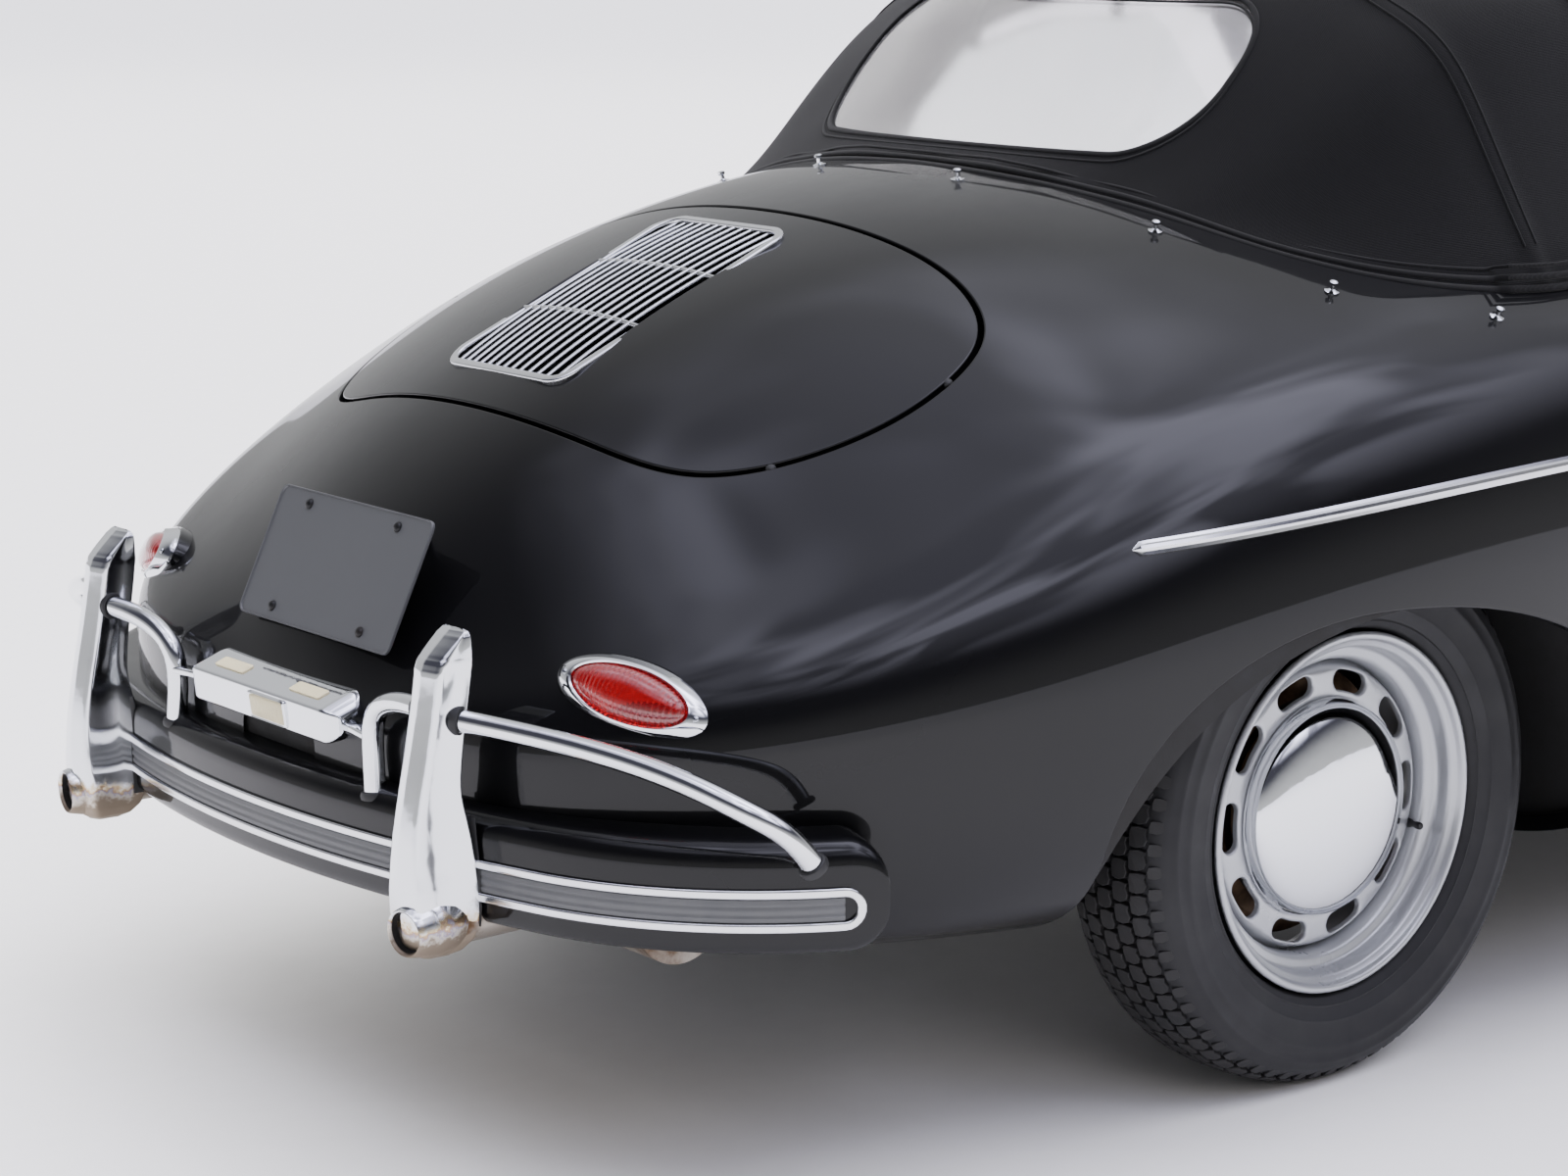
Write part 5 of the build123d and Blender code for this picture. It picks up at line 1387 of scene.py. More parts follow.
# ------------------------------------------------------------------------------------------------ lids and grille
@dataclass
class Lids:
    """The front lid and the engine lid with its louvre of thirteen bright bars."""

    roll: float = 0.0022
    lid_depth: float = 0.012
    grille_x: tuple[float, float] = (-1.5545, -1.2275)
    grille_half: float = 0.110
    corner: float = 0.026
    bars: int = 13
    frame_width: float = 0.011

    def skin(self, name: str, plan: LidPlan, x: tuple[float, float], hole: bool) -> Piece:
        """Cuts a lid's outer skin out of the hull's form.

        Args:
            name: piece and body name.
            plan: its outline.
            x: the x range that it lies in.
            hole: whether the grille's window is cut through it.
        """
        keep = shifted(plan.field(True), LAP - self.roll)
        rows = int((x[1] - x[0]) / 0.008)
        patch = Patch(HULL, np.linspace(HULL.at_x(x[1]), HULL.at_x(x[0]), rows), np.linspace(-4.0, 4.0, 200))
        patch.cut(keep)
        rolled = [keep]
        if hole:
            window = self.window(0.0)
            patch.cut(window)
            rolled.append(window)
        points, normals, faces = patch.panel(PAINT_LIFT, rolled, self.roll, self.lid_depth)
        return as_mesh(f"{name}_skin", points, faces, BLACK_ENAMEL, name, "paint", normals)

    def outline(self, grow: float, count: int = 14) -> Array:
        """Returns the grille's rounded rectangle in x and y, grown outwards."""
        x0, x1 = self.grille_x[0] - grow, self.grille_x[1] + grow
        half, r = self.grille_half + grow, self.corner + grow
        centres = [(x1 - r, half - r, 0), (x0 + r, half - r, 90), (x0 + r, r - half, 180), (x1 - r, r - half, 270)]
        arcs = [np.stack([cx + r * np.cos(a), cy + r * np.sin(a)], 1) for cx, cy, start in centres
                for a in [np.radians(np.linspace(start, start + 90, count))]]
        return np.concatenate(arcs)

    def window(self, grow: float) -> Field:
        """The field outside the grille's window, seen from above."""
        return outline_field(np.zeros(3), AHEAD, LEFT, self.outline(grow), False)

    def grille(self) -> Piece:
        """Lays the frame, the lengthwise bars and the two cross bars on the lid's curve."""
        parts = []
        loop = self.outline(0.001)
        place, normal = HULL.over(loop[:, 0], loop[:, 1])
        rim = bar_section(self.frame_width / 2, -0.003, 0.003, 0.001, 0.003)
        parts.append(ribbon(place + 0.0035 * normal, rim, normal, closed_path=True))
        bar = bar_section(0.0024, -0.004, 0.0015, 0.0008, 0.0022, 4)
        x = np.linspace(self.grille_x[0] + 0.002, self.grille_x[1] - 0.002, 40)
        for y in np.linspace(-self.grille_half, self.grille_half, self.bars + 2)[1:-1]:
            place, normal = HULL.over(x, np.full(len(x), y))
            parts.append(ribbon(place + 0.0005 * normal, bar, normal))
        cross = circle(0.0032, 10)
        y = np.linspace(-self.grille_half, self.grille_half, 24)
        for share in (1 / 3, 2 / 3):
            at = self.grille_x[0] + share * (self.grille_x[1] - self.grille_x[0])
            place, normal = HULL.over(np.full(len(y), at), y)
            parts.append(ribbon(place - 0.0015 * normal, cross, normal))
        made = as_mesh("engine_lid_grille_bars", *join_parts(parts), BRIGHT_ALUMINIUM, "engine_lid", "aluminium")
        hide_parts("engine_grille")
        return made

    def buffers(self) -> Piece:
        """Sets two small rubber buffers on each side in the lid's shut line."""
        parts = []
        for x, y in ((-1.497, 0.409), (-1.300, 0.468)):
            for side in SIDES.values():
                place, normal = HULL.over(np.array([x]), np.array([side * y]))
                parts.append(dome_head(place[0] - 0.002 * normal[0], normal[0], 0.006, 0.004))
        return as_mesh("engine_lid_buffers", *join_parts(parts), SEAL_RUBBER, "chassis", "black_metal")

    def lid_handle(self) -> Piece:
        """Adds the front lid's lift handle, a plain chromed bar on two feet."""
        x = np.linspace(1.50, 1.655, 26)
        place, normal = HULL.over(x, np.zeros(len(x)))
        height = 0.004 + 0.020 * np.sin(np.linspace(0.12, math.pi - 0.10, len(x)))
        bar = bar_section(0.011, -0.004, 0.004, 0.003, 0.004)
        size = 0.55 + 0.45 * np.sin(np.linspace(0.2, math.pi - 0.2, len(x)))
        return as_mesh("front_lid_handle", *ribbon(place + height[:, None] * normal, bar, normal, scale=size), CHROME,
                       "front_lid", "chrome")

    def build(self) -> list[Piece]:
        """Builds both lids and what sits on them."""
        return [
            self.skin("engine_lid", ENGINE_LID, (-1.64, -1.15), hole=True),
            self.skin("front_lid", FRONT_LID, (0.66, 1.72), hole=False),
            self.grille(),
            self.buffers(),
            self.lid_handle(),
        ]


# ------------------------------------------------------------------------------------------------ rear lamps and plate
@dataclass
class RearLamps:
    """Two oval tail lamps, the plate lamp and a blank number plate."""

    lamp: tuple[float, float, float] = (-1.7275, 0.4735, 0.5345)
    turn: float = 150.0
    lean: float = 27.0
    roll: float = 14.0
    bezel: tuple[float, float] = (0.089, 0.0385)
    lens: tuple[float, float] = (0.068, 0.0272)

    def axes(self) -> tuple[Array, Array]:
        """Returns the left lamp's outward and lengthwise directions."""
        turn, lean = math.radians(self.turn), math.radians(self.lean)
        out = np.array([math.cos(turn) * math.cos(lean), math.sin(turn) * math.cos(lean), math.sin(lean)])
        level, roll = unit(np.cross(UP, out)), math.radians(self.roll)
        return out, math.cos(roll) * level + math.sin(roll) * np.cross(out, level)

    def tail_lamps(self) -> list[Piece]:
        """Builds gaskets, bezels with their screws, and ribbed red lenses on both sides."""
        out, along = self.axes()
        place = np.array(self.lamp)
        (a, b), (la, lb) = self.bezel, self.lens
        gasket = self.plinth(place, out, along)
        bezel = oval_stack(place, out, along, [
            (a, b, 0.002), (a + 0.0005, b + 0.0005, 0.005), (a - 0.002, b - 0.002, 0.009),
            (a - 0.009, b - 0.005, 0.014), (la + 0.005, lb + 0.004, 0.0185), (la + 0.002, lb + 0.002, 0.0195),
            (la, lb, 0.0185), (la - 0.002, lb - 0.002, 0.010)], count=96)
        ramp = np.linspace(0, math.pi / 2, 14)
        lens = oval_stack(place, out, along, [
            ((la - 0.0005) * fade, (lb - 0.0005) * fade, 0.014 + 0.019 * math.sin(t))
            for t, fade in ((t, math.cos(t)**0.75 if t < 1.57 else 0.0) for t in ramp)], count=72)
        screws = join_parts([dome_head(place + 0.0155 * out + s * (la + 0.0095) * along, out, 0.0036, 0.002)
                             for s in (-1, 1)])
        made = []
        for name, part, finish, slot, node in (
                ("tail_lamp_plinths", gasket, BLACK_ENAMEL, "paint", None),
                ("tail_lamp_bezels", bezel, CHROME, "chrome", "tail_lamp_bases"),
                ("tail_lamp_glasses", lens, RED_LENS, "red_lens", "tail_lamp_lenses"),
                ("tail_lamp_screws", screws, SCREW_STEEL, "chrome", None)):
            piece = as_mesh(name, *both_sides(part), finish, "chassis", slot)
            if node:
                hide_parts(node)
            made.append(piece)
        return made

    def plinth(self, place: Array, out: Array, along: Array) -> Part:
        """Lofts the lamp's body-coloured plinth: its foot is cast along the lamp's axis onto the wing.

        Args:
            place: the lamp's middle.
            out: its outward direction.
            along: its lengthwise direction.

        Returns:
            The plinth's points and faces.
        """
        rows, turns = 60, 60
        u, t = np.meshgrid(np.linspace(0.80, 1.0, rows), np.linspace(0.6, 6.0, turns), indexing="ij")
        skin = HULL(u.ravel(), t.ravel())
        faces = grid_faces(rows, turns)
        tree = BVHTree.FromPolygons([Vector(p) for p in skin.tolist()], faces.tolist())
        a, b = self.bezel
        turn = np.linspace(0, 2 * math.pi, 97)[:-1]
        up = np.cross(out, along)
        longest, fallback = -0.045, -0.030

        def ring(grow: float, rise: float) -> Array:
            """One oval ring round the lamp's axis."""
            return (place + (a + grow) * np.cos(turn)[:, None] * along + (b + grow) * np.sin(turn)[:, None] * up
                    + rise * out)

        head, foot = ring(0.0025, 0.0), ring(0.0035, 0.0)
        for k in range(len(foot)):
            hit = tree.ray_cast(Vector(foot[k] + 0.05 * out), Vector(-out), 0.16)[0]
            drop = fallback if hit is None else min(max(float((np.array(hit) - foot[k]) @ out), longest), 0.0)
            foot[k] = foot[k] + (drop - 0.003) * out
        return loft(np.array([foot, head, ring(0.0015, 0.0025), ring(-0.003, 0.0030)]))

    def reflectors(self) -> Piece:
        """Backs each lens with a pale reflector, so that the red glows."""
        out, along = self.axes()
        la, lb = self.lens
        part = oval_stack(np.array(self.lamp), out, along, [(la - 0.003, lb - 0.003, 0.004),
                                                          (la - 0.003, lb - 0.003, 0.0115)])
        return as_mesh("tail_lamp_reflectors", *both_sides(part), LAMP_WHITE, "chassis", "chrome")

    def plate_lamp(self) -> list[Piece]:
        """Builds the plate lamp: a long chromed housing with two slots above and a cream window behind."""
        y = np.concatenate([-0.150 + 0.020 * (1 - np.cos(np.linspace(0, math.pi / 2, 8))),
                            np.linspace(-0.128, 0.128, 14),
                            0.150 - 0.020 * (1 - np.cos(np.linspace(math.pi / 2, 0, 8)))])
        fall = np.clip((0.150 - np.abs(y)) / 0.020, 0.0, 1.0)
        scale = np.sqrt(1 - (1 - fall)**2) * 0.82 + 0.18
        section = rounded([(-0.027, -0.022, 0.005), (0.031, -0.020, 0.008), (0.031, 0.032, 0.008),
                           (0.012, 0.032, 0.008), (-0.031, 0.016, 0.004)], 6)
        path = np.stack([np.full(len(y), -1.8600), y, np.full(len(y), 0.4680)], 1)
        shell = ribbon(path, section, UP, scale=scale)
        housing = as_mesh("plate_lamp_housing", *shell, CHROME, "chassis", "chrome")
        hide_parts("plate_lamp")
        glass, rim = (oval_stack(np.array([-1.8885, -0.024, 0.4650]), [-1.0, 0, -0.14], LEFT, rows,
                                 power=14.0) for rows in (
            [(0.034, 0.0125, -0.006), (0.034, 0.0125, 0.0028), (0.032, 0.0110, 0.0040), (0.0, 0.0, 0.0045)],
            [(0.0375, 0.0160, -0.008), (0.0375, 0.0160, 0.002), (0.0360, 0.0145, 0.0038),
             (0.0340, 0.0125, 0.0025)]))
        slots = join_parts([oval_stack(np.array([-1.8695, s, 0.4922]), [-0.349, 0, 0.937], LEFT,
                                       [(0.030, 0.0085, -0.006), (0.030, 0.0085, 0.0012), (0.0285, 0.0070, 0.0018)],
                                       power=12.0) for s in (-0.078, 0.078)])
        window = as_mesh("plate_lamp_window", *glass, CREAM_LENS, "chassis", "amber")
        bezel = as_mesh("plate_lamp_window_rim", *rim, CHROME, "chassis", "chrome")
        openings = as_mesh("plate_lamp_slots", *slots, CREAM_LENS, "chassis", "amber")
        arm = ribbon(smooth_path([(-1.862, -0.135, 0.466), (-1.868, -0.170, 0.468), (-1.871, -0.206, 0.466)]),
                     bar_section(0.010, -0.004, 0.004, 0.003, 0.003), UP)
        arms = as_mesh("plate_lamp_arms", *both_sides(arm), CHROME, "chassis", "chrome")
        return [housing, window, bezel, openings, arms]

    def plate(self) -> list[Piece]:
        """Builds a blank plate with a rolled rim, its bolts and the bracket behind it."""
        origin = np.array([-1.802, -0.030, 0.611])
        out = unit(np.array([-0.900, 0.0, 0.436]))
        along = -LEFT
        up = np.cross(out, along)
        ring = bar_section(0.1525, -0.076, 0.076, 0.012, 0.012, 8)
        levels = [(1.0, -0.0002), (1.0, 0.0022), (0.994, 0.0032), (0.982, 0.0032), (0.975, 0.0018), (0.0, 0.0018)]
        rings = np.stack([origin + h * out + s * (ring[:, :1] * along + ring[:, 1:] * up) for s, h in levels])
        blank = as_mesh("number_plate_blank", *weld(*loft(rings)), PLATE_ENAMEL, "chassis", "plate")
        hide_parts("licence_plate")
        bolt_x, bolt_y = 0.089, 0.060
        bolts = join_parts([dome_head(origin + 0.002 * out + x * along + y * up, out, 0.0062, 0.004)
                            for y in (bolt_y, -bolt_y) for x in (-bolt_x, bolt_x)])
        heads = as_mesh("number_plate_bolts", *bolts, BLACKED_SCREW, "chassis", "black_metal")
        legs = join_parts([ribbon(origin + x * along + 0.058 * up - np.outer([0.001, 0.014, 0.060], out),
                                  circle(0.006, 12), up) for x in (-bolt_x, bolt_x)])
        posts = as_mesh("number_plate_posts", *legs, BLACKED_SCREW, "chassis", "black_metal")
        return [blank, heads, posts]

    def build(self) -> list[Piece]:
        """Builds every piece of the tail's lighting and plate."""
        return [*self.tail_lamps(), self.reflectors(), *self.plate_lamp(), *self.plate()]


# ------------------------------------------------------------------------------------------------ bumpers
@dataclass
class Bumper:
    """A bumper: a broad-shelved enamelled blade with a bright double strip, overriders and tubes.

    The blade's plan is a broad arc, then a tighter one round the corner.
    """

    rear: bool
    face_x: float
    centre_z: float
    first_radius: float = 2.300
    first_turn: float = 15.0
    second_radius: float = 0.420
    second_turn: float = 62.0
    horn_y: float = 0.345
    strip_gap: float = 0.0175
    strip_rise: float = 0.0

    @property
    def tag(self) -> str:
        """Returns the piece names' first word."""
        return "rear" if self.rear else "front"

    @property
    def half_length(self) -> float:
        """Returns the arc length from the middle to one end."""
        tight = math.radians(self.second_turn - self.first_turn) * self.second_radius
        return math.radians(self.first_turn) * self.first_radius + tight

    def along(self, s: Array) -> tuple[Array, Array]:
        """Finds points and outward directions on the blade's face.

        The heading is arc length over radius, and the place is its running sum.

        Args:
            s: arc lengths from the middle, positive to the left.

        Returns:
            Points at the blade's mid height and unit outward vectors.
        """
        fine = np.linspace(0, self.half_length, 1200)
        first = math.radians(self.first_turn) * self.first_radius
        heading = np.where(fine < first, fine / self.first_radius,
                           math.radians(self.first_turn) + (fine - first) / self.second_radius)
        step = fine[1] - fine[0]
        dx = np.concatenate([[0.0], np.cumsum(np.sin(heading[:-1]) * step)])
        dy = np.concatenate([[0.0], np.cumsum(np.cos(heading[:-1]) * step)])
        near = np.abs(s)
        ahead, aside, turn = (np.interp(near, fine, v) for v in (dx, dy, heading))
        aim = -1.0 if self.rear else 1.0
        points = np.stack([self.face_x - aim * ahead, np.sign(s) * aside, np.full(len(s), self.centre_z)], 1)
        outward = np.stack([aim * np.cos(turn), np.sign(s) * np.sin(turn), np.zeros(len(s))], 1)
        return points, outward

    def carry(self, s: Array, section: Array, scale: Array | None = None, out: float = 0.0, rise: float = 0.0) -> Part:
        """Carries a section of (outward, up) along the face.

        Args:
            s: arc lengths.
            section: K by 2, anticlockwise with outward to the right and up upwards.
            scale: factor on the section's height at each step.
            out: how far to stand the whole section off the face.
            rise: how far to raise it.

        Returns:
            Points and faces.
        """
        place, outward = self.along(s)
        size = np.ones(len(s)) if scale is None else scale
        deep = 0.35 + 0.65 * size
        rings = (place[:, None] + (section[None, :, 0] * deep[:, None] + out)[..., None] * outward[:, None]
                 + (section[None, :, 1] * size[:, None] + rise)[..., None] * UP)
        if self.rear:
            rings = rings[::-1]
        return loft(rings)

    def blade(self) -> Piece:
        """Builds the blade with a rounded shoulder, a level shelf and ends that round off."""
        half, half_height = self.half_length, 0.058
        corner = np.linspace(0, math.pi / 2, 12)
        tail = half - 0.042 + 0.042 * np.sin(corner)
        s = np.concatenate([-tail[::-1], np.linspace(-half + 0.05, half - 0.05, 120), tail])
        past = np.clip((np.abs(s) - (half - 0.042)) / 0.042, 0, 1)
        scale = 0.30 + 0.70 * np.sqrt(np.maximum(1 - past**2, 0))
        section = rounded([(-0.030, -half_height, 0.010), (-0.001, -half_height, 0.026),
                           (0.000, 0.0, 0.0), (-0.001, half_height, 0.030), (-0.066, half_height + 0.002, 0.008),
                           (-0.066, half_height - 0.012, 0.004), (-0.030, half_height - 0.014, 0.006)], 7)
        made = as_mesh(f"{self.tag}_bumper_blade", *self.carry(s, section, scale), BLACK_ENAMEL, "chassis", "paint")
        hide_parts(f"{self.tag}_bumper")
        return made

    def strips(self) -> list[Piece]:
        """Lays the bright moulding, one loop with round ends, and the ribbed rubber inside it."""
        half, gap = self.half_length - 0.030, self.strip_gap
        straight = np.linspace(-half + gap, half - gap, 150)
        bend = np.linspace(-math.pi / 2, math.pi / 2, 12)[1:-1]
        s = np.concatenate([straight, half - gap + gap * np.cos(bend), straight[::-1],
                            -half + gap - gap * np.cos(bend)])
        z = np.concatenate([np.full(150, -gap), gap * np.sin(bend), np.full(150, gap), -gap * np.sin(bend)])
        place, outward = self.along(s)
        path = place + 0.001 * outward
        path[:, 2] += z + self.strip_rise
        bead = bar_section(0.0048, -0.002, 0.0035, 0.001, 0.0042, 6)
        loop = ribbon(path, bead, outward, closed_path=True)
        bright = as_mesh(f"{self.tag}_bumper_moulding", *loop, BRIGHT_ALUMINIUM, "chassis", "chrome")
        ribs = np.array([(0.0, -gap + 0.005), (0.002, -gap + 0.006), (0.0028, -0.007), (0.0014, -0.0052),
                         (0.0014, -0.0035), (0.0028, -0.0018), (0.0028, 0.0018), (0.0014, 0.0035),
                         (0.0014, 0.0052), (0.0028, 0.007), (0.002, gap - 0.006), (0.0, gap - 0.005)])
        rubber = self.carry(straight, ribs, rise=self.strip_rise)
        infill = as_mesh(f"{self.tag}_bumper_rubber", *rubber, GREY_RUBBER, "chassis", "black_metal")
        return [bright, infill]

    def horn_rows(self) -> Array:
        """Returns height, outer x, inner x, outer half width and inner half width up the overrider."""
        if self.rear:
            return np.array([
                (0.268, -1.914, -1.886, 0.014, 0.016), (0.273, -1.922, -1.874, 0.023, 0.024),
                (0.285, -1.929, -1.862, 0.0300, 0.0310), (0.310, -1.932, -1.856, 0.0310, 0.0330),
                (0.335, -1.934, -1.857, 0.0285, 0.0320), (0.365, -1.934, -1.860, 0.0245, 0.0295),
                (0.400, -1.931, -1.864, 0.0225, 0.0275), (0.440, -1.924, -1.872, 0.0215, 0.0260),
                (0.485, -1.914, -1.868, 0.0215, 0.0260), (0.530, -1.905, -1.861, 0.0225, 0.0268),
                (0.566, -1.899, -1.856, 0.0240, 0.0275),
                (0.5740, -1.8960, -1.855, 0.0240, 0.0275), (0.5790, -1.8925, -1.855, 0.0236, 0.0272),
                (0.5900, -1.8810, -1.855, 0.0230, 0.0268), (0.6000, -1.8700, -1.855, 0.0220, 0.0258),
                (0.6050, -1.8640, -1.856, 0.0195, 0.0230), (0.6068, -1.8610, -1.858, 0.0140, 0.0160)])
        return np.array([
            (0.283, 1.962, 1.925, 0.017, 0.018), (0.290, 1.971, 1.918, 0.021, 0.024),
            (0.320, 1.977, 1.914, 0.024, 0.0275), (0.360, 1.977, 1.912, 0.0225, 0.0285),
            (0.400, 1.974, 1.912, 0.020, 0.0275), (0.450, 1.964, 1.906, 0.0195, 0.0265),
            (0.490, 1.948, 1.898, 0.021, 0.027), (0.522, 1.932, 1.890, 0.0235, 0.0275),
            (0.538, 1.922, 1.889, 0.0225, 0.0265), (0.545, 1.913, 1.892, 0.017, 0.020)])

    def horns(self) -> list[Piece]:
        """Builds both overriders: a ridged narrow face, flat flanks and a bevelled cap, on a rubber gasket.

        A section is a rounded trapezoid with a low ridge down the middle of its outer face.
        """
        rows = self.horn_rows()
        z = np.interp(np.linspace(0, 1, 110), np.linspace(0, 1, len(rows)), rows[:, 0])
        outer, inner, wo, wi = (np.interp(z, rows[:, 0], rows[:, k]) for k in (1, 2, 3, 4))
        outer, inner, wo, wi = (smoothed(v, even_weights(5)) for v in (outer, inner, wo, wi))
        aim = -1.0 if self.rear else 1.0
        rings = []
        for k in range(len(z)):
            deep = abs(outer[k] - inner[k])
            waist = max(0.0, 1 - abs(z[k] - self.centre_z - 0.012) / 0.085) * 0.0035
            flat = rounded([(-wi[k] - waist, 0.0, 0.003), (-wo[k] + waist * 0.4, deep * 0.5, 0.012),
                            (-wo[k], deep - 0.004, 0.007), (0.0, deep + 0.0015, 0.002), (wo[k], deep - 0.004, 0.007),
                            (wo[k] - waist * 0.4, deep * 0.5, 0.012), (wi[k] + waist, 0.0, 0.003)], 6)
            rings.append(np.stack([inner[k] + aim * flat[:, 1], self.horn_y + flat[:, 0],
                                   np.full(len(flat), z[k])], 1))
        rings = np.array(rings)
        part = loft(rings if self.rear else rings[:, ::-1])
        collar = rings[np.abs(z - self.centre_z) < 0.060]
        middle = collar.mean(1, keepdims=True)
        wide = middle + (collar - middle) * np.array([0.99, 1.09, 1.0])
        plan = self.along(np.linspace(0.0, 0.7, 200))[0]
        limit = np.interp(wide[..., 1], plan[:, 1], plan[:, 0]) + aim * 0.0035
        wide[..., 0] = np.maximum(wide[..., 0], limit) if self.rear else np.minimum(wide[..., 0], limit)
        gasket = loft(wide if self.rear else wide[:, ::-1])
        finish = EXHAUST_CHROME if self.rear else CHROME
        horn = as_mesh(f"{self.tag}_overrider_horns", *both_sides(part), finish, "chassis", "chrome", crease=55)
        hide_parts(f"{self.tag}_overriders")
        seal = as_mesh(f"{self.tag}_overrider_gaskets", *both_sides(gasket), SEAL_RUBBER, "chassis", "black_metal")
        return [horn, seal]

    def exhaust_lips(self) -> list[Piece]:
        """Turns the elbow at each rear overrider's foot, from which the tailpipe blows, and shuts its bore with a dark
        cup: real soot, and painted shade for the open pipe's depth.
        """
        foot, blow = [-1.922, 0.356, 0.301], [-1.0, 0.16, -0.04]
        profile = np.array([(0.0180, -0.050), (0.0290, -0.048), (0.0325, -0.034), (0.0325, -0.016),
                            (0.0300, -0.002), (0.0272, 0.009), (0.0256, 0.0150), (0.0244, 0.0170),
                            (0.0228, 0.0165), (0.0216, 0.013), (0.0210, 0.002), (0.0208, -0.046)])
        lip = lathe(profile, foot, blow, 64)
        # The cup closes the bore 16 mm in: real soot, and painted shade where the open pipe would look dark.
        soot = lathe([(0.0213, 0.0135), (0.0206, 0.002), (0.0203, -0.015), (0.0, -0.016)], foot, blow, 48)
        lips = as_mesh("exhaust_outlet_lips", *both_sides(lip), EXHAUST_CHROME, "chassis", "chrome", crease=60)
        dark = as_mesh("exhaust_outlet_soot_and_shade", *both_sides(soot), SOOT_AND_SHADE, "chassis", "steel")
        wall = np.array([(0.0210, 0.0), (0.0240, 0.0), (0.0240, 0.205), (0.0210, 0.205)])
        pipe = lathe(wall, [-1.700, 0.354, 0.300], -AHEAD, 48)
        both = join_parts([weld(*pipe), weld(*mirrored(pipe))])
        pipes = as_mesh("exhaust_tailpipes", *both, MUFFLER_STEEL, "chassis", "steel")
        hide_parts("tailpipes")
        return [lips, dark, pipes]

    def tubes(self) -> list[Piece]:
        """Bends the chromed tubes from the overriders to the blade, with rubber grommets at their ends."""
        outer = b_spline([(-1.871, 0.366, 0.515), (-1.842, 0.430, 0.510), (-1.812, 0.510, 0.503),
                          (-1.786, 0.580, 0.492), (-1.764, 0.640, 0.477), (-1.742, 0.684, 0.458),
                          (-1.708, 0.704, 0.436), (-1.682, 0.703, 0.400)], 80)
        inner = b_spline([(-1.886, 0.326, 0.522), (-1.882, 0.290, 0.521), (-1.876, 0.244, 0.514),
                          (-1.872, 0.208, 0.492), (-1.870, 0.202, 0.455), (-1.871, 0.206, 0.425),
                          (-1.872, 0.208, 0.402)], 60)
        tubes, grommets = [], []
        ring = np.array([(0.0125, -0.006), (0.0150, -0.005), (0.0160, -0.001), (0.0150, 0.003), (0.0125, 0.004)])
        for path in (outer, inner):
            tubes.append(ribbon(path, circle(TUBE_RADIUS, 24), [0.35, 0.0, 1.0]))
            for spot, toward in ((path[-1], path[-1] - path[-4]), (path[0], path[0] - path[3])):
                grommets.append(lathe(ring, spot, toward, 28))
        bars = as_mesh("rear_bumper_tubes", *both_sides(*tubes), CHROME, "chassis", "chrome")
        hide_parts("rear_bumper_bows")
        rings = as_mesh("bumper_tube_grommets", *both_sides(*grommets), SEAL_RUBBER, "chassis", "black_metal")
        return [bars, rings]

    def brackets(self) -> Piece:
        """Adds the pressed steel irons that carry the blade from the body."""
        aim = -1.0 if self.rear else 1.0
        path = np.array([[self.face_x - aim * 0.062, 0.420, self.centre_z + 0.012],
                         [self.face_x - aim * 0.085, 0.415, self.centre_z + 0.030],
                         [self.face_x - aim * 0.150, 0.400, self.centre_z + 0.052],
                         [self.face_x - aim * 0.215, 0.385, self.centre_z + 0.060]])
        iron = ribbon(b_spline(path, 20), bar_section(0.028, -0.004, 0.004, 0.003, 0.003), UP)
        return as_mesh(f"{self.tag}_bumper_irons", *both_sides(iron), BLACKED_SCREW, "chassis", "black_metal")

    def build(self) -> list[Piece]:
        """Builds the bumper's pieces."""
        made = [self.blade(), *self.strips(), *self.horns(), self.brackets()]
        if self.rear:
            made += [*self.exhaust_lips(), *self.tubes()]
        return made


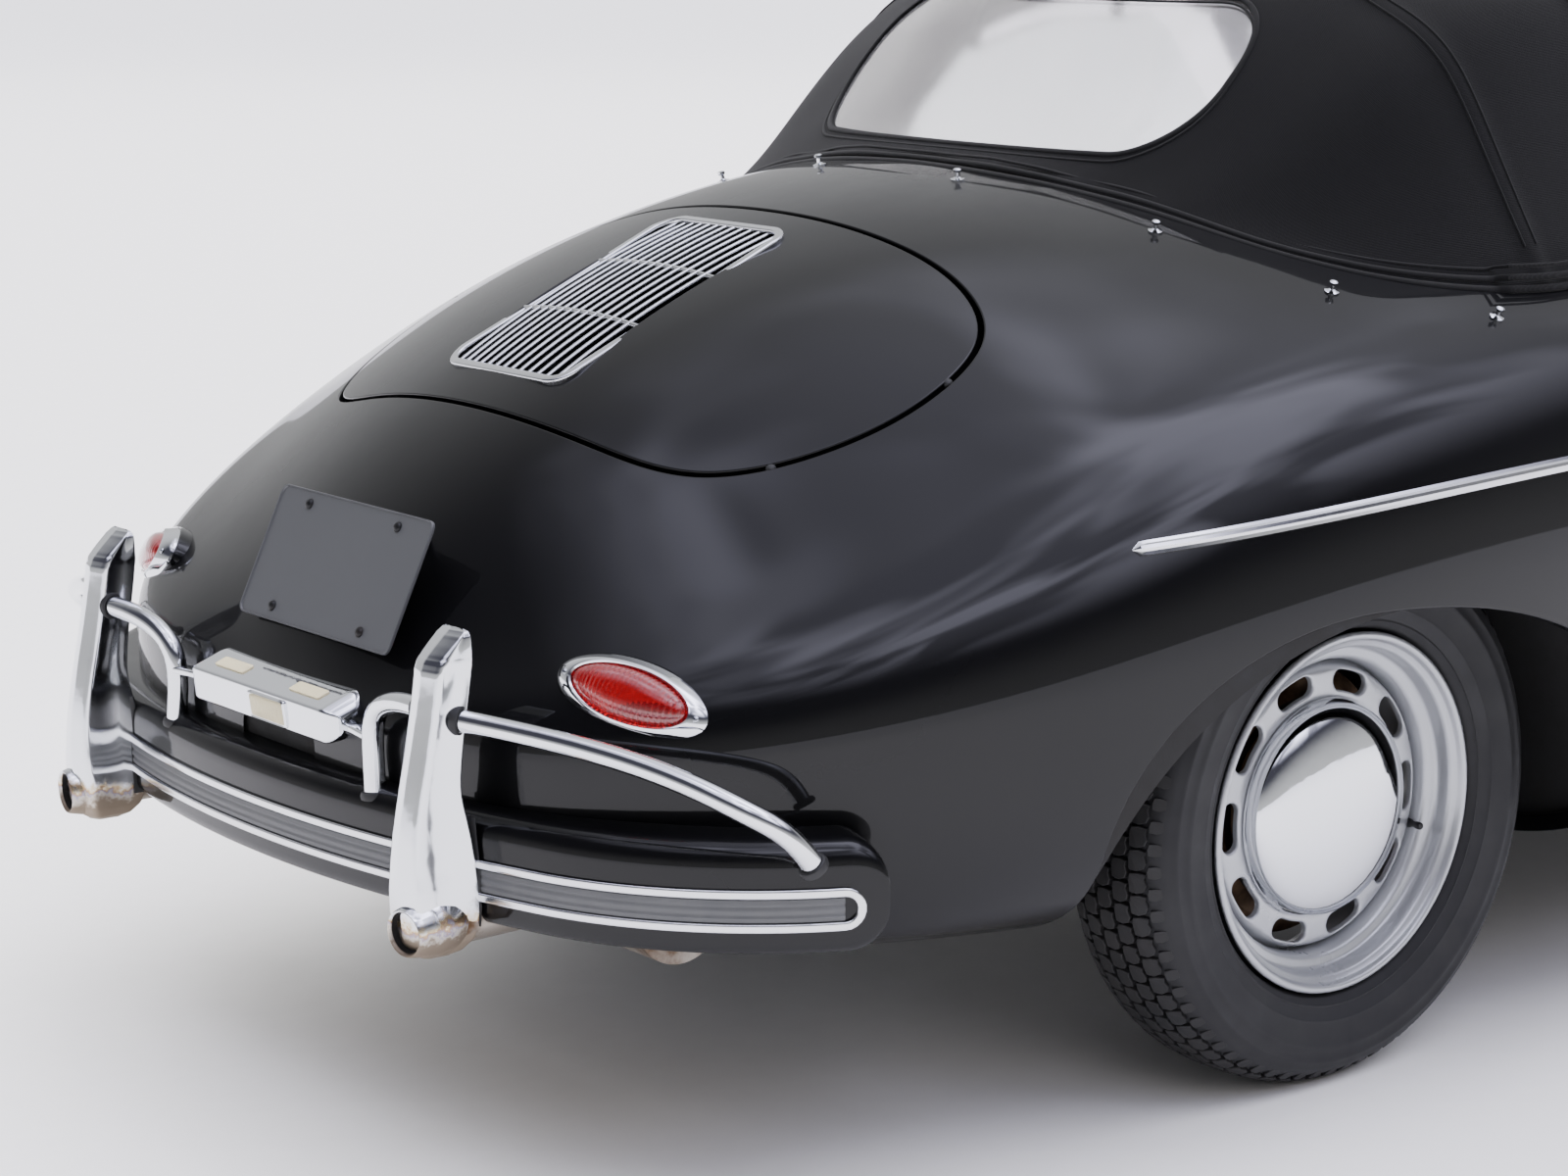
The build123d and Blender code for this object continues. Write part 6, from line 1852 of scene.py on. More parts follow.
# ------------------------------------------------------------------------------------------------ wheels and tyres
@dataclass
class Wheel:
    """A pressed steel wheel with ten oval slots, a domed cap and a block-tread cross-ply tyre."""

    name: str
    x: float
    y: float
    side: int
    slots: int = 10
    slot_ring: float = 0.1455
    slot_half: float = 0.0165
    slot_radius: float = 0.0118
    cap_radius: float = 0.1235
    blocks: int = 76

    @property
    def centre(self) -> Array:
        """Returns the wheel's middle."""
        return np.array([self.x, self.side * self.y, HUB_Z])

    @property
    def axis(self) -> Array:
        """Returns the direction out of the car."""
        return np.array([0.0, float(self.side), 0.0])

    def turned(self, profile: list | Array, segments: int = 128) -> Part:
        """Turns a profile of radius and outward offset, in millimetres, round the axle."""
        return lathe(np.asarray(profile, float) / 1000, self.centre, self.axis, segments)

    def disc(self) -> Piece:
        """Presses the disc: a ring that rises from the rim's well to a flat with ten rolled slots.

        Each tenth is one closed grid of rings: from the tenth's border in to the slot's edge, over the
        slot's rolled lip, and back behind to the border, so that every slot's edge is one smooth loop.
        """
        e1, e2 = square_axes(self.axis)
        radii = np.array([0.108, 0.122, 0.128, 0.133, 0.144, 0.154, 0.1595, 0.1625, 0.1650, 0.1675, 0.170])
        rises = np.array([0.022, 0.0235, 0.0255, 0.0262, 0.0260, 0.0252, 0.0238, 0.0200, 0.0135, 0.0070, 0.0035])
        half, low, high = math.pi / self.slots, 0.108, 0.170
        wide, tall = self.slot_half, self.slot_radius
        flat, step = np.linspace(-1, 1, 21)[:-1], np.linspace(1, -1, 13)[:-1]
        one, other = np.ones(20), np.ones(12)
        middle, reach = (low + high) / 2, (high - low) / 2
        border = np.concatenate([
            np.stack([half * flat, middle + reach * one], 1), np.stack([half * other, middle + reach * step], 1),
            np.stack([-half * flat, middle - reach * one], 1), np.stack([-half * other, middle - reach * step], 1)])
        bend = math.pi / 4 * step
        run = np.abs(flat) * (wide + tall * 0.7071) * np.sign(flat)
        crest = np.where(np.abs(run) < wide, tall, np.sqrt(np.maximum(tall**2 - (np.abs(run) - wide)**2, 0)))
        hole = np.concatenate([
            np.stack([run, crest], 1), np.stack([wide + tall * np.cos(bend), tall * np.sin(bend)], 1),
            np.stack([-run, -crest], 1), np.stack([-wide - tall * np.cos(bend), -tall * np.sin(bend)], 1)])

        def ring(share: float, grow: float, sink: float) -> Array:
            """One loop of angle, radius and rise: from the border, 0, to the slot grown by `grow`, 1."""
            core = np.stack([np.clip(hole[:, 0], -wide, wide), 0 * hole[:, 1]], 1)
            edge = hole + grow * unit(hole - core)
            loop = np.stack([edge[:, 0] / self.slot_ring, self.slot_ring + edge[:, 1]], 1)
            at = (1 - share) * border + share * loop
            return np.stack([at[:, 0], at[:, 1], cubic_through(radii, rises, at[:, 1]) - sink], 1)

        front = [ring(k, 0.0030, 0.0) for k in np.linspace(0, 1, 7)]
        lip = [ring(1, g, d) for g, d in ((0.0018, 0.0003), (0.0008, 0.0010), (0.0002, 0.0022), (0.0, 0.0036),
                                          (0.0, 0.0080), (0.0022, 0.0080), (0.0024, 0.0045))]
        back = [ring(k, 0.0036, 0.0032) for k in np.linspace(1, 0, 4)]
        loops = np.array([*front, *lip, *back])
        flat_points, count = loops.reshape(-1, 3), len(loops)
        kept = np.ones((count, 64), bool)
        kept[-1, 20:32] = kept[-1, 52:] = False
        faces = grid_faces(count, 64, wrap_rows=True, wrap_columns=True).reshape(count, 64, 4)[kept][:, ::-1]
        parts = []
        for k in range(self.slots):
            turn = flat_points[:, 0] + 2 * half * k
            parts.append((self.centre + (flat_points[:, 1] * np.cos(turn))[:, None] * e1
                          + (flat_points[:, 1] * np.sin(turn))[:, None] * e2
                          + flat_points[:, 2:] * self.axis, [faces]))
        return as_mesh(f"{self.name}_disc", *weld(*join_parts(parts), grid=1e-5), SILVER_ENAMEL, self.name,
                       "wheel_silver", crease=50)

    def rim(self) -> Piece:
        """Rolls the rim: a well, two seats and curled edges, as a closed three-millimetre section."""
        outside = [(206.5, 60), (207.5, 62.5), (206.6, 65), (203.5, 66.3), (200, 65.6), (198.2, 63.2), (197.2, 60),
                   (195.6, 57.9), (191.2, 56.4), (189, 54.6), (188.1, 51), (187.4, 44), (186.8, 38.5), (185.4, 35.8),
                   (182.5, 34.6), (176.5, 33.6), (173.2, 32), (171.4, 29), (170.2, 24.5), (169, 20), (168.6, 10),
                   (168.6, -18), (172, -24), (183, -30), (186, -34), (187.5, -50), (192, -55), (198, -57),
                   (203, -62), (207, -61)]
        inside = [(207, -57), (200, -54), (193, -51), (191, -46), (190, -31), (186, -27), (174, -21),
                  (172, -16), (172, 18), (174, 22.5), (180, 26), (187, 30), (189.5, 35), (190.5, 50),
                  (193, 53.5), (198, 55), (203, 56.5)]
        loop = np.array([*outside, *inside])[::-1]
        made = as_mesh(f"{self.name}_rim", *self.turned(np.concatenate([loop, loop[:1]])), SILVER_ENAMEL, self.name,
                       "wheel_silver", crease=50)
        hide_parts(self.name)
        return made

    def cap(self) -> list[Piece]:
        """Spins the chromed cap and adds the valve and the hub's dark middle behind the slots."""
        r = self.cap_radius * 1000
        dome = [(r * math.sin(t), 34.0 + 37.5 * math.cos(t)**0.92) for t in np.linspace(1.50, 0.02, 26)]
        profile = [(r - 4, 22.5), (r + 1.5, 24.5), (r + 3.0, 27.5), (r + 2.4, 31.0), *dome, (0, 71.5)]
        shell = as_mesh(f"{self.name}_cap", *self.turned(profile), CHROME, self.name, "chrome", crease=60)
        hub = as_mesh(f"{self.name}_drum", *self.turned([
            (62, -33), (150, -33), (156, -30), (157, -27), (157, -23), (155, -20.5), (151, -20), (149, -18),
            (146, -17.5), (144, -15.5), (141, -15), (139, -13), (126, -12), (118, -8), (112, 3), (112, 13),
            (0, 13)], 96), DRUM_IRON, self.name, "cast", crease=40)
        angle = math.radians(163)
        e1, e2 = square_axes(self.axis)
        foot = self.centre + 0.166 * (math.cos(angle) * e1 + math.sin(angle) * e2) + 0.020 * self.axis
        lean = self.axis * 0.9 - 0.42 * (math.cos(angle) * e1 + math.sin(angle) * e2)
        stem = lathe(np.array([(5.5, -4), (5.0, 4), (3.4, 8), (3.4, 22), (4.3, 23), (4.3, 31), (3.0, 33.5),
                               (0, 34)]) / 1000, foot, lean, 20)
        valve = as_mesh(f"{self.name}_valve", *stem, SEAL_RUBBER, self.name, "black_metal")
        return [shell, hub, valve]

    def carcass(self) -> Piece:
        """Turns the tyre's body: fine moulding lines on the wall, no lettering, and a groove floor."""
        wall = [(209.5, 52), (210.5, 58), (214, 63.5), (218, 66.5), (220, 69.6), (222.5, 69.0), (225, 70.2),
                (235, 74.3), (236.5, 75.8), (238.5, 76.0), (240, 75.9), (252, 79.2), (262, 80.6), (264, 81.6),
                (267, 81.6), (269, 80.6), (279, 78.8), (281, 79.6), (283.5, 79.0), (285, 77.4), (291, 74.5),
                (297, 70), (301, 64), (304.5, 56), (307.5, 45), (309.6, 30), (310.4, 15), (310.6, 0)]
        wall = np.array(wall)
        whole = np.concatenate([wall, (wall * [1, -1])[::-1][1:]])
        inner = np.array([(200, -50), (191.5, -40), (191.5, 40), (200, 50)])
        loop = np.concatenate([whole[::-1], inner, whole[-1:]])
        made = as_mesh(f"{self.name}_tyre_body", *self.turned(loop, 160), TYRE_RUBBER, self.name, "tyre", crease=38)
        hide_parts(self.name.replace("wheel", "tyre"))
        return made

    def tread(self) -> Piece:
        """Moulds the tread: seven rings of zig-zag blocks wrapped over the crown and shoulders.

        A block's outline is laid on the tread's developed width, and each corner stands on the tread's
        profile at that width, raised along the profile's own normal.
        """
        line = np.array([(318.0, -0.01), (318, 12), (317.5, 24), (316, 36), (313, 48), (308, 58), (301, 66.5),
                         (293, 73.5), (286, 77.5)])
        span = np.concatenate([[0.0], np.cumsum(np.hypot(*(line[1:] - line[:-1]).T))])
        slope = np.gradient(line, span, axis=0)
        normal = unit(np.stack([slope[:, 1], -slope[:, 0]], 1))
        outline = np.array([(-11.6, -9.2), (-2, -11.4), (5, -8.6), (10.8, -10.6), (12.8, -1.0), (9.6, 8.2),
                            (2.5, 11.2), (-5, 8.6), (-11.2, 10.4), (-13.0, 0.6)])
        levels = [(1.0, -8.5), (0.97, -0.7), (0.90, 0.0)]
        rows = [(0.0, 0.0), (24.5, 0.5), (-24.5, 0.5), (48.0, 0.0), (-48.0, 0.0), (68.5, 0.5), (-68.5, 0.5)]
        e1, e2 = square_axes(self.axis)
        parts = []
        for across, phase in rows:
            shoulder = abs(across) > 60
            shape = outline * ([0.62, 0.80] if shoulder else [1.0, 1.0])
            shape = shape * ([1, 1] if across >= 0 else [-1, 1])
            angle = (np.arange(self.blocks) + phase) * 2 * math.pi / self.blocks
            rings = []
            for size, rise in levels:
                spot = shape * size
                width = across + spot[:, 1]
                near = np.abs(width)
                radius = np.interp(near, span, line[:, 0]) + rise * np.interp(near, span, normal[:, 0])
                out = np.sign(width) * (np.interp(near, span, line[:, 1]) + rise * np.interp(near, span, normal[:, 1]))
                turn = angle[:, None] + spot[None, :, 0] / 318.0
                place = (radius[None, :, None] * (np.cos(turn)[..., None] * e1 + np.sin(turn)[..., None] * e2)
                         + out[None, :, None] * self.axis)
                rings.append(self.centre + place / 1000)
            block = np.stack(rings, 1)
            count, depth, corners = block.shape[:3]
            base = (np.arange(count) * depth * corners)[:, None, None]
            side = grid_faces(depth, corners, wrap_columns=True)[None] + base
            top = (depth - 1) * corners + np.arange(corners)
            quads = np.stack([np.full(corners // 2 - 1, top[0]), top[1:-2:2], top[2:-1:2], top[3::2]], 1)[None]
            points = block.reshape(-1, 3)
            flip = 1 if across >= 0 else -1
            parts.append((points, [side.reshape(-1, 4)[:, ::-flip], (quads + base).reshape(-1, 4)[:, ::flip]]))
        return as_mesh(f"{self.name}_tread_blocks", *join_parts(parts), TREAD_RUBBER, self.name, "tyre", smooth=False)

    def build(self) -> list[Piece]:
        """Builds the wheel and its tyre."""
        return [self.rim(), self.disc(), *self.cap(), self.carcass(), self.tread()]


def cubic_through(x: Array, y: Array, at: Array) -> Array:
    """Evaluates a smooth curve through points: Hermite cubics with central-difference slopes."""
    slope = np.gradient(y, x)
    i = np.clip(np.searchsorted(x, at) - 1, 0, len(x) - 2)
    h = x[i + 1] - x[i]
    t = (at - x[i]) / h
    return ((2 * t**3 - 3 * t**2 + 1) * y[i] + (t**3 - 2 * t**2 + t) * h * slope[i]
            + (3 * t**2 - 2 * t**3) * y[i + 1] + (t**3 - t**2) * h * slope[i + 1])


# ------------------------------------------------------------------------------------------------ the canvas top
TOP_ROWS_MM = (
    (235, 1190, 300, 1188, 545, 1165, 662, 900), (200, 1205, 300, 1200, 545, 1175, 664, 900),
    (80, 1258, 300, 1250, 545, 1205, 668, 900), (-120, 1292, 305, 1284, 535, 1222, 672, 895),
    (-350, 1294, 305, 1284, 540, 1215, 682, 885), (-520, 1280, 300, 1262, 530, 1170, 684, 872),
    (-640, 1235, 295, 1210, 515, 1105, 672, 870), (-740, 1150, 285, 1122, 475, 1028, 642, 872),
    (-820, 1066, 270, 1045, 420, 980, 577, 892), (-890, 1010, 230, 996, 340, 960, 467, 922),
    (-945, 994, 150, 988, 225, 972, 302, 952), (-955, 988, 110, 980, 190, 965, 252, 947),
)


@dataclass
class CanvasTop:
    """The raised top: one sewn canvas sheet drawn over three bows, its lining, window and bindings.

    The sheet's form is a spline net like the hull's: u runs from the screen to the tail, and v from 0
    at the crown to 1 at the waist, positive on the left; past 1 it drops straight down.
    """

    bows: tuple[float, ...] = (-0.060, -0.330, -0.560)
    window_half: float = 0.330
    window_height: float = 0.178
    window_corner: float = 0.082
    window_z: float = 1.110
    lift: float = 0.0012

    def form(self, u: Array, v: Array) -> Array:
        """Returns the sheet's points: the net's surface, raised over each bow and slack between."""
        rows = np.array(TOP_ROWS_MM, float) / 1000
        x, zc, yr, zr, ys, zs, yf, zf = (clamped_weights(len(rows), u) @ rows).T
        half = [(0 * x, zc), (0.55 * yr, zc), (yr, zr), (0.5 * (yr + ys), 0.45 * zr + 0.55 * zs), (ys, zs),
                (0.62 * ys + 0.38 * yf, 0.55 * zs + 0.45 * zf), (yf, zf)]
        weights = clamped_weights(7, np.minimum(np.abs(v), 1.0))
        y = np.einsum("nk,kn->n", weights, np.array([p[0] for p in half]))
        z = np.einsum("nk,kn->n", weights, np.array([p[1] for p in half]))
        drop = np.maximum(np.abs(v) - 1.0, 0.0)
        wave = sum(np.exp(-((x - bow) / 0.016)**2) for bow in self.bows)
        slack = np.sin(math.pi * np.clip((x + 0.56) / 0.9, 0, 1))**2
        pull = 0.0011 * np.sin(x * 46 + 9 * np.abs(y)) * np.clip(-(x + 0.42) / 0.2, 0, 1)
        rise = 0.0035 * wave - 0.003 * slack * (1 - wave) + pull * np.clip(1.2 - np.abs(v), 0, 1)
        lean = np.minimum(np.abs(v), 1.0)
        y = y + rise * lean
        z = z + rise * (1 - lean**2) - 0.75 * drop
        return np.stack([x, np.sign(v) * y, z], 1)

    def above_body(self, p: Array) -> Array:
        """Height over the hull's upper skin, less the depth that the foot tucks in."""
        place, _ = HULL.over(p[:, 0], np.clip(p[:, 1], -0.80, 0.80))
        return p[:, 2] - place[:, 2] + 0.004

    def side_opening(self) -> Field:
        """The field outside the door windows' openings."""
        outline = rounded([(0.45, 0.70, 0), (0.45, 1.128, 0), (0.130, 1.128, 0.05), (0.060, 1.158, 0.05),
                           (-0.150, 1.162, 0.05), (-0.300, 1.130, 0.10), (-0.372, 1.060, 0.10),
                           (-0.400, 0.960, 0.05), (-0.395, 0.70, 0)], 6)
        return outline_field(np.zeros(3), AHEAD, UP, outline, False)

    def window_field(self, grow: float, inside: bool) -> Field:
        """The field of the rear window's rounded rectangle, seen from behind."""
        half_y, half_z, r = self.window_half + grow, self.window_height / 2 + grow, self.window_corner + grow
        sign = 1.0 if inside else -1.0

        def distance(p: Array) -> Array:
            dy, dz = np.abs(p[:, 1]) - (half_y - r), np.abs(p[:, 2] - self.window_z) - (half_z - r)
            out = np.hypot(np.maximum(dy, 0), np.maximum(dz, 0)) + np.minimum(np.maximum(dy, dz), 0) - r
            return np.where(p[:, 0] < -0.54, -sign * out, -sign)

        return distance

    def cut_sheet(self) -> Patch:
        """Meshes the sheet and cuts its foot, door openings and rear window."""
        patch = Patch(self.form, np.linspace(0.004, 0.999, 190), np.linspace(-1.16, 1.16, 300))
        patch.cut(self.above_body)
        patch.cut(self.side_opening())
        return patch.cut(self.window_field(0.0, False))

    def canvas(self) -> Piece:
        """Builds the canvas with its hems turned in."""
        patch = self.cut_sheet()
        hems = [self.side_opening(), self.window_field(0.0, False), lambda p: 0.2349 - p[:, 0], self.above_body]
        points, normals, faces = patch.panel(self.lift, hems, radius=0.0025, depth=0.004)
        made = as_mesh("canvas_top", points, faces, CANVAS, "chassis", "canvas", normals, self.cloth_uv(points))
        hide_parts("soft_top")
        self.declare(made, patch.points(), patch.triangles, 1.90)
        return made

    @staticmethod
    def declare(made: Piece, points: Array, triangles: Array, width: float) -> None:
        """Does nothing: a sheet's flat size, its width and the length that its own area gives, is not stated.

        Args:
            made: the piece; not used.
            points: the cut sheet's points; not used.
            triangles: its faces; not used.
            width: the wrap from waist to waist; not used.
        """

    @staticmethod
    def cloth_uv(points: Array) -> Array:
        """Lays the weave in metres: lengths along the car and the wrap across it."""
        turn = np.arctan2(points[:, 1], points[:, 2] - 0.80) * 0.52
        fall = points[:, 0] - 0.9 * np.clip(1.25 - points[:, 2], 0, 1) * np.clip(-points[:, 0] - 0.5, 0, 1)
        return np.stack([fall, turn], 1)

    def lining(self) -> Piece:
        """Hangs the headlining under the canvas."""
        patch = self.cut_sheet()
        patch.cut(beyond(0, 0.218, ahead=False))
        patch.sign = -1.0
        normals = patch.normals()
        points = patch.points() + 0.0085 * normals
        made = as_mesh("headlining", points, [patch.triangles[:, ::-1]], LINING, "chassis", "canvas", normals,
                       self.cloth_uv(points))
        self.declare(made, points, patch.triangles, 1.85)
        return made

    def frame_irons(self) -> Piece:
        """Bends three hoops under the canvas, and a flat rail along each door opening to the rear pivot.

        A hoop is the canvas's own line at one station, drawn 18 mm inwards; a rail's width across the car
        comes from the nearest of a table of the canvas's points.
        """
        table = np.linspace(0.004, 0.999, 400)
        crown = self.form(table, np.zeros(400))[:, 0]
        across = np.linspace(-1.12, 1.12, 181)
        parts = []
        for station, low in ((-0.060, 1.128), (-0.330, 1.090), (-0.560, 0.960)):
            u = float(np.interp(-station, -crown, table))
            line = self.form(np.full(181, u), across)
            line = line + 0.018 * unit(np.array([station, 0.0, 0.700]) - line)
            parts.append(ribbon(line[line[:, 2] > low], circle(0.009, 14), AHEAD))
        cells = self.form(np.repeat(table, 120), np.tile(np.linspace(0.3, 1.12, 120), 400))
        rail = b_spline([(-0.432, 0.0, 0.872), (-0.425, 0.0, 0.960), (-0.392, 0.0, 1.062),
                         (-0.310, 0.0, 1.146), (-0.150, 0.0, 1.176), (0.050, 0.0, 1.172),
                         (0.130, 0.0, 1.146), (0.185, 0.0, 1.146)], 60)
        near = np.hypot(cells[None, :, 0] - rail[:, None, 0], cells[None, :, 2] - rail[:, None, 2]).argmin(1)
        rail[:, 1] = smoothed(cells[near, 1] - 0.020, even_weights(7))
        bar = ribbon(rail, bar_section(0.008, -0.0025, 0.0025, 0.002, 0.002), [0.0, 1.0, 0.35])
        pivot = lathe([(0.0, -0.004), (0.016, -0.004), (0.016, 0.003), (0.011, 0.006), (0.0, 0.0065)],
                      rail[0], LEFT, 28)
        parts += [bar, mirrored(bar), pivot, mirrored(pivot)]
        made = as_mesh("hood_hoops_and_rails", *join_parts(parts), HOOP_PAINT, "chassis", "black_metal")
        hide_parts("top_bows")
        return made

    def window(self) -> Piece:
        """Cuts the window from clear vinyl that ripples a little between its hems."""
        patch = Patch(self.form, np.linspace(0.35, 0.98, 110), np.linspace(-0.80, 0.80, 200))
        patch.cut(self.window_field(0.010, True))
        base, normal = patch.points(), patch.normals()
        edge = np.clip(self.window_field(0.0, True)(base) / 0.05, 0, 1)
        ripple = 0.0016 * np.sin(base[:, 1] * 17 + base[:, 2] * 9) + 0.0010 * np.sin(base[:, 1] * 41 - base[:, 2] * 23)
        points = base + (ripple * edge - 0.0012)[:, None] * normal
        back = points - 0.0009 * normal
        count = len(points)
        rim = patch.border()
        faces = [patch.triangles, patch.triangles[:, ::-1] + count]
        side = np.stack([rim[:, 1], rim[:, 0], rim[:, 0] + count, rim[:, 1] + count], 1)
        made = as_mesh("rear_window_vinyl", np.concatenate([points, back]), [np.concatenate(faces), side], VINYL,
                       "chassis", "vinyl")
        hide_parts("rear_window")
        return made

    @staticmethod
    def edge_line(patch: Patch, keep: Field, order: Callable[[Array], Array], count: int) -> tuple[Array, Array]:
        """Finds a cut edge as an ordered, evenly stepped line on the sheet.

        Args:
            patch: the cut sheet.
            keep: the field whose zero the edge lies on.
            order: a value that rises along the edge.
            count: points wanted.

        Returns:
            Points and normals.
        """
        spots = np.unique(patch.border())
        points, normals = patch.points()[spots], patch.normals()[spots]
        near = np.abs(keep(points)) < 0.002
        points, normals = points[near], normals[near]
        rank = np.argsort(order(points))
        points, normals = points[rank], normals[rank]
        span = np.concatenate([[0.0], np.cumsum(np.linalg.norm(np.diff(points, axis=0), axis=1))])
        even = np.linspace(0, span[-1], count)
        return (np.stack([np.interp(even, span, points[:, k]) for k in range(3)], 1),
                unit(np.stack([np.interp(even, span, normals[:, k]) for k in range(3)], 1)))

    def bindings(self) -> list[Piece]:
        """Sews the double welt above the foot, the hem round the window and the seam over the rear bow."""
        patch = self.cut_sheet()
        made = []

        def low(p: Array) -> Array:
            return np.where(p[:, 0] < -0.40, self.above_body(p), 1.0)

        place, normal = self.edge_line(patch, low, lambda p: np.arctan2(p[:, 1], -(p[:, 0] + 0.40)), 320)
        place = np.stack([smoothed(v, even_weights(9)) for v in place.T], 1)
        inward = unit(UP - normal * normal[:, 2:])
        for name, rise, size in (("foot_piping", 0.0085, 0.0048), ("foot_welt", 0.0225, 0.0042),
                                 ("foot_binding_edge", 0.036, 0.0024)):
            line = place + rise * inward + (self.lift + 0.0012) * normal
            piping = ribbon(line, circle(size, 10) * [1.0, 0.62], normal)
            made.append(as_mesh(f"canvas_{name}", *piping, CANVAS_TAPE, "chassis", "canvas"))
        shut = self.window_field(0.0, False)
        place, normal = self.edge_line(patch, shut, lambda p: np.arctan2(p[:, 2] - self.window_z, p[:, 1]), 300)
        middle = np.array([0.0, 0.0, self.window_z])
        away = place - middle
        away = unit(away - (away * normal).sum(1, keepdims=True) * normal)
        for name, out, size, flat in (("window_hem", 0.004, 0.0040, 0.45), ("window_hem_seam", 0.016, 0.0019, 0.6)):
            line = place + out * away + (self.lift + 0.0006) * normal
            hem = ribbon(line, circle(size, 10) * [1.0, flat], normal, closed_path=True)
            made.append(as_mesh(f"canvas_{name}", *hem, CANVAS_TAPE, "chassis", "canvas"))
        for k, bow in enumerate(self.bows[1:]):
            v = np.linspace(-1.0, 1.0, 200)
            table = np.linspace(0, 1, 900)
            u = np.interp(-bow, -self.form(table, np.zeros(900))[:, 0], table)
            for j, shift in enumerate((-0.009, 0.009)):
                near = np.clip(u + shift / 1.2, 0, 1)
                line = self.form(np.full(len(v), near), v)
                ahead = self.form(np.full(len(v), near + 1e-3), v) - line
                across = np.gradient(line, axis=0)
                normal = unit(np.cross(ahead, across))
                normal *= np.sign((normal * (line - [line[:, 0].mean(), 0, 0.8])).sum(1, keepdims=True))
                keep = (self.above_body(line) > 0.03) & (self.side_opening()(line) > 0.01)
                path = (line + (self.lift + 0.0006) * normal)[keep]
                seam = ribbon(path, circle(0.0016, 8), normal[keep])
                made.append(as_mesh(f"canvas_bow_seam_{k}{j}", *seam, CANVAS_TAPE, "chassis", "canvas"))
        return made

    def studs(self) -> Piece:
        """Sets chromed turn-button studs along the tail side of the top's foot."""
        parts = []
        profile = [(0.0085, -0.001), (0.0085, 0.0022), (0.0050, 0.0032), (0.0030, 0.0046), (0.0028, 0.0095),
                   (0.0048, 0.0110), (0.0050, 0.0135), (0.0030, 0.0150), (0.0, 0.0152)]
        for x, y in ((-0.981, 0.128), (-0.920, 0.399), (-0.843, 0.601), (-0.682, 0.704)):
            for side in SIDES.values():
                place, normal = HULL.over(np.array([x]), np.array([side * y]))
                parts.append(lathe(profile, place[0] + 0.001 * normal[0], normal[0], 18))
        return as_mesh("top_turn_buttons", *join_parts(parts), CHROME, "chassis", "chrome")

    def build(self) -> list[Piece]:
        """Builds the top's pieces."""
        return [self.canvas(), self.lining(), self.frame_irons(), self.window(), *self.bindings(), self.studs()]


# ------------------------------------------------------------------------------------------------ body trim
@dataclass
class Trim:
    """Bright mouldings on the wings and doors, and the doors' pull handles and locks."""

    section: tuple[tuple[float, float], ...] = (
        (-0.0085, 0.0), (0.0085, 0.0), (0.0080, 0.0026), (0.0045, 0.0034), (0.0018, 0.0058), (-0.0018, 0.0058),
        (-0.0045, 0.0034), (-0.0080, 0.0026))
    end_run: float = 0.012

    def strip(self, x: Array, z: Array) -> Part:
        """Lays the ridged moulding on the left side at given heights, its ends rounded off."""
        place, normal = HULL.beside(x, z)
        end = np.clip(np.minimum(x - x[0], x[-1] - x) / self.end_run, 0, 1)
        size = np.sqrt(1 - (1 - end)**2) * 0.9 + 0.1
        return ribbon(place + 0.0012 * normal, np.array(self.section), normal, scale=size)

    def side_strips(self) -> Piece:
        """Runs the moulding along the rear and front wings, its height a quarter of a sine wave."""
        parts = []
        for x0, x1, z0, z1 in ((-1.287, -0.470, 0.671, 0.710), (0.530, 1.450, 0.706, 0.640)):
            x = np.linspace(x0, x1, 110)
            part = self.strip(x, z0 + (z1 - z0) * np.sin((x - x0) / (x1 - x0) * math.pi / 2))
            parts += [part, mirrored(part)]
        return as_mesh("side_mouldings", *join_parts(parts), BRIGHT_ALUMINIUM, "chassis", "chrome", crease=28)

    def door_parts(self) -> list[Piece]:
        """Carries the side moulding over each door and adds the door's pull handle and lock."""
        x = np.linspace(-0.390, 0.492, 100)
        strip = self.strip(x, np.full(len(x), 0.7085))
        grip = np.linspace(-0.300, -0.165, 40)
        spot, out = HULL.beside(grip, np.full(len(grip), 0.795))
        arch = np.sin(np.linspace(0, 1, 40) * math.pi)
        stand = 0.003 + 0.030 * np.minimum(arch * 2.2, 1.0)**0.8
        bar = ribbon(spot + stand[:, None] * out, bar_section(0.008, -0.004, 0.004, 0.003, 0.004), out,
                     scale=0.8 + 0.35 * arch)
        place, facing = HULL.beside(np.array([-0.318]), np.array([0.795]))
        lock = lathe([(0.011, -0.002), (0.011, 0.002), (0.009, 0.004), (0.0, 0.0042)], place[0], facing[0], 28)
        made = []
        for name, side in SIDES.items():
            for label, part, finish in (("moulding", strip, BRIGHT_ALUMINIUM), ("handle", bar, CHROME),
                                        ("lock", lock, CHROME)):
                shown = part if side > 0 else mirrored(part)
                made.append(as_mesh(f"door_{label}_{name}", *shown, finish, f"door_{name}", "chrome"))
        return made

    def build(self) -> list[Piece]:
        """Builds the trim."""
        return [self.side_strips(), *self.door_parts()]


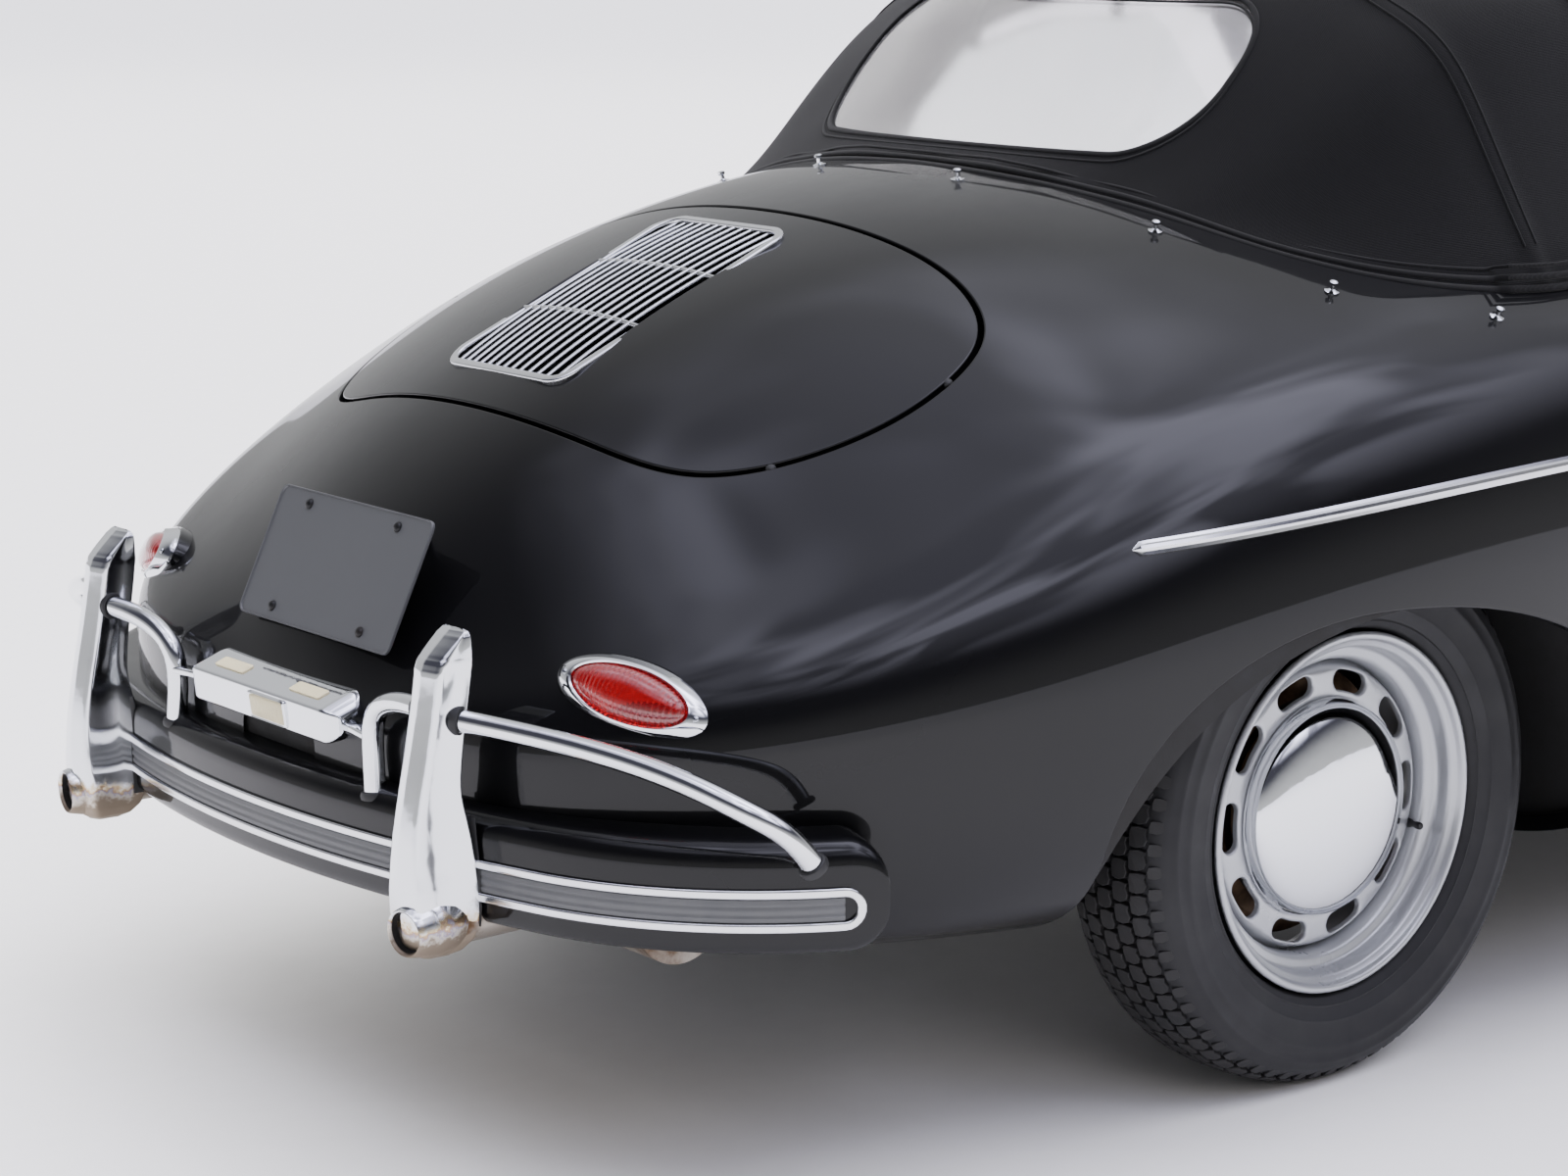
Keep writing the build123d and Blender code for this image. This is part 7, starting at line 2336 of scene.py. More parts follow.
# ------------------------------------------------------------------------------------------------ cabin
def swollen(made: Piece, cap: float, held_z: float | None = None, voxel: float = 0.006) -> None:
    """Fills a pad with simulated stuffing: an even mesh, blown up as cloth, each point's travel capped.

    Args:
        made: the pad, slightly smaller than its cover.
        cap: the most that a point may move.
        held_z: points below this height are pinned, where the pad rests on its frame.
        voxel: the even mesh's cell.
    """
    even = made.modifiers.new("even_mesh", "REMESH")
    even.mode, even.voxel_size = "VOXEL", voxel
    graph = bpy.context.evaluated_depsgraph_get()
    mesh = bpy.data.meshes.new_from_object(made.evaluated_get(graph))
    made.modifiers.clear()
    made.data = mesh
    start = read_vectors(mesh.vertices, "co")
    cloth = made.modifiers.new("stuffing", "CLOTH")
    cloth.settings.use_pressure = True
    cloth.settings.uniform_pressure_force = 4.0
    cloth.settings.effector_weights.gravity = 0.0
    cloth.point_cache.frame_start, cloth.point_cache.frame_end = 1, 20
    if held_z is not None:
        held = made.vertex_groups.new(name="held")
        held.add(np.flatnonzero(start[:, 2] < held_z).tolist(), 1.0, "REPLACE")
        cloth.settings.vertex_group_mass = "held"
    for number in range(1, 21):
        bpy.context.scene.frame_set(number)
    blown = made.evaluated_get(bpy.context.evaluated_depsgraph_get()).to_mesh()
    travel = read_vectors(blown.vertices, "co") - start
    length = np.linalg.norm(travel, axis=1, keepdims=True)
    travel *= np.minimum(1.0, cap * np.tanh(length / cap) / np.maximum(length, 1e-9))
    made.modifiers.clear()
    made.vertex_groups.clear()
    mesh.vertices.foreach_set("co", (start + travel).ravel())
    bpy.context.scene.frame_set(1)
    mesh.polygons.foreach_set("use_smooth", np.full(len(mesh.polygons), True))
    mesh.update()


def sewn(made: Piece, across: Array, middle: Array, facing: Array, spacing: float, count: int,
         half_run: float, along: Array, depth: float = 0.0065) -> None:
    """Pulls straight stitched channels into a pad's face.

    Depth falls off as a bell curve of the distance to the nearest seam, and fades towards the ends.

    Args:
        made: the pad.
        across: unit vector from seam to seam.
        middle: the face's middle.
        facing: unit vector out of the face.
        spacing: from seam to seam.
        count: how many seams.
        half_run: half a seam's length.
        along: unit vector along a seam.
        depth: how deep a seam lies.
    """
    mesh = made.data
    place, normal = read_vectors(mesh.vertices, "co"), read_vectors(mesh.vertices, "normal")
    offset = (place - middle) @ across / spacing + (count - 1) / 2
    nearest = np.clip(np.round(offset), 0, count - 1)
    gap = np.abs(offset - nearest) * spacing
    faced = np.clip((normal @ facing - 0.25) / 0.4, 0, 1)
    inside = np.clip((half_run - np.abs((place - middle) @ along)) / 0.02, 0, 1)
    sink = depth * np.exp(-(gap / 0.007)**2) * faced * inside
    mesh.vertices.foreach_set("co", (place - sink[:, None] * facing).astype(np.float32).ravel())
    mesh.update()
    finer = made.modifiers.new("smooth_cover", "SUBSURF")
    finer.levels = finer.render_levels = 1


def welted(name: str, made: Piece, loop: Array, finish: Finish, body: str, radius: float = 0.0042) -> Piece:
    """Lays a piped welt round a pad, on the points of its surface nearest to a loop."""
    snapped = np.array([made.closest_point_on_mesh(Vector(spot))[1][:] for spot in loop])
    snapped = np.stack([smoothed(v, even_weights(5), "wrap") for v in snapped.T], 1)
    middle = snapped.mean(0)
    return as_mesh(name, *ribbon(snapped, circle(radius, 10), unit(snapped - middle), closed_path=True), finish,
                   body, "leather")


@dataclass
class Cabin:
    """Two bucket seats, the small rear bench, steering wheel, instruments and levers."""

    seat_y: float = 0.340
    back_up: tuple[float, float, float] = (-0.3132, 0.0, 0.9497)
    hub: tuple[float, float, float] = (0.170, 0.365, 0.795)
    lean: float = 24.0
    dash_x: float = 0.300

    def pad(self, name: str, centre: Array, out: Array, along: Array, size: tuple[float, float, float],
            power: float, held_z: float | None, seams: int, lengthwise: bool) -> list[Piece]:
        """Makes one swollen pad with its channels and welt, and its twin on the other side.

        Args:
            name: the piece's name, before its side.
            centre: the foot's middle.
            out: the direction it faces.
            along: its long direction.
            size: half length, half width and height.
            power: how square its outline is.
            held_z: the height under which it is pinned.
            seams: how many channels.
            lengthwise: whether the channels run along it.
        """
        a, b, h = size
        out, along = unit(np.array(out)), unit(np.array(along))
        across = np.cross(out, along)
        part = oval_stack(centre, out, along, [
            (a - 0.020, b - 0.020, 0.0), (a - 0.004, b - 0.004, 0.010), (a, b, 0.024), (a, b, h - 0.026),
            (a - 0.006, b - 0.006, h - 0.010), (a - 0.024, b - 0.024, h)], count=120, power=power)
        made = as_mesh(f"{name}_left", *part, LEATHER, "chassis", "leather")
        swollen(made, cap=0.022, held_z=held_z)
        run, side, reach = (along, across, a) if lengthwise else (across, along, b)
        width = b if lengthwise else a
        sewn(made, side, np.array(centre) + h * out, out, 2 * width * 0.80 / (seams + 1), seams, reach * 0.80, run)
        c, s = superellipse(power, 150)
        loop = (np.array(centre) + (h - 0.004) * out + (a + 0.012) * c[:, None] * along
                + (b + 0.012) * s[:, None] * across)
        welt = welted(f"{name}_welt_left", made, loop, LEATHER_WELT, "chassis")
        pieces = [made, welt]
        for piece in (made, welt):
            points = read_vectors(piece.data.vertices, "co")
            sizes = np.empty(len(piece.data.polygons), np.int32)
            piece.data.polygons.foreach_get("loop_total", sizes)
            corners = np.empty(len(piece.data.loops), np.int32)
            piece.data.loops.foreach_get("vertex_index", corners)
            starts = np.concatenate([[0], np.cumsum(sizes)[:-1]])
            faces = [corners[starts[sizes == n][:, None] + np.arange(n)] for n in (3, 4) if (sizes == n).any()]
            finish = LEATHER if piece is made else LEATHER_WELT
            twin = as_mesh(piece.name.replace("_left", "_right"), *mirrored((points, faces)), finish, "chassis",
                           "leather")
            if piece is made:
                finer = twin.modifiers.new("smooth_cover", "SUBSURF")
                finer.levels = finer.render_levels = 1
            pieces.append(twin)
        return pieces

    def seats(self) -> list[Piece]:
        """Builds both seats: cushion, back, hard back shell, side irons and runners."""
        up = np.array(self.back_up)
        facing = np.array([up[2], 0.0, -up[0]])
        cushion = self.pad("seat_cushion", np.array([-0.020, self.seat_y, 0.268]), (-0.055, 0.0, 1.0),
                           (1.0, 0.0, 0.055), size=(0.192, 0.214, 0.140), power=7.0, held_z=0.285, seams=7,
                           lengthwise=True)
        foot = np.array([-0.3075, self.seat_y, 0.640]) - 0.088 * facing
        back = self.pad("seat_back", foot, facing, up, size=(0.222, 0.212, 0.076), power=4.6, held_z=None,
                        seams=7, lengthwise=True)
        for side, pads in (("left", (cushion[0], back[0])), ("right", (cushion[2], back[2]))):
            for one in pads:
                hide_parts(f"seat_{side}")
        shell = oval_stack(foot - 0.016 * facing, facing, up, [
            (0.225, 0.215, 0.0), (0.238, 0.228, 0.004), (0.242, 0.232, 0.012), (0.242, 0.232, 0.026),
            (0.236, 0.226, 0.030)], count=120, power=4.6)
        irons, rails = [], []
        for s in (-1, 1):
            y = self.seat_y + s * 0.2375
            iron = np.array([(-0.150, y, 0.300), (-0.215, y, 0.330), (-0.262, y, 0.400), (-0.300, y, 0.470)])
            irons.append(ribbon(b_spline(iron, 24), bar_section(0.012, -0.003, 0.003, 0.002, 0.002), LEFT))
            irons.append(lathe([(0.022, -0.005), (0.022, 0.003), (0.016, 0.006), (0.0, 0.0065)],
                               [-0.232, y, 0.350], [0.0, float(s), 0.0], 32))
            rail = np.array([(-0.250, self.seat_y + s * 0.150, 0.256), (0.190, self.seat_y + s * 0.150, 0.256)])
            rails.append(ribbon(rail, bar_section(0.014, -0.008, 0.008, 0.002, 0.002), UP))
        return [*cushion, *back,
                as_mesh("seat_back_shells", *both_sides(shell), LEATHER_WELT, "chassis", "leather"),
                as_mesh("seat_hinge_irons", *both_sides(*irons), CHROME, "chassis", "chrome"),
                as_mesh("seat_runners", *both_sides(*rails), BLACKED_SCREW, "chassis", "black_metal")]

    def bench(self) -> list[Piece]:
        """Builds the two thin cushions on the rear shelf."""
        pads = self.pad("bench_cushion", np.array([-0.770, 0.280, 0.5605]), UP, LEFT, size=(0.205, 0.116, 0.056),
                        power=6.0, held_z=0.574, seams=5, lengthwise=False)
        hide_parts("rear_bench")
        return pads

    def steering(self) -> list[Piece]:
        """Builds the wheel on its own body: moulded rim, three flat spokes, hub and plain button."""
        lean = math.radians(self.lean)
        way = np.array([-math.cos(lean), 0.0, math.sin(lean)])
        hub = np.array(self.hub)
        angle = np.linspace(0, 2 * math.pi, 28, endpoint=False)
        loop = np.stack([0.200 + 0.0105 * np.cos(angle), 0.0125 * np.sin(angle)], 1)
        rim = lathe(np.concatenate([loop, loop[:1]]), hub, way, 160)
        down = np.cross(way, LEFT)
        spokes = []
        for aim in (LEFT, -LEFT, down):
            line = hub + np.outer([0.026, 0.080, 0.140, 0.194], aim) + np.outer([-0.016, -0.013, -0.006, 0.0], way)
            wide = np.interp(np.linspace(0, 1, 24), [0, 0.5, 1], [1.25, 0.85, 1.1])
            spokes.append(ribbon(b_spline(line, 24), bar_section(0.011, -0.0035, 0.0035, 0.003, 0.003),
                                 way, scale=wide))
        core = lathe([(0.022, -0.040), (0.030, -0.034), (0.034, -0.012), (0.032, 0.000), (0.029, 0.004),
                      (0.0, 0.004)], hub, way, 48)
        button = lathe([(0.026, 0.001), (0.0265, 0.005), (0.023, 0.010), (0.012, 0.0135), (0.0, 0.0145)], hub, way, 48)
        ring = lathe([(0.0315, 0.0), (0.0320, 0.004), (0.0295, 0.0065), (0.0270, 0.005), (0.0270, 0.001)],
                     hub, way, 48)
        made = as_mesh("steering_rim_and_spokes", *join_parts([rim, *spokes, core]), BAKELITE, "steering_wheel",
                       "wheel_rim")
        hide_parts("steering_wheel")
        return [made, as_mesh("steering_button", *button, SEAL_RUBBER, "steering_wheel", "black_metal"),
                as_mesh("steering_button_ring", *ring, CHROME, "steering_wheel", "chrome")]

    def dials(self) -> list[Piece]:
        """Sets three round instruments before the driver, with ticks and needles but no wording."""
        bezels, cards, marks, panes = [], [], [], []
        out = -AHEAD
        for y, radius, ticks, pointing in ((0.365, 0.054, 31, 2.2), (0.247, 0.046, 13, 1.1), (0.483, 0.046, 25, 3.4)):
            foot = np.array([self.dash_x, y, 0.806])
            bezels.append(lathe([(radius + 0.004, -0.004), (radius + 0.005, 0.002),
                                 (radius + 0.002, 0.0065), (radius - 0.003, 0.0070),
                                 (radius - 0.004, 0.002), (radius - 0.004, -0.002)], foot, out, 64))
            cards.append(lathe([(radius - 0.003, -0.002), (radius - 0.003, 0.0008), (0.0, 0.0008)], foot, out, 64))
            panes.append(lathe([(radius - 0.004, 0.004), (radius - 0.004, 0.0048), (0.0, 0.0062)], foot, out, 48))
            turn = np.linspace(-2.1, 2.1, ticks)
            for number, at in enumerate(turn):
                aim = np.array([0.0, math.sin(at), math.cos(at)])
                short = 0.86 if number % 5 else 0.78
                line = foot + 0.0013 * out + np.outer([radius * short, radius * 0.92], aim)
                marks.append(ribbon(line, np.array([(-0.0006, -0.0003), (0.0006, -0.0003), (0.0006, 0.0003),
                                                    (-0.0006, 0.0003)]), out))
            aim = np.array([0.0, math.sin(pointing + math.pi), math.cos(pointing + math.pi)])
            line = foot + 0.0026 * out + np.outer([-0.2 * radius, 0.8 * radius], aim)
            marks.append(ribbon(line, np.array([(-0.0012, -0.0004), (0.0012, -0.0004), (0.0012, 0.0004),
                                                (-0.0012, 0.0004)]), out, scale=np.array([1.3, 0.5])))
            marks.append(dome_head(foot + 0.0022 * out, out, 0.0055, 0.003))
        return [as_mesh("dial_bezels", *join_parts(bezels), CHROME, "chassis", "chrome"),
                as_mesh("dial_faces", *join_parts(cards), SEAL_RUBBER, "chassis", "black_metal"),
                as_mesh("dial_marks", *join_parts(marks), DIAL_PAINT, "chassis", "wheel_rim", crease=60),
                as_mesh("dial_glasses", *join_parts(panes), GLASS, "chassis", "glass")]

    def facia(self) -> list[Piece]:
        """Adds the facia's padded top roll, knobs, locker lid with its strip and catch, gear lever with its knob and
        gaiter, and mirror.
        """
        out = -AHEAD
        y = np.linspace(-0.600, 0.600, 60)
        roll = np.stack([np.full(60, self.dash_x + 0.006), y, 0.872 - 0.030 * (y / 0.6)**2], 1)
        knobs = []
        for spot in (0.150, 0.105, 0.060, 0.015, -0.030, -0.075):
            knobs.append(lathe([(0.004, -0.002), (0.004, 0.014), (0.0105, 0.016), (0.0120, 0.022),
                                (0.0095, 0.028), (0.0, 0.0295)], [self.dash_x, spot, 0.768], out, 28))
        ring = bar_section(0.135, -0.038, 0.038, 0.014, 0.014, 6)
        rings = np.stack([np.stack([np.full(len(ring), self.dash_x - h), -0.330 + k * ring[:, 0],
                                    0.805 + k * ring[:, 1]], 1)
                          for k, h in ((1.0, -0.004), (1.0, 0.002), (0.985, 0.0038))])
        lid = loft(rings[:, ::-1])
        strip = ribbon([(self.dash_x - 0.0045, -0.458, 0.792), (self.dash_x - 0.0045, -0.202, 0.792)],
                       bar_section(0.0035, -0.001, 0.002, 0.0008, 0.0012), out)
        catch = lathe([(0.008, 0.0), (0.008, 0.008), (0.0060, 0.012), (0.0, 0.013)],
                      [self.dash_x - 0.003, -0.330, 0.826], out, 28)
        lever = ribbon(b_spline([(0.105, 0.0, 0.300), (0.098, 0.0, 0.380), (0.060, 0.0, 0.470),
                                 (0.045, 0.0, 0.520)], 30), circle(0.0065, 16), LEFT)
        gear = lathe([(0.007, -0.014), (0.013, -0.008), (0.0185, 0.004), (0.0175, 0.015), (0.011, 0.022),
                      (0.0, 0.0245)], [0.044, 0.0, 0.522], [-0.2, 0.0, 1.0], 32)
        gaiter = lathe([(0.046, -0.004), (0.044, 0.012), (0.030, 0.020), (0.032, 0.027), (0.019, 0.036),
                        (0.020, 0.042), (0.0095, 0.055), (0.0065, 0.056)], [0.106, 0.0, 0.292],
                       [-0.02, 0.0, 1.0], 32)
        mirror = oval_stack(np.array([0.232, 0.0, 1.092]), [-1.0, 0.0, -0.12], LEFT,
                            [(0.080, 0.024, -0.012), (0.089, 0.030, -0.006), (0.090, 0.031, 0.0),
                             (0.088, 0.029, 0.0015), (0.086, 0.027, 0.0006)], power=3.0)
        stem = ribbon(b_spline([(0.243, 0.0, 1.095), (0.262, 0.0, 1.112), (0.268, 0.0, 1.128),
                                (0.262, 0.0, 1.142)], 16), circle(0.0045, 12), LEFT)
        return [as_mesh("facia_top_roll", *ribbon(roll, circle(0.013, 20), AHEAD), LEATHER, "chassis",
                        "leather"),
                as_mesh("facia_knobs", *join_parts([*knobs, gear]), BAKELITE, "chassis", "wheel_rim"),
                as_mesh("facia_locker_lid", *lid, BLACK_ENAMEL, "chassis", "paint"),
                as_mesh("facia_strip_and_catch", *join_parts([strip, catch, lever]), CHROME, "chassis", "chrome"),
                as_mesh("gear_lever_gaiter", *gaiter, SEAL_RUBBER, "chassis", "black_metal"),
                as_mesh("interior_mirror", *join_parts([mirror, stem]), CHROME, "chassis", "chrome")]

    def build(self) -> list[Piece]:
        """Builds the cabin's pieces."""
        return [*self.seats(), *self.bench(), *self.steering(), *self.dials(), *self.facia()]


# ------------------------------------------------------------------------------------------------ windscreen
@dataclass
class Windscreen:
    """The screen's rubber, bright surround and wipers, on a sheet that curves about an upright axis and leans."""

    arc: float = 1.510
    foot_x: float = 0.550
    foot_z: float = 0.880
    lean: float = 300.0 / 245.0

    def on_sheet(self, y: Array, z: Array, off: float) -> tuple[Array, Array]:
        """Points `off` the sheet's mid surface: x is the foot less the arc's fall and the lean's run."""
        root = np.sqrt(self.arc**2 - y**2)
        x = self.foot_x - (self.arc - root) - (z - self.foot_z) * self.lean
        normal = unit(np.stack([np.ones(len(y)), y / root, np.full(len(y), self.lean)], 1))
        return np.stack([x, y, z], 1) + off * normal, normal

    def outline(self, grow: float, count: int = 360) -> tuple[Array, Array]:
        """The pane's outline in y and z: two crowned edges and two straight ones, corners averaged round."""
        s = np.linspace(0, 1, 200, endpoint=False)[:, None]
        foot, head = 0.592 + grow, 0.516 + grow
        low, high = 0.938 - grow, 1.112 + grow
        legs = [
            np.hstack([-foot + 2 * foot * s, low + 0.060 * (1 - (2 * s - 1)**2)]),
            np.hstack([foot + (head - foot) * s, low + (high - low) * s]),
            np.hstack([head - 2 * head * s, high + 0.040 * (1 - (2 * s - 1)**2)]),
            np.hstack([-head + (head - foot) * s, high + (low - high) * s])]
        line = np.concatenate(legs)
        line = np.concatenate([line, line[:1]])
        run = np.concatenate([[0.0], np.cumsum(np.linalg.norm(np.diff(line, axis=0), axis=1))])
        even = np.linspace(0, run[-1], count, endpoint=False)
        y, z = np.interp(even, run, line[:, 0]), np.interp(even, run, line[:, 1])
        soft = np.hanning(13)[1:-1] / np.hanning(13)[1:-1].sum()
        return smoothed(y, soft, "wrap"), smoothed(z, soft, "wrap")

    def surround(self) -> list[Piece]:
        """Lays the seal on both faces and the bright strip round it outside."""
        y, z = self.outline(0.002)
        seals = []
        for off in (0.0075, -0.0075):
            place, normal = self.on_sheet(y, z, off)
            seals.append(ribbon(place, circle(0.0075, 12), normal * (1 if off > 0 else -1), closed_path=True))
        y, z = self.outline(0.0125)
        low = z < 1.100
        first = int(np.argmax(low & ~np.roll(low, 1)))
        y, z, low = np.roll(y, -first), np.roll(z, -first), np.roll(low, -first)
        place, normal = self.on_sheet(y[low], z[low], 0.0122)
        strip = ribbon(place, bar_section(0.0065, -0.001, 0.0035, 0.0008, 0.003, 5), normal)
        return [as_mesh("windscreen_seals", *join_parts(seals), SEAL_RUBBER, "chassis", "black_metal"),
                as_mesh("windscreen_bright_strip", *strip, BRIGHT_ALUMINIUM, "chassis", "aluminium")]

    def wipers(self) -> list[Piece]:
        """Builds two parked wipers: spindle bosses, sprung arms, blade carriers and rubbers."""
        bright, rubbers = [], []
        for pivot_y, reach in ((0.330, 0.060), (-0.120, -0.390)):
            spot, up = HULL.over(np.array([0.600]), np.array([pivot_y]))
            foot, out = spot[0], up[0] * np.sign(up[0, 2])
            bright.append(lathe([(0.017, -0.004), (0.0165, 0.004), (0.010, 0.010), (0.0095, 0.020),
                                 (0.0, 0.022)], foot, out, 32))
            y = np.linspace(reach - 0.125, reach + 0.125, 30)
            blade, normal = self.on_sheet(y, 0.985 - 0.16 * y**2, 0.013)
            holder = blade + (0.008 + 0.006 * np.sin(np.linspace(0, math.pi, 30)))[:, None] * normal
            bright.append(ribbon(holder, bar_section(0.004, -0.002, 0.002, 0.0015, 0.0015), normal))
            rubbers.append(ribbon(blade, np.array([(-0.0015, -0.0095), (0.0015, -0.0095), (0.0035, 0.006),
                                                   (-0.0035, 0.006)]), normal))
            tip = holder[15] + 0.004 * normal[15]
            lift = foot + 0.017 * out
            arm = b_spline([lift, lift + (tip - lift) * 0.3 + 0.012 * out,
                            lift + (tip - lift) * 0.75 + 0.010 * out, tip], 30)
            wide = np.interp(np.linspace(0, 1, 30), [0, 0.35, 0.4, 1], [1.6, 1.4, 1.0, 0.8])
            bright.append(ribbon(arm, bar_section(0.0042, -0.0018, 0.0018, 0.0014, 0.0014), out, scale=wide))
        return [as_mesh("wiper_arms_and_carriers", *join_parts(bright), CHROME, "chassis", "chrome"),
                as_mesh("wiper_rubbers", *join_parts(rubbers), SEAL_RUBBER, "chassis", "black_metal")]

    def build(self) -> list[Piece]:
        """Builds the windscreen's fittings."""
        return [*self.surround(), *self.wipers()]


# ------------------------------------------------------------------------------------------------ front lamps
@dataclass
class FrontLamps:
    """Headlamps with fluted domed glasses over silvered bowls, and beehive indicators."""

    head: tuple[float, float, float] = (1.770, 0.600, 0.668)
    head_lean: float = 14.0
    blinker: tuple[float, float, float] = (1.838, 0.560, 0.520)

    def pair(self, name: str, part: Part, finish: Finish, slot: str, node: str | None = None) -> Piece:
        """Makes a left piece and its right twin one mesh, standing for a CAD node if one is named."""
        made = as_mesh(name, *both_sides(part), finish, "chassis", slot)
        if node:
            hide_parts(node)
        return made

    def build(self) -> list[Piece]:
        """Builds rims, glasses, bowls, bulbs, screws and both indicators; each is a profile turned."""
        lean = math.radians(self.head_lean)
        out = np.array([math.cos(lean), 0.0, math.sin(lean)])
        place = np.array(self.head)
        turn = np.linspace(0, math.pi / 2, 18)
        dome = np.stack([0.0862 * np.cos(turn)**0.9, 0.0135 + 0.0245 * np.sin(turn)], 1)
        dome[-1, 0] = 0.0
        rim = lathe([(0.0860, -0.038), (0.1030, -0.036), (0.1045, 0.000), (0.1040, 0.008), (0.1010, 0.0150),
                     (0.0960, 0.0200), (0.0905, 0.0225), (0.0875, 0.0220), (0.0860, 0.0185), (0.0860, -0.038)],
                    place, out, 96)
        glass = lathe(np.concatenate([[(0.0, 0.0120)], [(0.0862, 0.0120)], dome]), place, out, 96)
        bowl = lathe([(0.0, -0.050), (0.030, -0.046), (0.060, -0.030), (0.0858, 0.006), (0.0848, 0.0085),
                      (0.058, -0.026), (0.030, -0.041), (0.0, -0.046)], place, out, 72)
        bulb = lathe([(0.0, -0.046), (0.012, -0.046), (0.012, -0.034), (0.0095, -0.026), (0.0100, -0.018),
                      (0.0070, -0.010), (0.0, -0.008)], place, out, 28)
        screw = dome_head(place + 0.0175 * out + np.array([0.024, 0.0, -0.0957]), out, 0.004, 0.0025)
        aim = unit(np.array([math.cos(math.radians(25)), math.sin(math.radians(25)), math.sin(math.radians(5))]))
        foot = np.array(self.blinker)
        base = lathe([(0.0, -0.016), (0.0315, -0.016), (0.0325, 0.004), (0.0310, 0.0085), (0.0275, 0.0105),
                      (0.0262, 0.0095), (0.0262, 0.0060), (0.0, 0.0060)], foot, aim, 56)
        hive = lathe([(0.0, 0.0062), (0.0260, 0.0062), (0.0262, 0.0110), (0.0250, 0.0135), (0.0238, 0.0140),
                      (0.0240, 0.0175), (0.0226, 0.0200), (0.0212, 0.0205), (0.0212, 0.0240), (0.0192, 0.0265),
                      (0.0172, 0.0270), (0.0165, 0.0300), (0.0130, 0.0330), (0.0065, 0.0350), (0.0, 0.0355)],
                     foot, aim, 56)
        return [self.pair("headlamp_rims", rim, CHROME, "chrome", "headlight_rims"),
                self.pair("headlamp_glasses", glass, CLEAR_LENS, "glass", "headlight_lenses"),
                self.pair("headlamp_bowls", bowl, SILVERED_BOWL, "aluminium"),
                self.pair("headlamp_bulbs", bulb, LAMP_WHITE, "glass"),
                self.pair("headlamp_screws", screw, SCREW_STEEL, "chrome"),
                self.pair("indicator_bases", base, CHROME, "chrome"),
                self.pair("indicator_lenses", hive, AMBER_LENS, "amber", "indicators")]


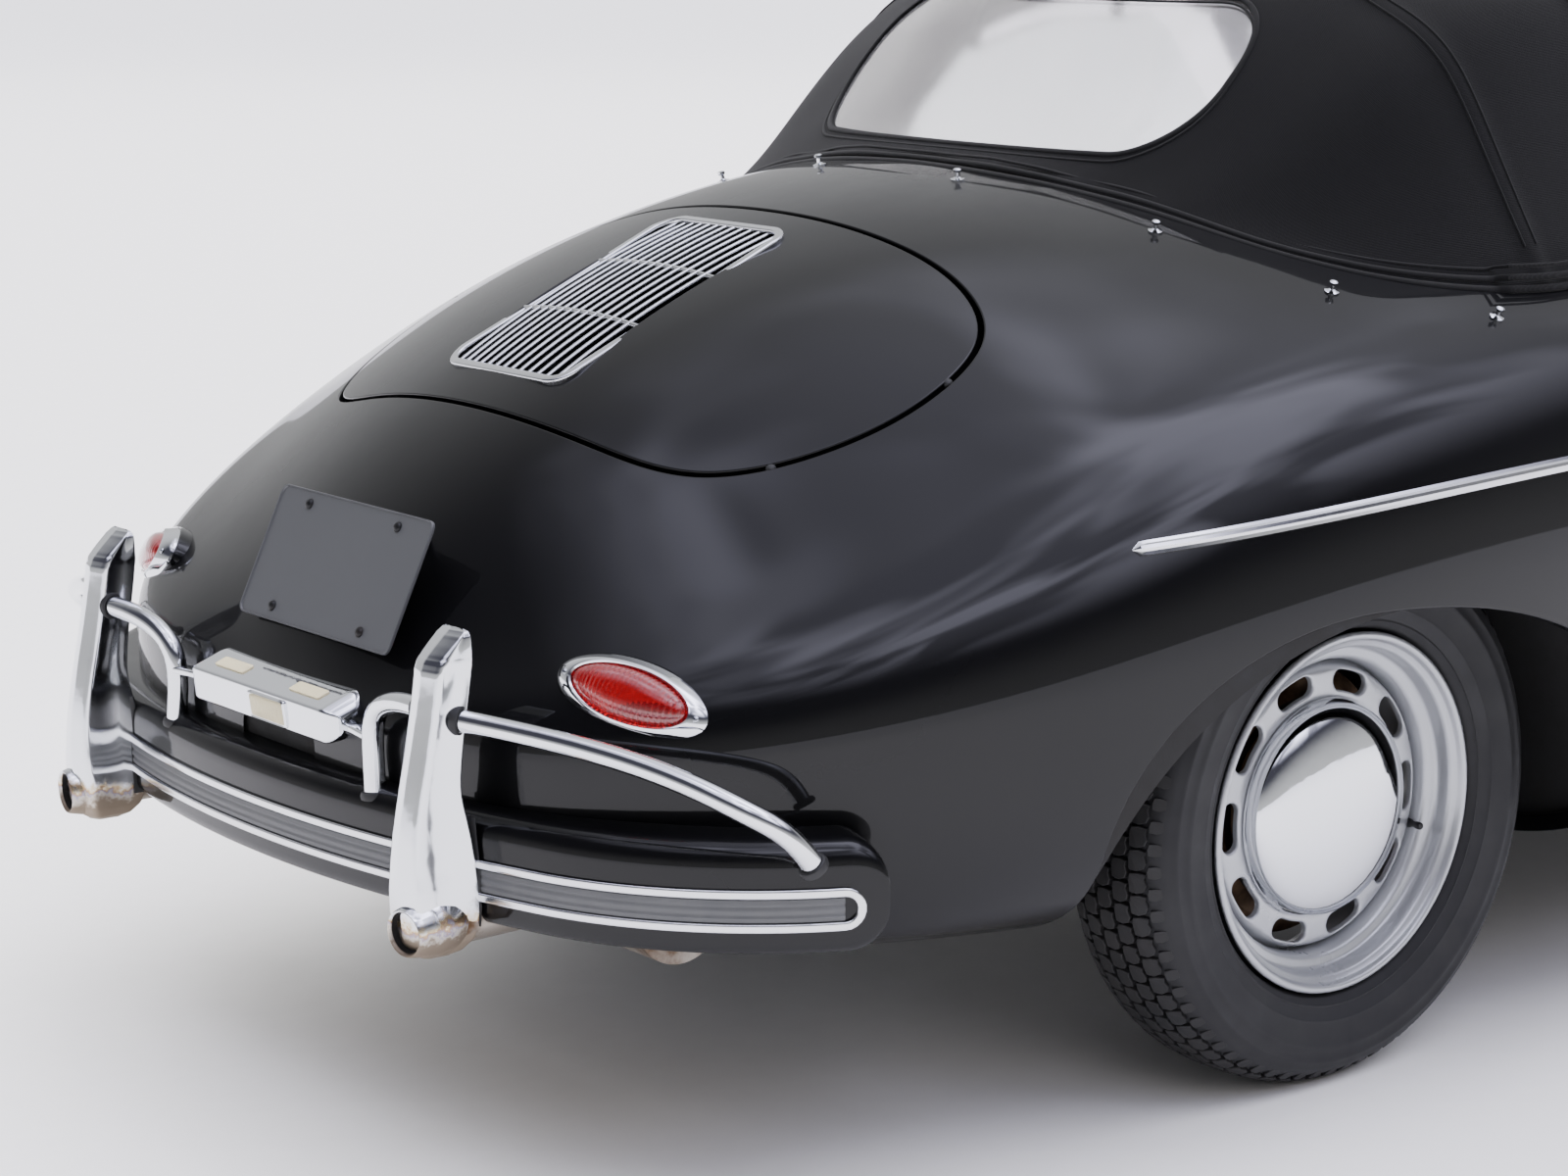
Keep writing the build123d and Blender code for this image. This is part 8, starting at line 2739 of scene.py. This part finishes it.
# ------------------------------------------------------------------------------------------------ studio
@dataclass(frozen=True)
class Studio:
    """A pale floor, a pale surround, broad soft lights and the camera."""

    eye: tuple[float, float, float] = (-3.824, -3.286, 1.390)
    yaw: float = 50.82
    pitch: float = -11.94
    roll: float = -0.23
    lens_mm: float = 81.61

    def build(self) -> None:
        """Places floor, world, lights and camera."""
        self.floor()
        self.surround()
        self.daylight()
        self.softbox("ceiling_softbox", (5.0, 6.0, 9.0), (1.5, 2.5, 0.0), size=(18.0, 18.0), watts=1500.0)
        self.softbox("side_softbox", (-3.4, -5.6, 3.4), (-0.6, -0.3, 0.5), size=(4.5, 2.4), watts=80.0)
        self.softbox("tail_softbox", (-6.0, 1.5, 3.2), (-1.2, 0.0, 0.5), size=(3.5, 2.4), watts=50.0)
        self.camera()

    def floor(self) -> None:
        """Lays a wide pale floor under the wheels."""
        mesh = bpy.data.meshes.new("studio_floor")
        corners = [(-80, -80, 0), (80, -80, 0), (80, 80, 0), (-80, 80, 0)]
        mesh.from_pydata(corners, [], [(0, 1, 2, 3)])
        made = bpy.data.objects.new("studio_floor", mesh)
        bpy.context.scene.collection.objects.link(made)
        mesh.materials.append(STUDIO_FLOOR.material())

    def surround(self) -> None:
        """Fills the world: a pale horizon, a wall bright beyond the car and dark opposite, a patchy glow above."""
        world = bpy.data.worlds.new("studio_surround")
        world.use_nodes = True
        back = world.node_tree.nodes["Background"]
        tree = world.node_tree
        axes = add_node(tree, "ShaderNodeTexCoord").outputs["Generated"]

        def band(aim: tuple[float, float, float], low: float, high: float) -> Socket:
            """A smooth share of how near a direction is to an aim, from one cosine to another."""
            ahead = add_node(tree, "ShaderNodeVectorMath", {0: axes, 1: tuple(unit(np.array(aim)))},
                             operation="DOT_PRODUCT")
            share = add_node(tree, "ShaderNodeMapRange", {"Value": ahead.outputs["Value"], "From Min": low,
                                                         "From Max": high}, interpolation_type="SMOOTHSTEP")
            return share.outputs["Result"]

        side = add_node(tree, "ShaderNodeMix", {0: band((0.62, 0.78, 0.06), 0.05, 0.85), 6: linear("4e4e58"),
                                               7: linear("f4f5f8")}, data_type="RGBA")
        tone = add_node(tree, "ShaderNodeMix", {0: band((0.0, 0.0, 1.0), 0.42, 0.0), 6: side.outputs[2],
                                               7: linear("e4e4e6")}, data_type="RGBA")
        cloud = add_node(tree, "ShaderNodeTexNoise", {"Vector": axes, "Scale": 2.6, "Detail": 2.0,
                                                     "Roughness": 0.45, "Distortion": 0.6})
        patchy = add_node(tree, "ShaderNodeMapRange", {"Value": cloud.outputs["Fac"], "From Min": 0.38,
                                                      "From Max": 0.62, "To Min": 0.25, "To Max": 1.0},
                          interpolation_type="SMOOTHSTEP")
        glow = add_node(tree, "ShaderNodeMath", {0: band((0.10, -0.22, 0.97), 0.60, 0.97),
                                                1: patchy.outputs["Result"]}, operation="MULTIPLY")
        lit = add_node(tree, "ShaderNodeVectorMath", {0: (5.2, 5.2, 6.5), 3: glow.outputs["Value"]}, operation="SCALE")
        whole = add_node(tree, "ShaderNodeVectorMath", {0: tone.outputs[2], 1: lit.outputs["Vector"]}, operation="ADD")
        tree.links.new(whole.outputs["Vector"], back.inputs["Color"])
        back.inputs["Strength"].default_value = 1.0
        bpy.context.scene.world = world

    def daylight(self) -> None:
        """Lights the whole floor evenly from high behind, as a very wide soft source."""
        lamp = bpy.data.lights.new("even_skylight", "SUN")
        lamp.energy, lamp.angle = 5.2, math.radians(110)
        made = bpy.data.objects.new("even_skylight", lamp)
        made.rotation_euler = Vector((0.35, 0.40, 1.0)).to_track_quat("Z", "Y").to_euler()
        made.visible_glossy = False
        bpy.context.scene.collection.objects.link(made)

    def softbox(self, name: str, place: tuple[float, float, float], aim: tuple[float, float, float],
                size: tuple[float, float], watts: float) -> None:
        """Hangs one rectangular soft light.

        Args:
            name: the light's name.
            place: its centre.
            aim: the point it faces.
            size: its two sides.
            watts: its power.
        """
        lamp = bpy.data.lights.new(name, "AREA")
        lamp.shape = "RECTANGLE"
        lamp.size, lamp.size_y = size
        lamp.energy = watts
        lamp.color = linear("fffaf5")[:3]
        made = bpy.data.objects.new(name, lamp)
        made.location = place
        made.visible_glossy = False
        made.rotation_euler = (Vector(aim) - Vector(place)).to_track_quat("-Z", "Y").to_euler()
        bpy.context.scene.collection.objects.link(made)

    def camera(self) -> None:
        """Sets the camera behind the right rear wing, looking along the tail."""
        lens = bpy.data.cameras.new("camera")
        lens.lens = self.lens_mm
        lens.sensor_width = 36.0
        lens.clip_end = 100.0
        made = bpy.data.objects.new("camera", lens)
        made.location = self.eye
        turn = Euler((math.radians(90 + self.pitch), 0.0, math.radians(self.yaw - 90)), "XYZ").to_matrix()
        made.rotation_euler = (turn @ Matrix.Rotation(math.radians(self.roll), 3, "Z")).to_euler()
        bpy.context.scene.collection.objects.link(made)
        bpy.context.scene.camera = made


CAD_FINISHES: dict[str, Finish] = {
    **dict.fromkeys(("front_body", "rear_body", "floor_tub"), UNDERSEAL),
    **dict.fromkeys(("door_left", "door_right", "front_lid", "engine_lid", "windscreen_frame", "dashboard"),
                    BLACK_ENAMEL),
    **dict.fromkeys(("windscreen_glass", "door_glass_left", "door_glass_right"), GLASS),
    **dict.fromkeys(("steering_column", "knuckle_left", "knuckle_right", "rear_axle", "front_axle"), AXLE_STEEL),
    "engine_block": CAST_ALLOY, "exhaust": MUFFLER_STEEL,
}


def dress_cad() -> None:
    """Gives each CAD node that stays in view its finish; its mesh is left alone."""
    for node, finish in CAD_FINISHES.items():
        made = bpy.data.objects.get(node)
        if made is None:
            continue
        slots = made.data.materials
        if not slots:
            slots.append(finish.material())
        for i in range(len(slots)):
            slots[i] = finish.material()


def main() -> None:
    """Builds every sub-assembly in order and reports its pieces."""
    logging.basicConfig(level=logging.INFO, format="%(message)s")
    dress_cad()
    for assembly in (
            Cabin(), BodyShell(), Lids(), RearLamps(),
            Bumper(rear=True, face_x=-1.902, centre_z=0.356, first_radius=1.556, first_turn=16.8,
                   second_radius=0.405, second_turn=69.4, strip_rise=-0.010),
            Bumper(rear=False, face_x=1.957, centre_z=0.360, horn_y=0.300),
            CanvasTop(), Trim(), Windscreen(), FrontLamps(),
            *(Wheel(f"wheel_{end}_{name}", x, y, side)
              for end, x, y in (("front", FRONT_AXLE_X, FRONT_WHEEL_Y), ("rear", REAR_AXLE_X, REAR_WHEEL_Y))
              for name, side in SIDES.items())):
        for piece in assembly.build():
            log.info("%s: %s has %d faces", type(assembly).__name__, piece.name, len(piece.data.polygons))
    Studio().build()


if __name__ == "__main__":
    main()
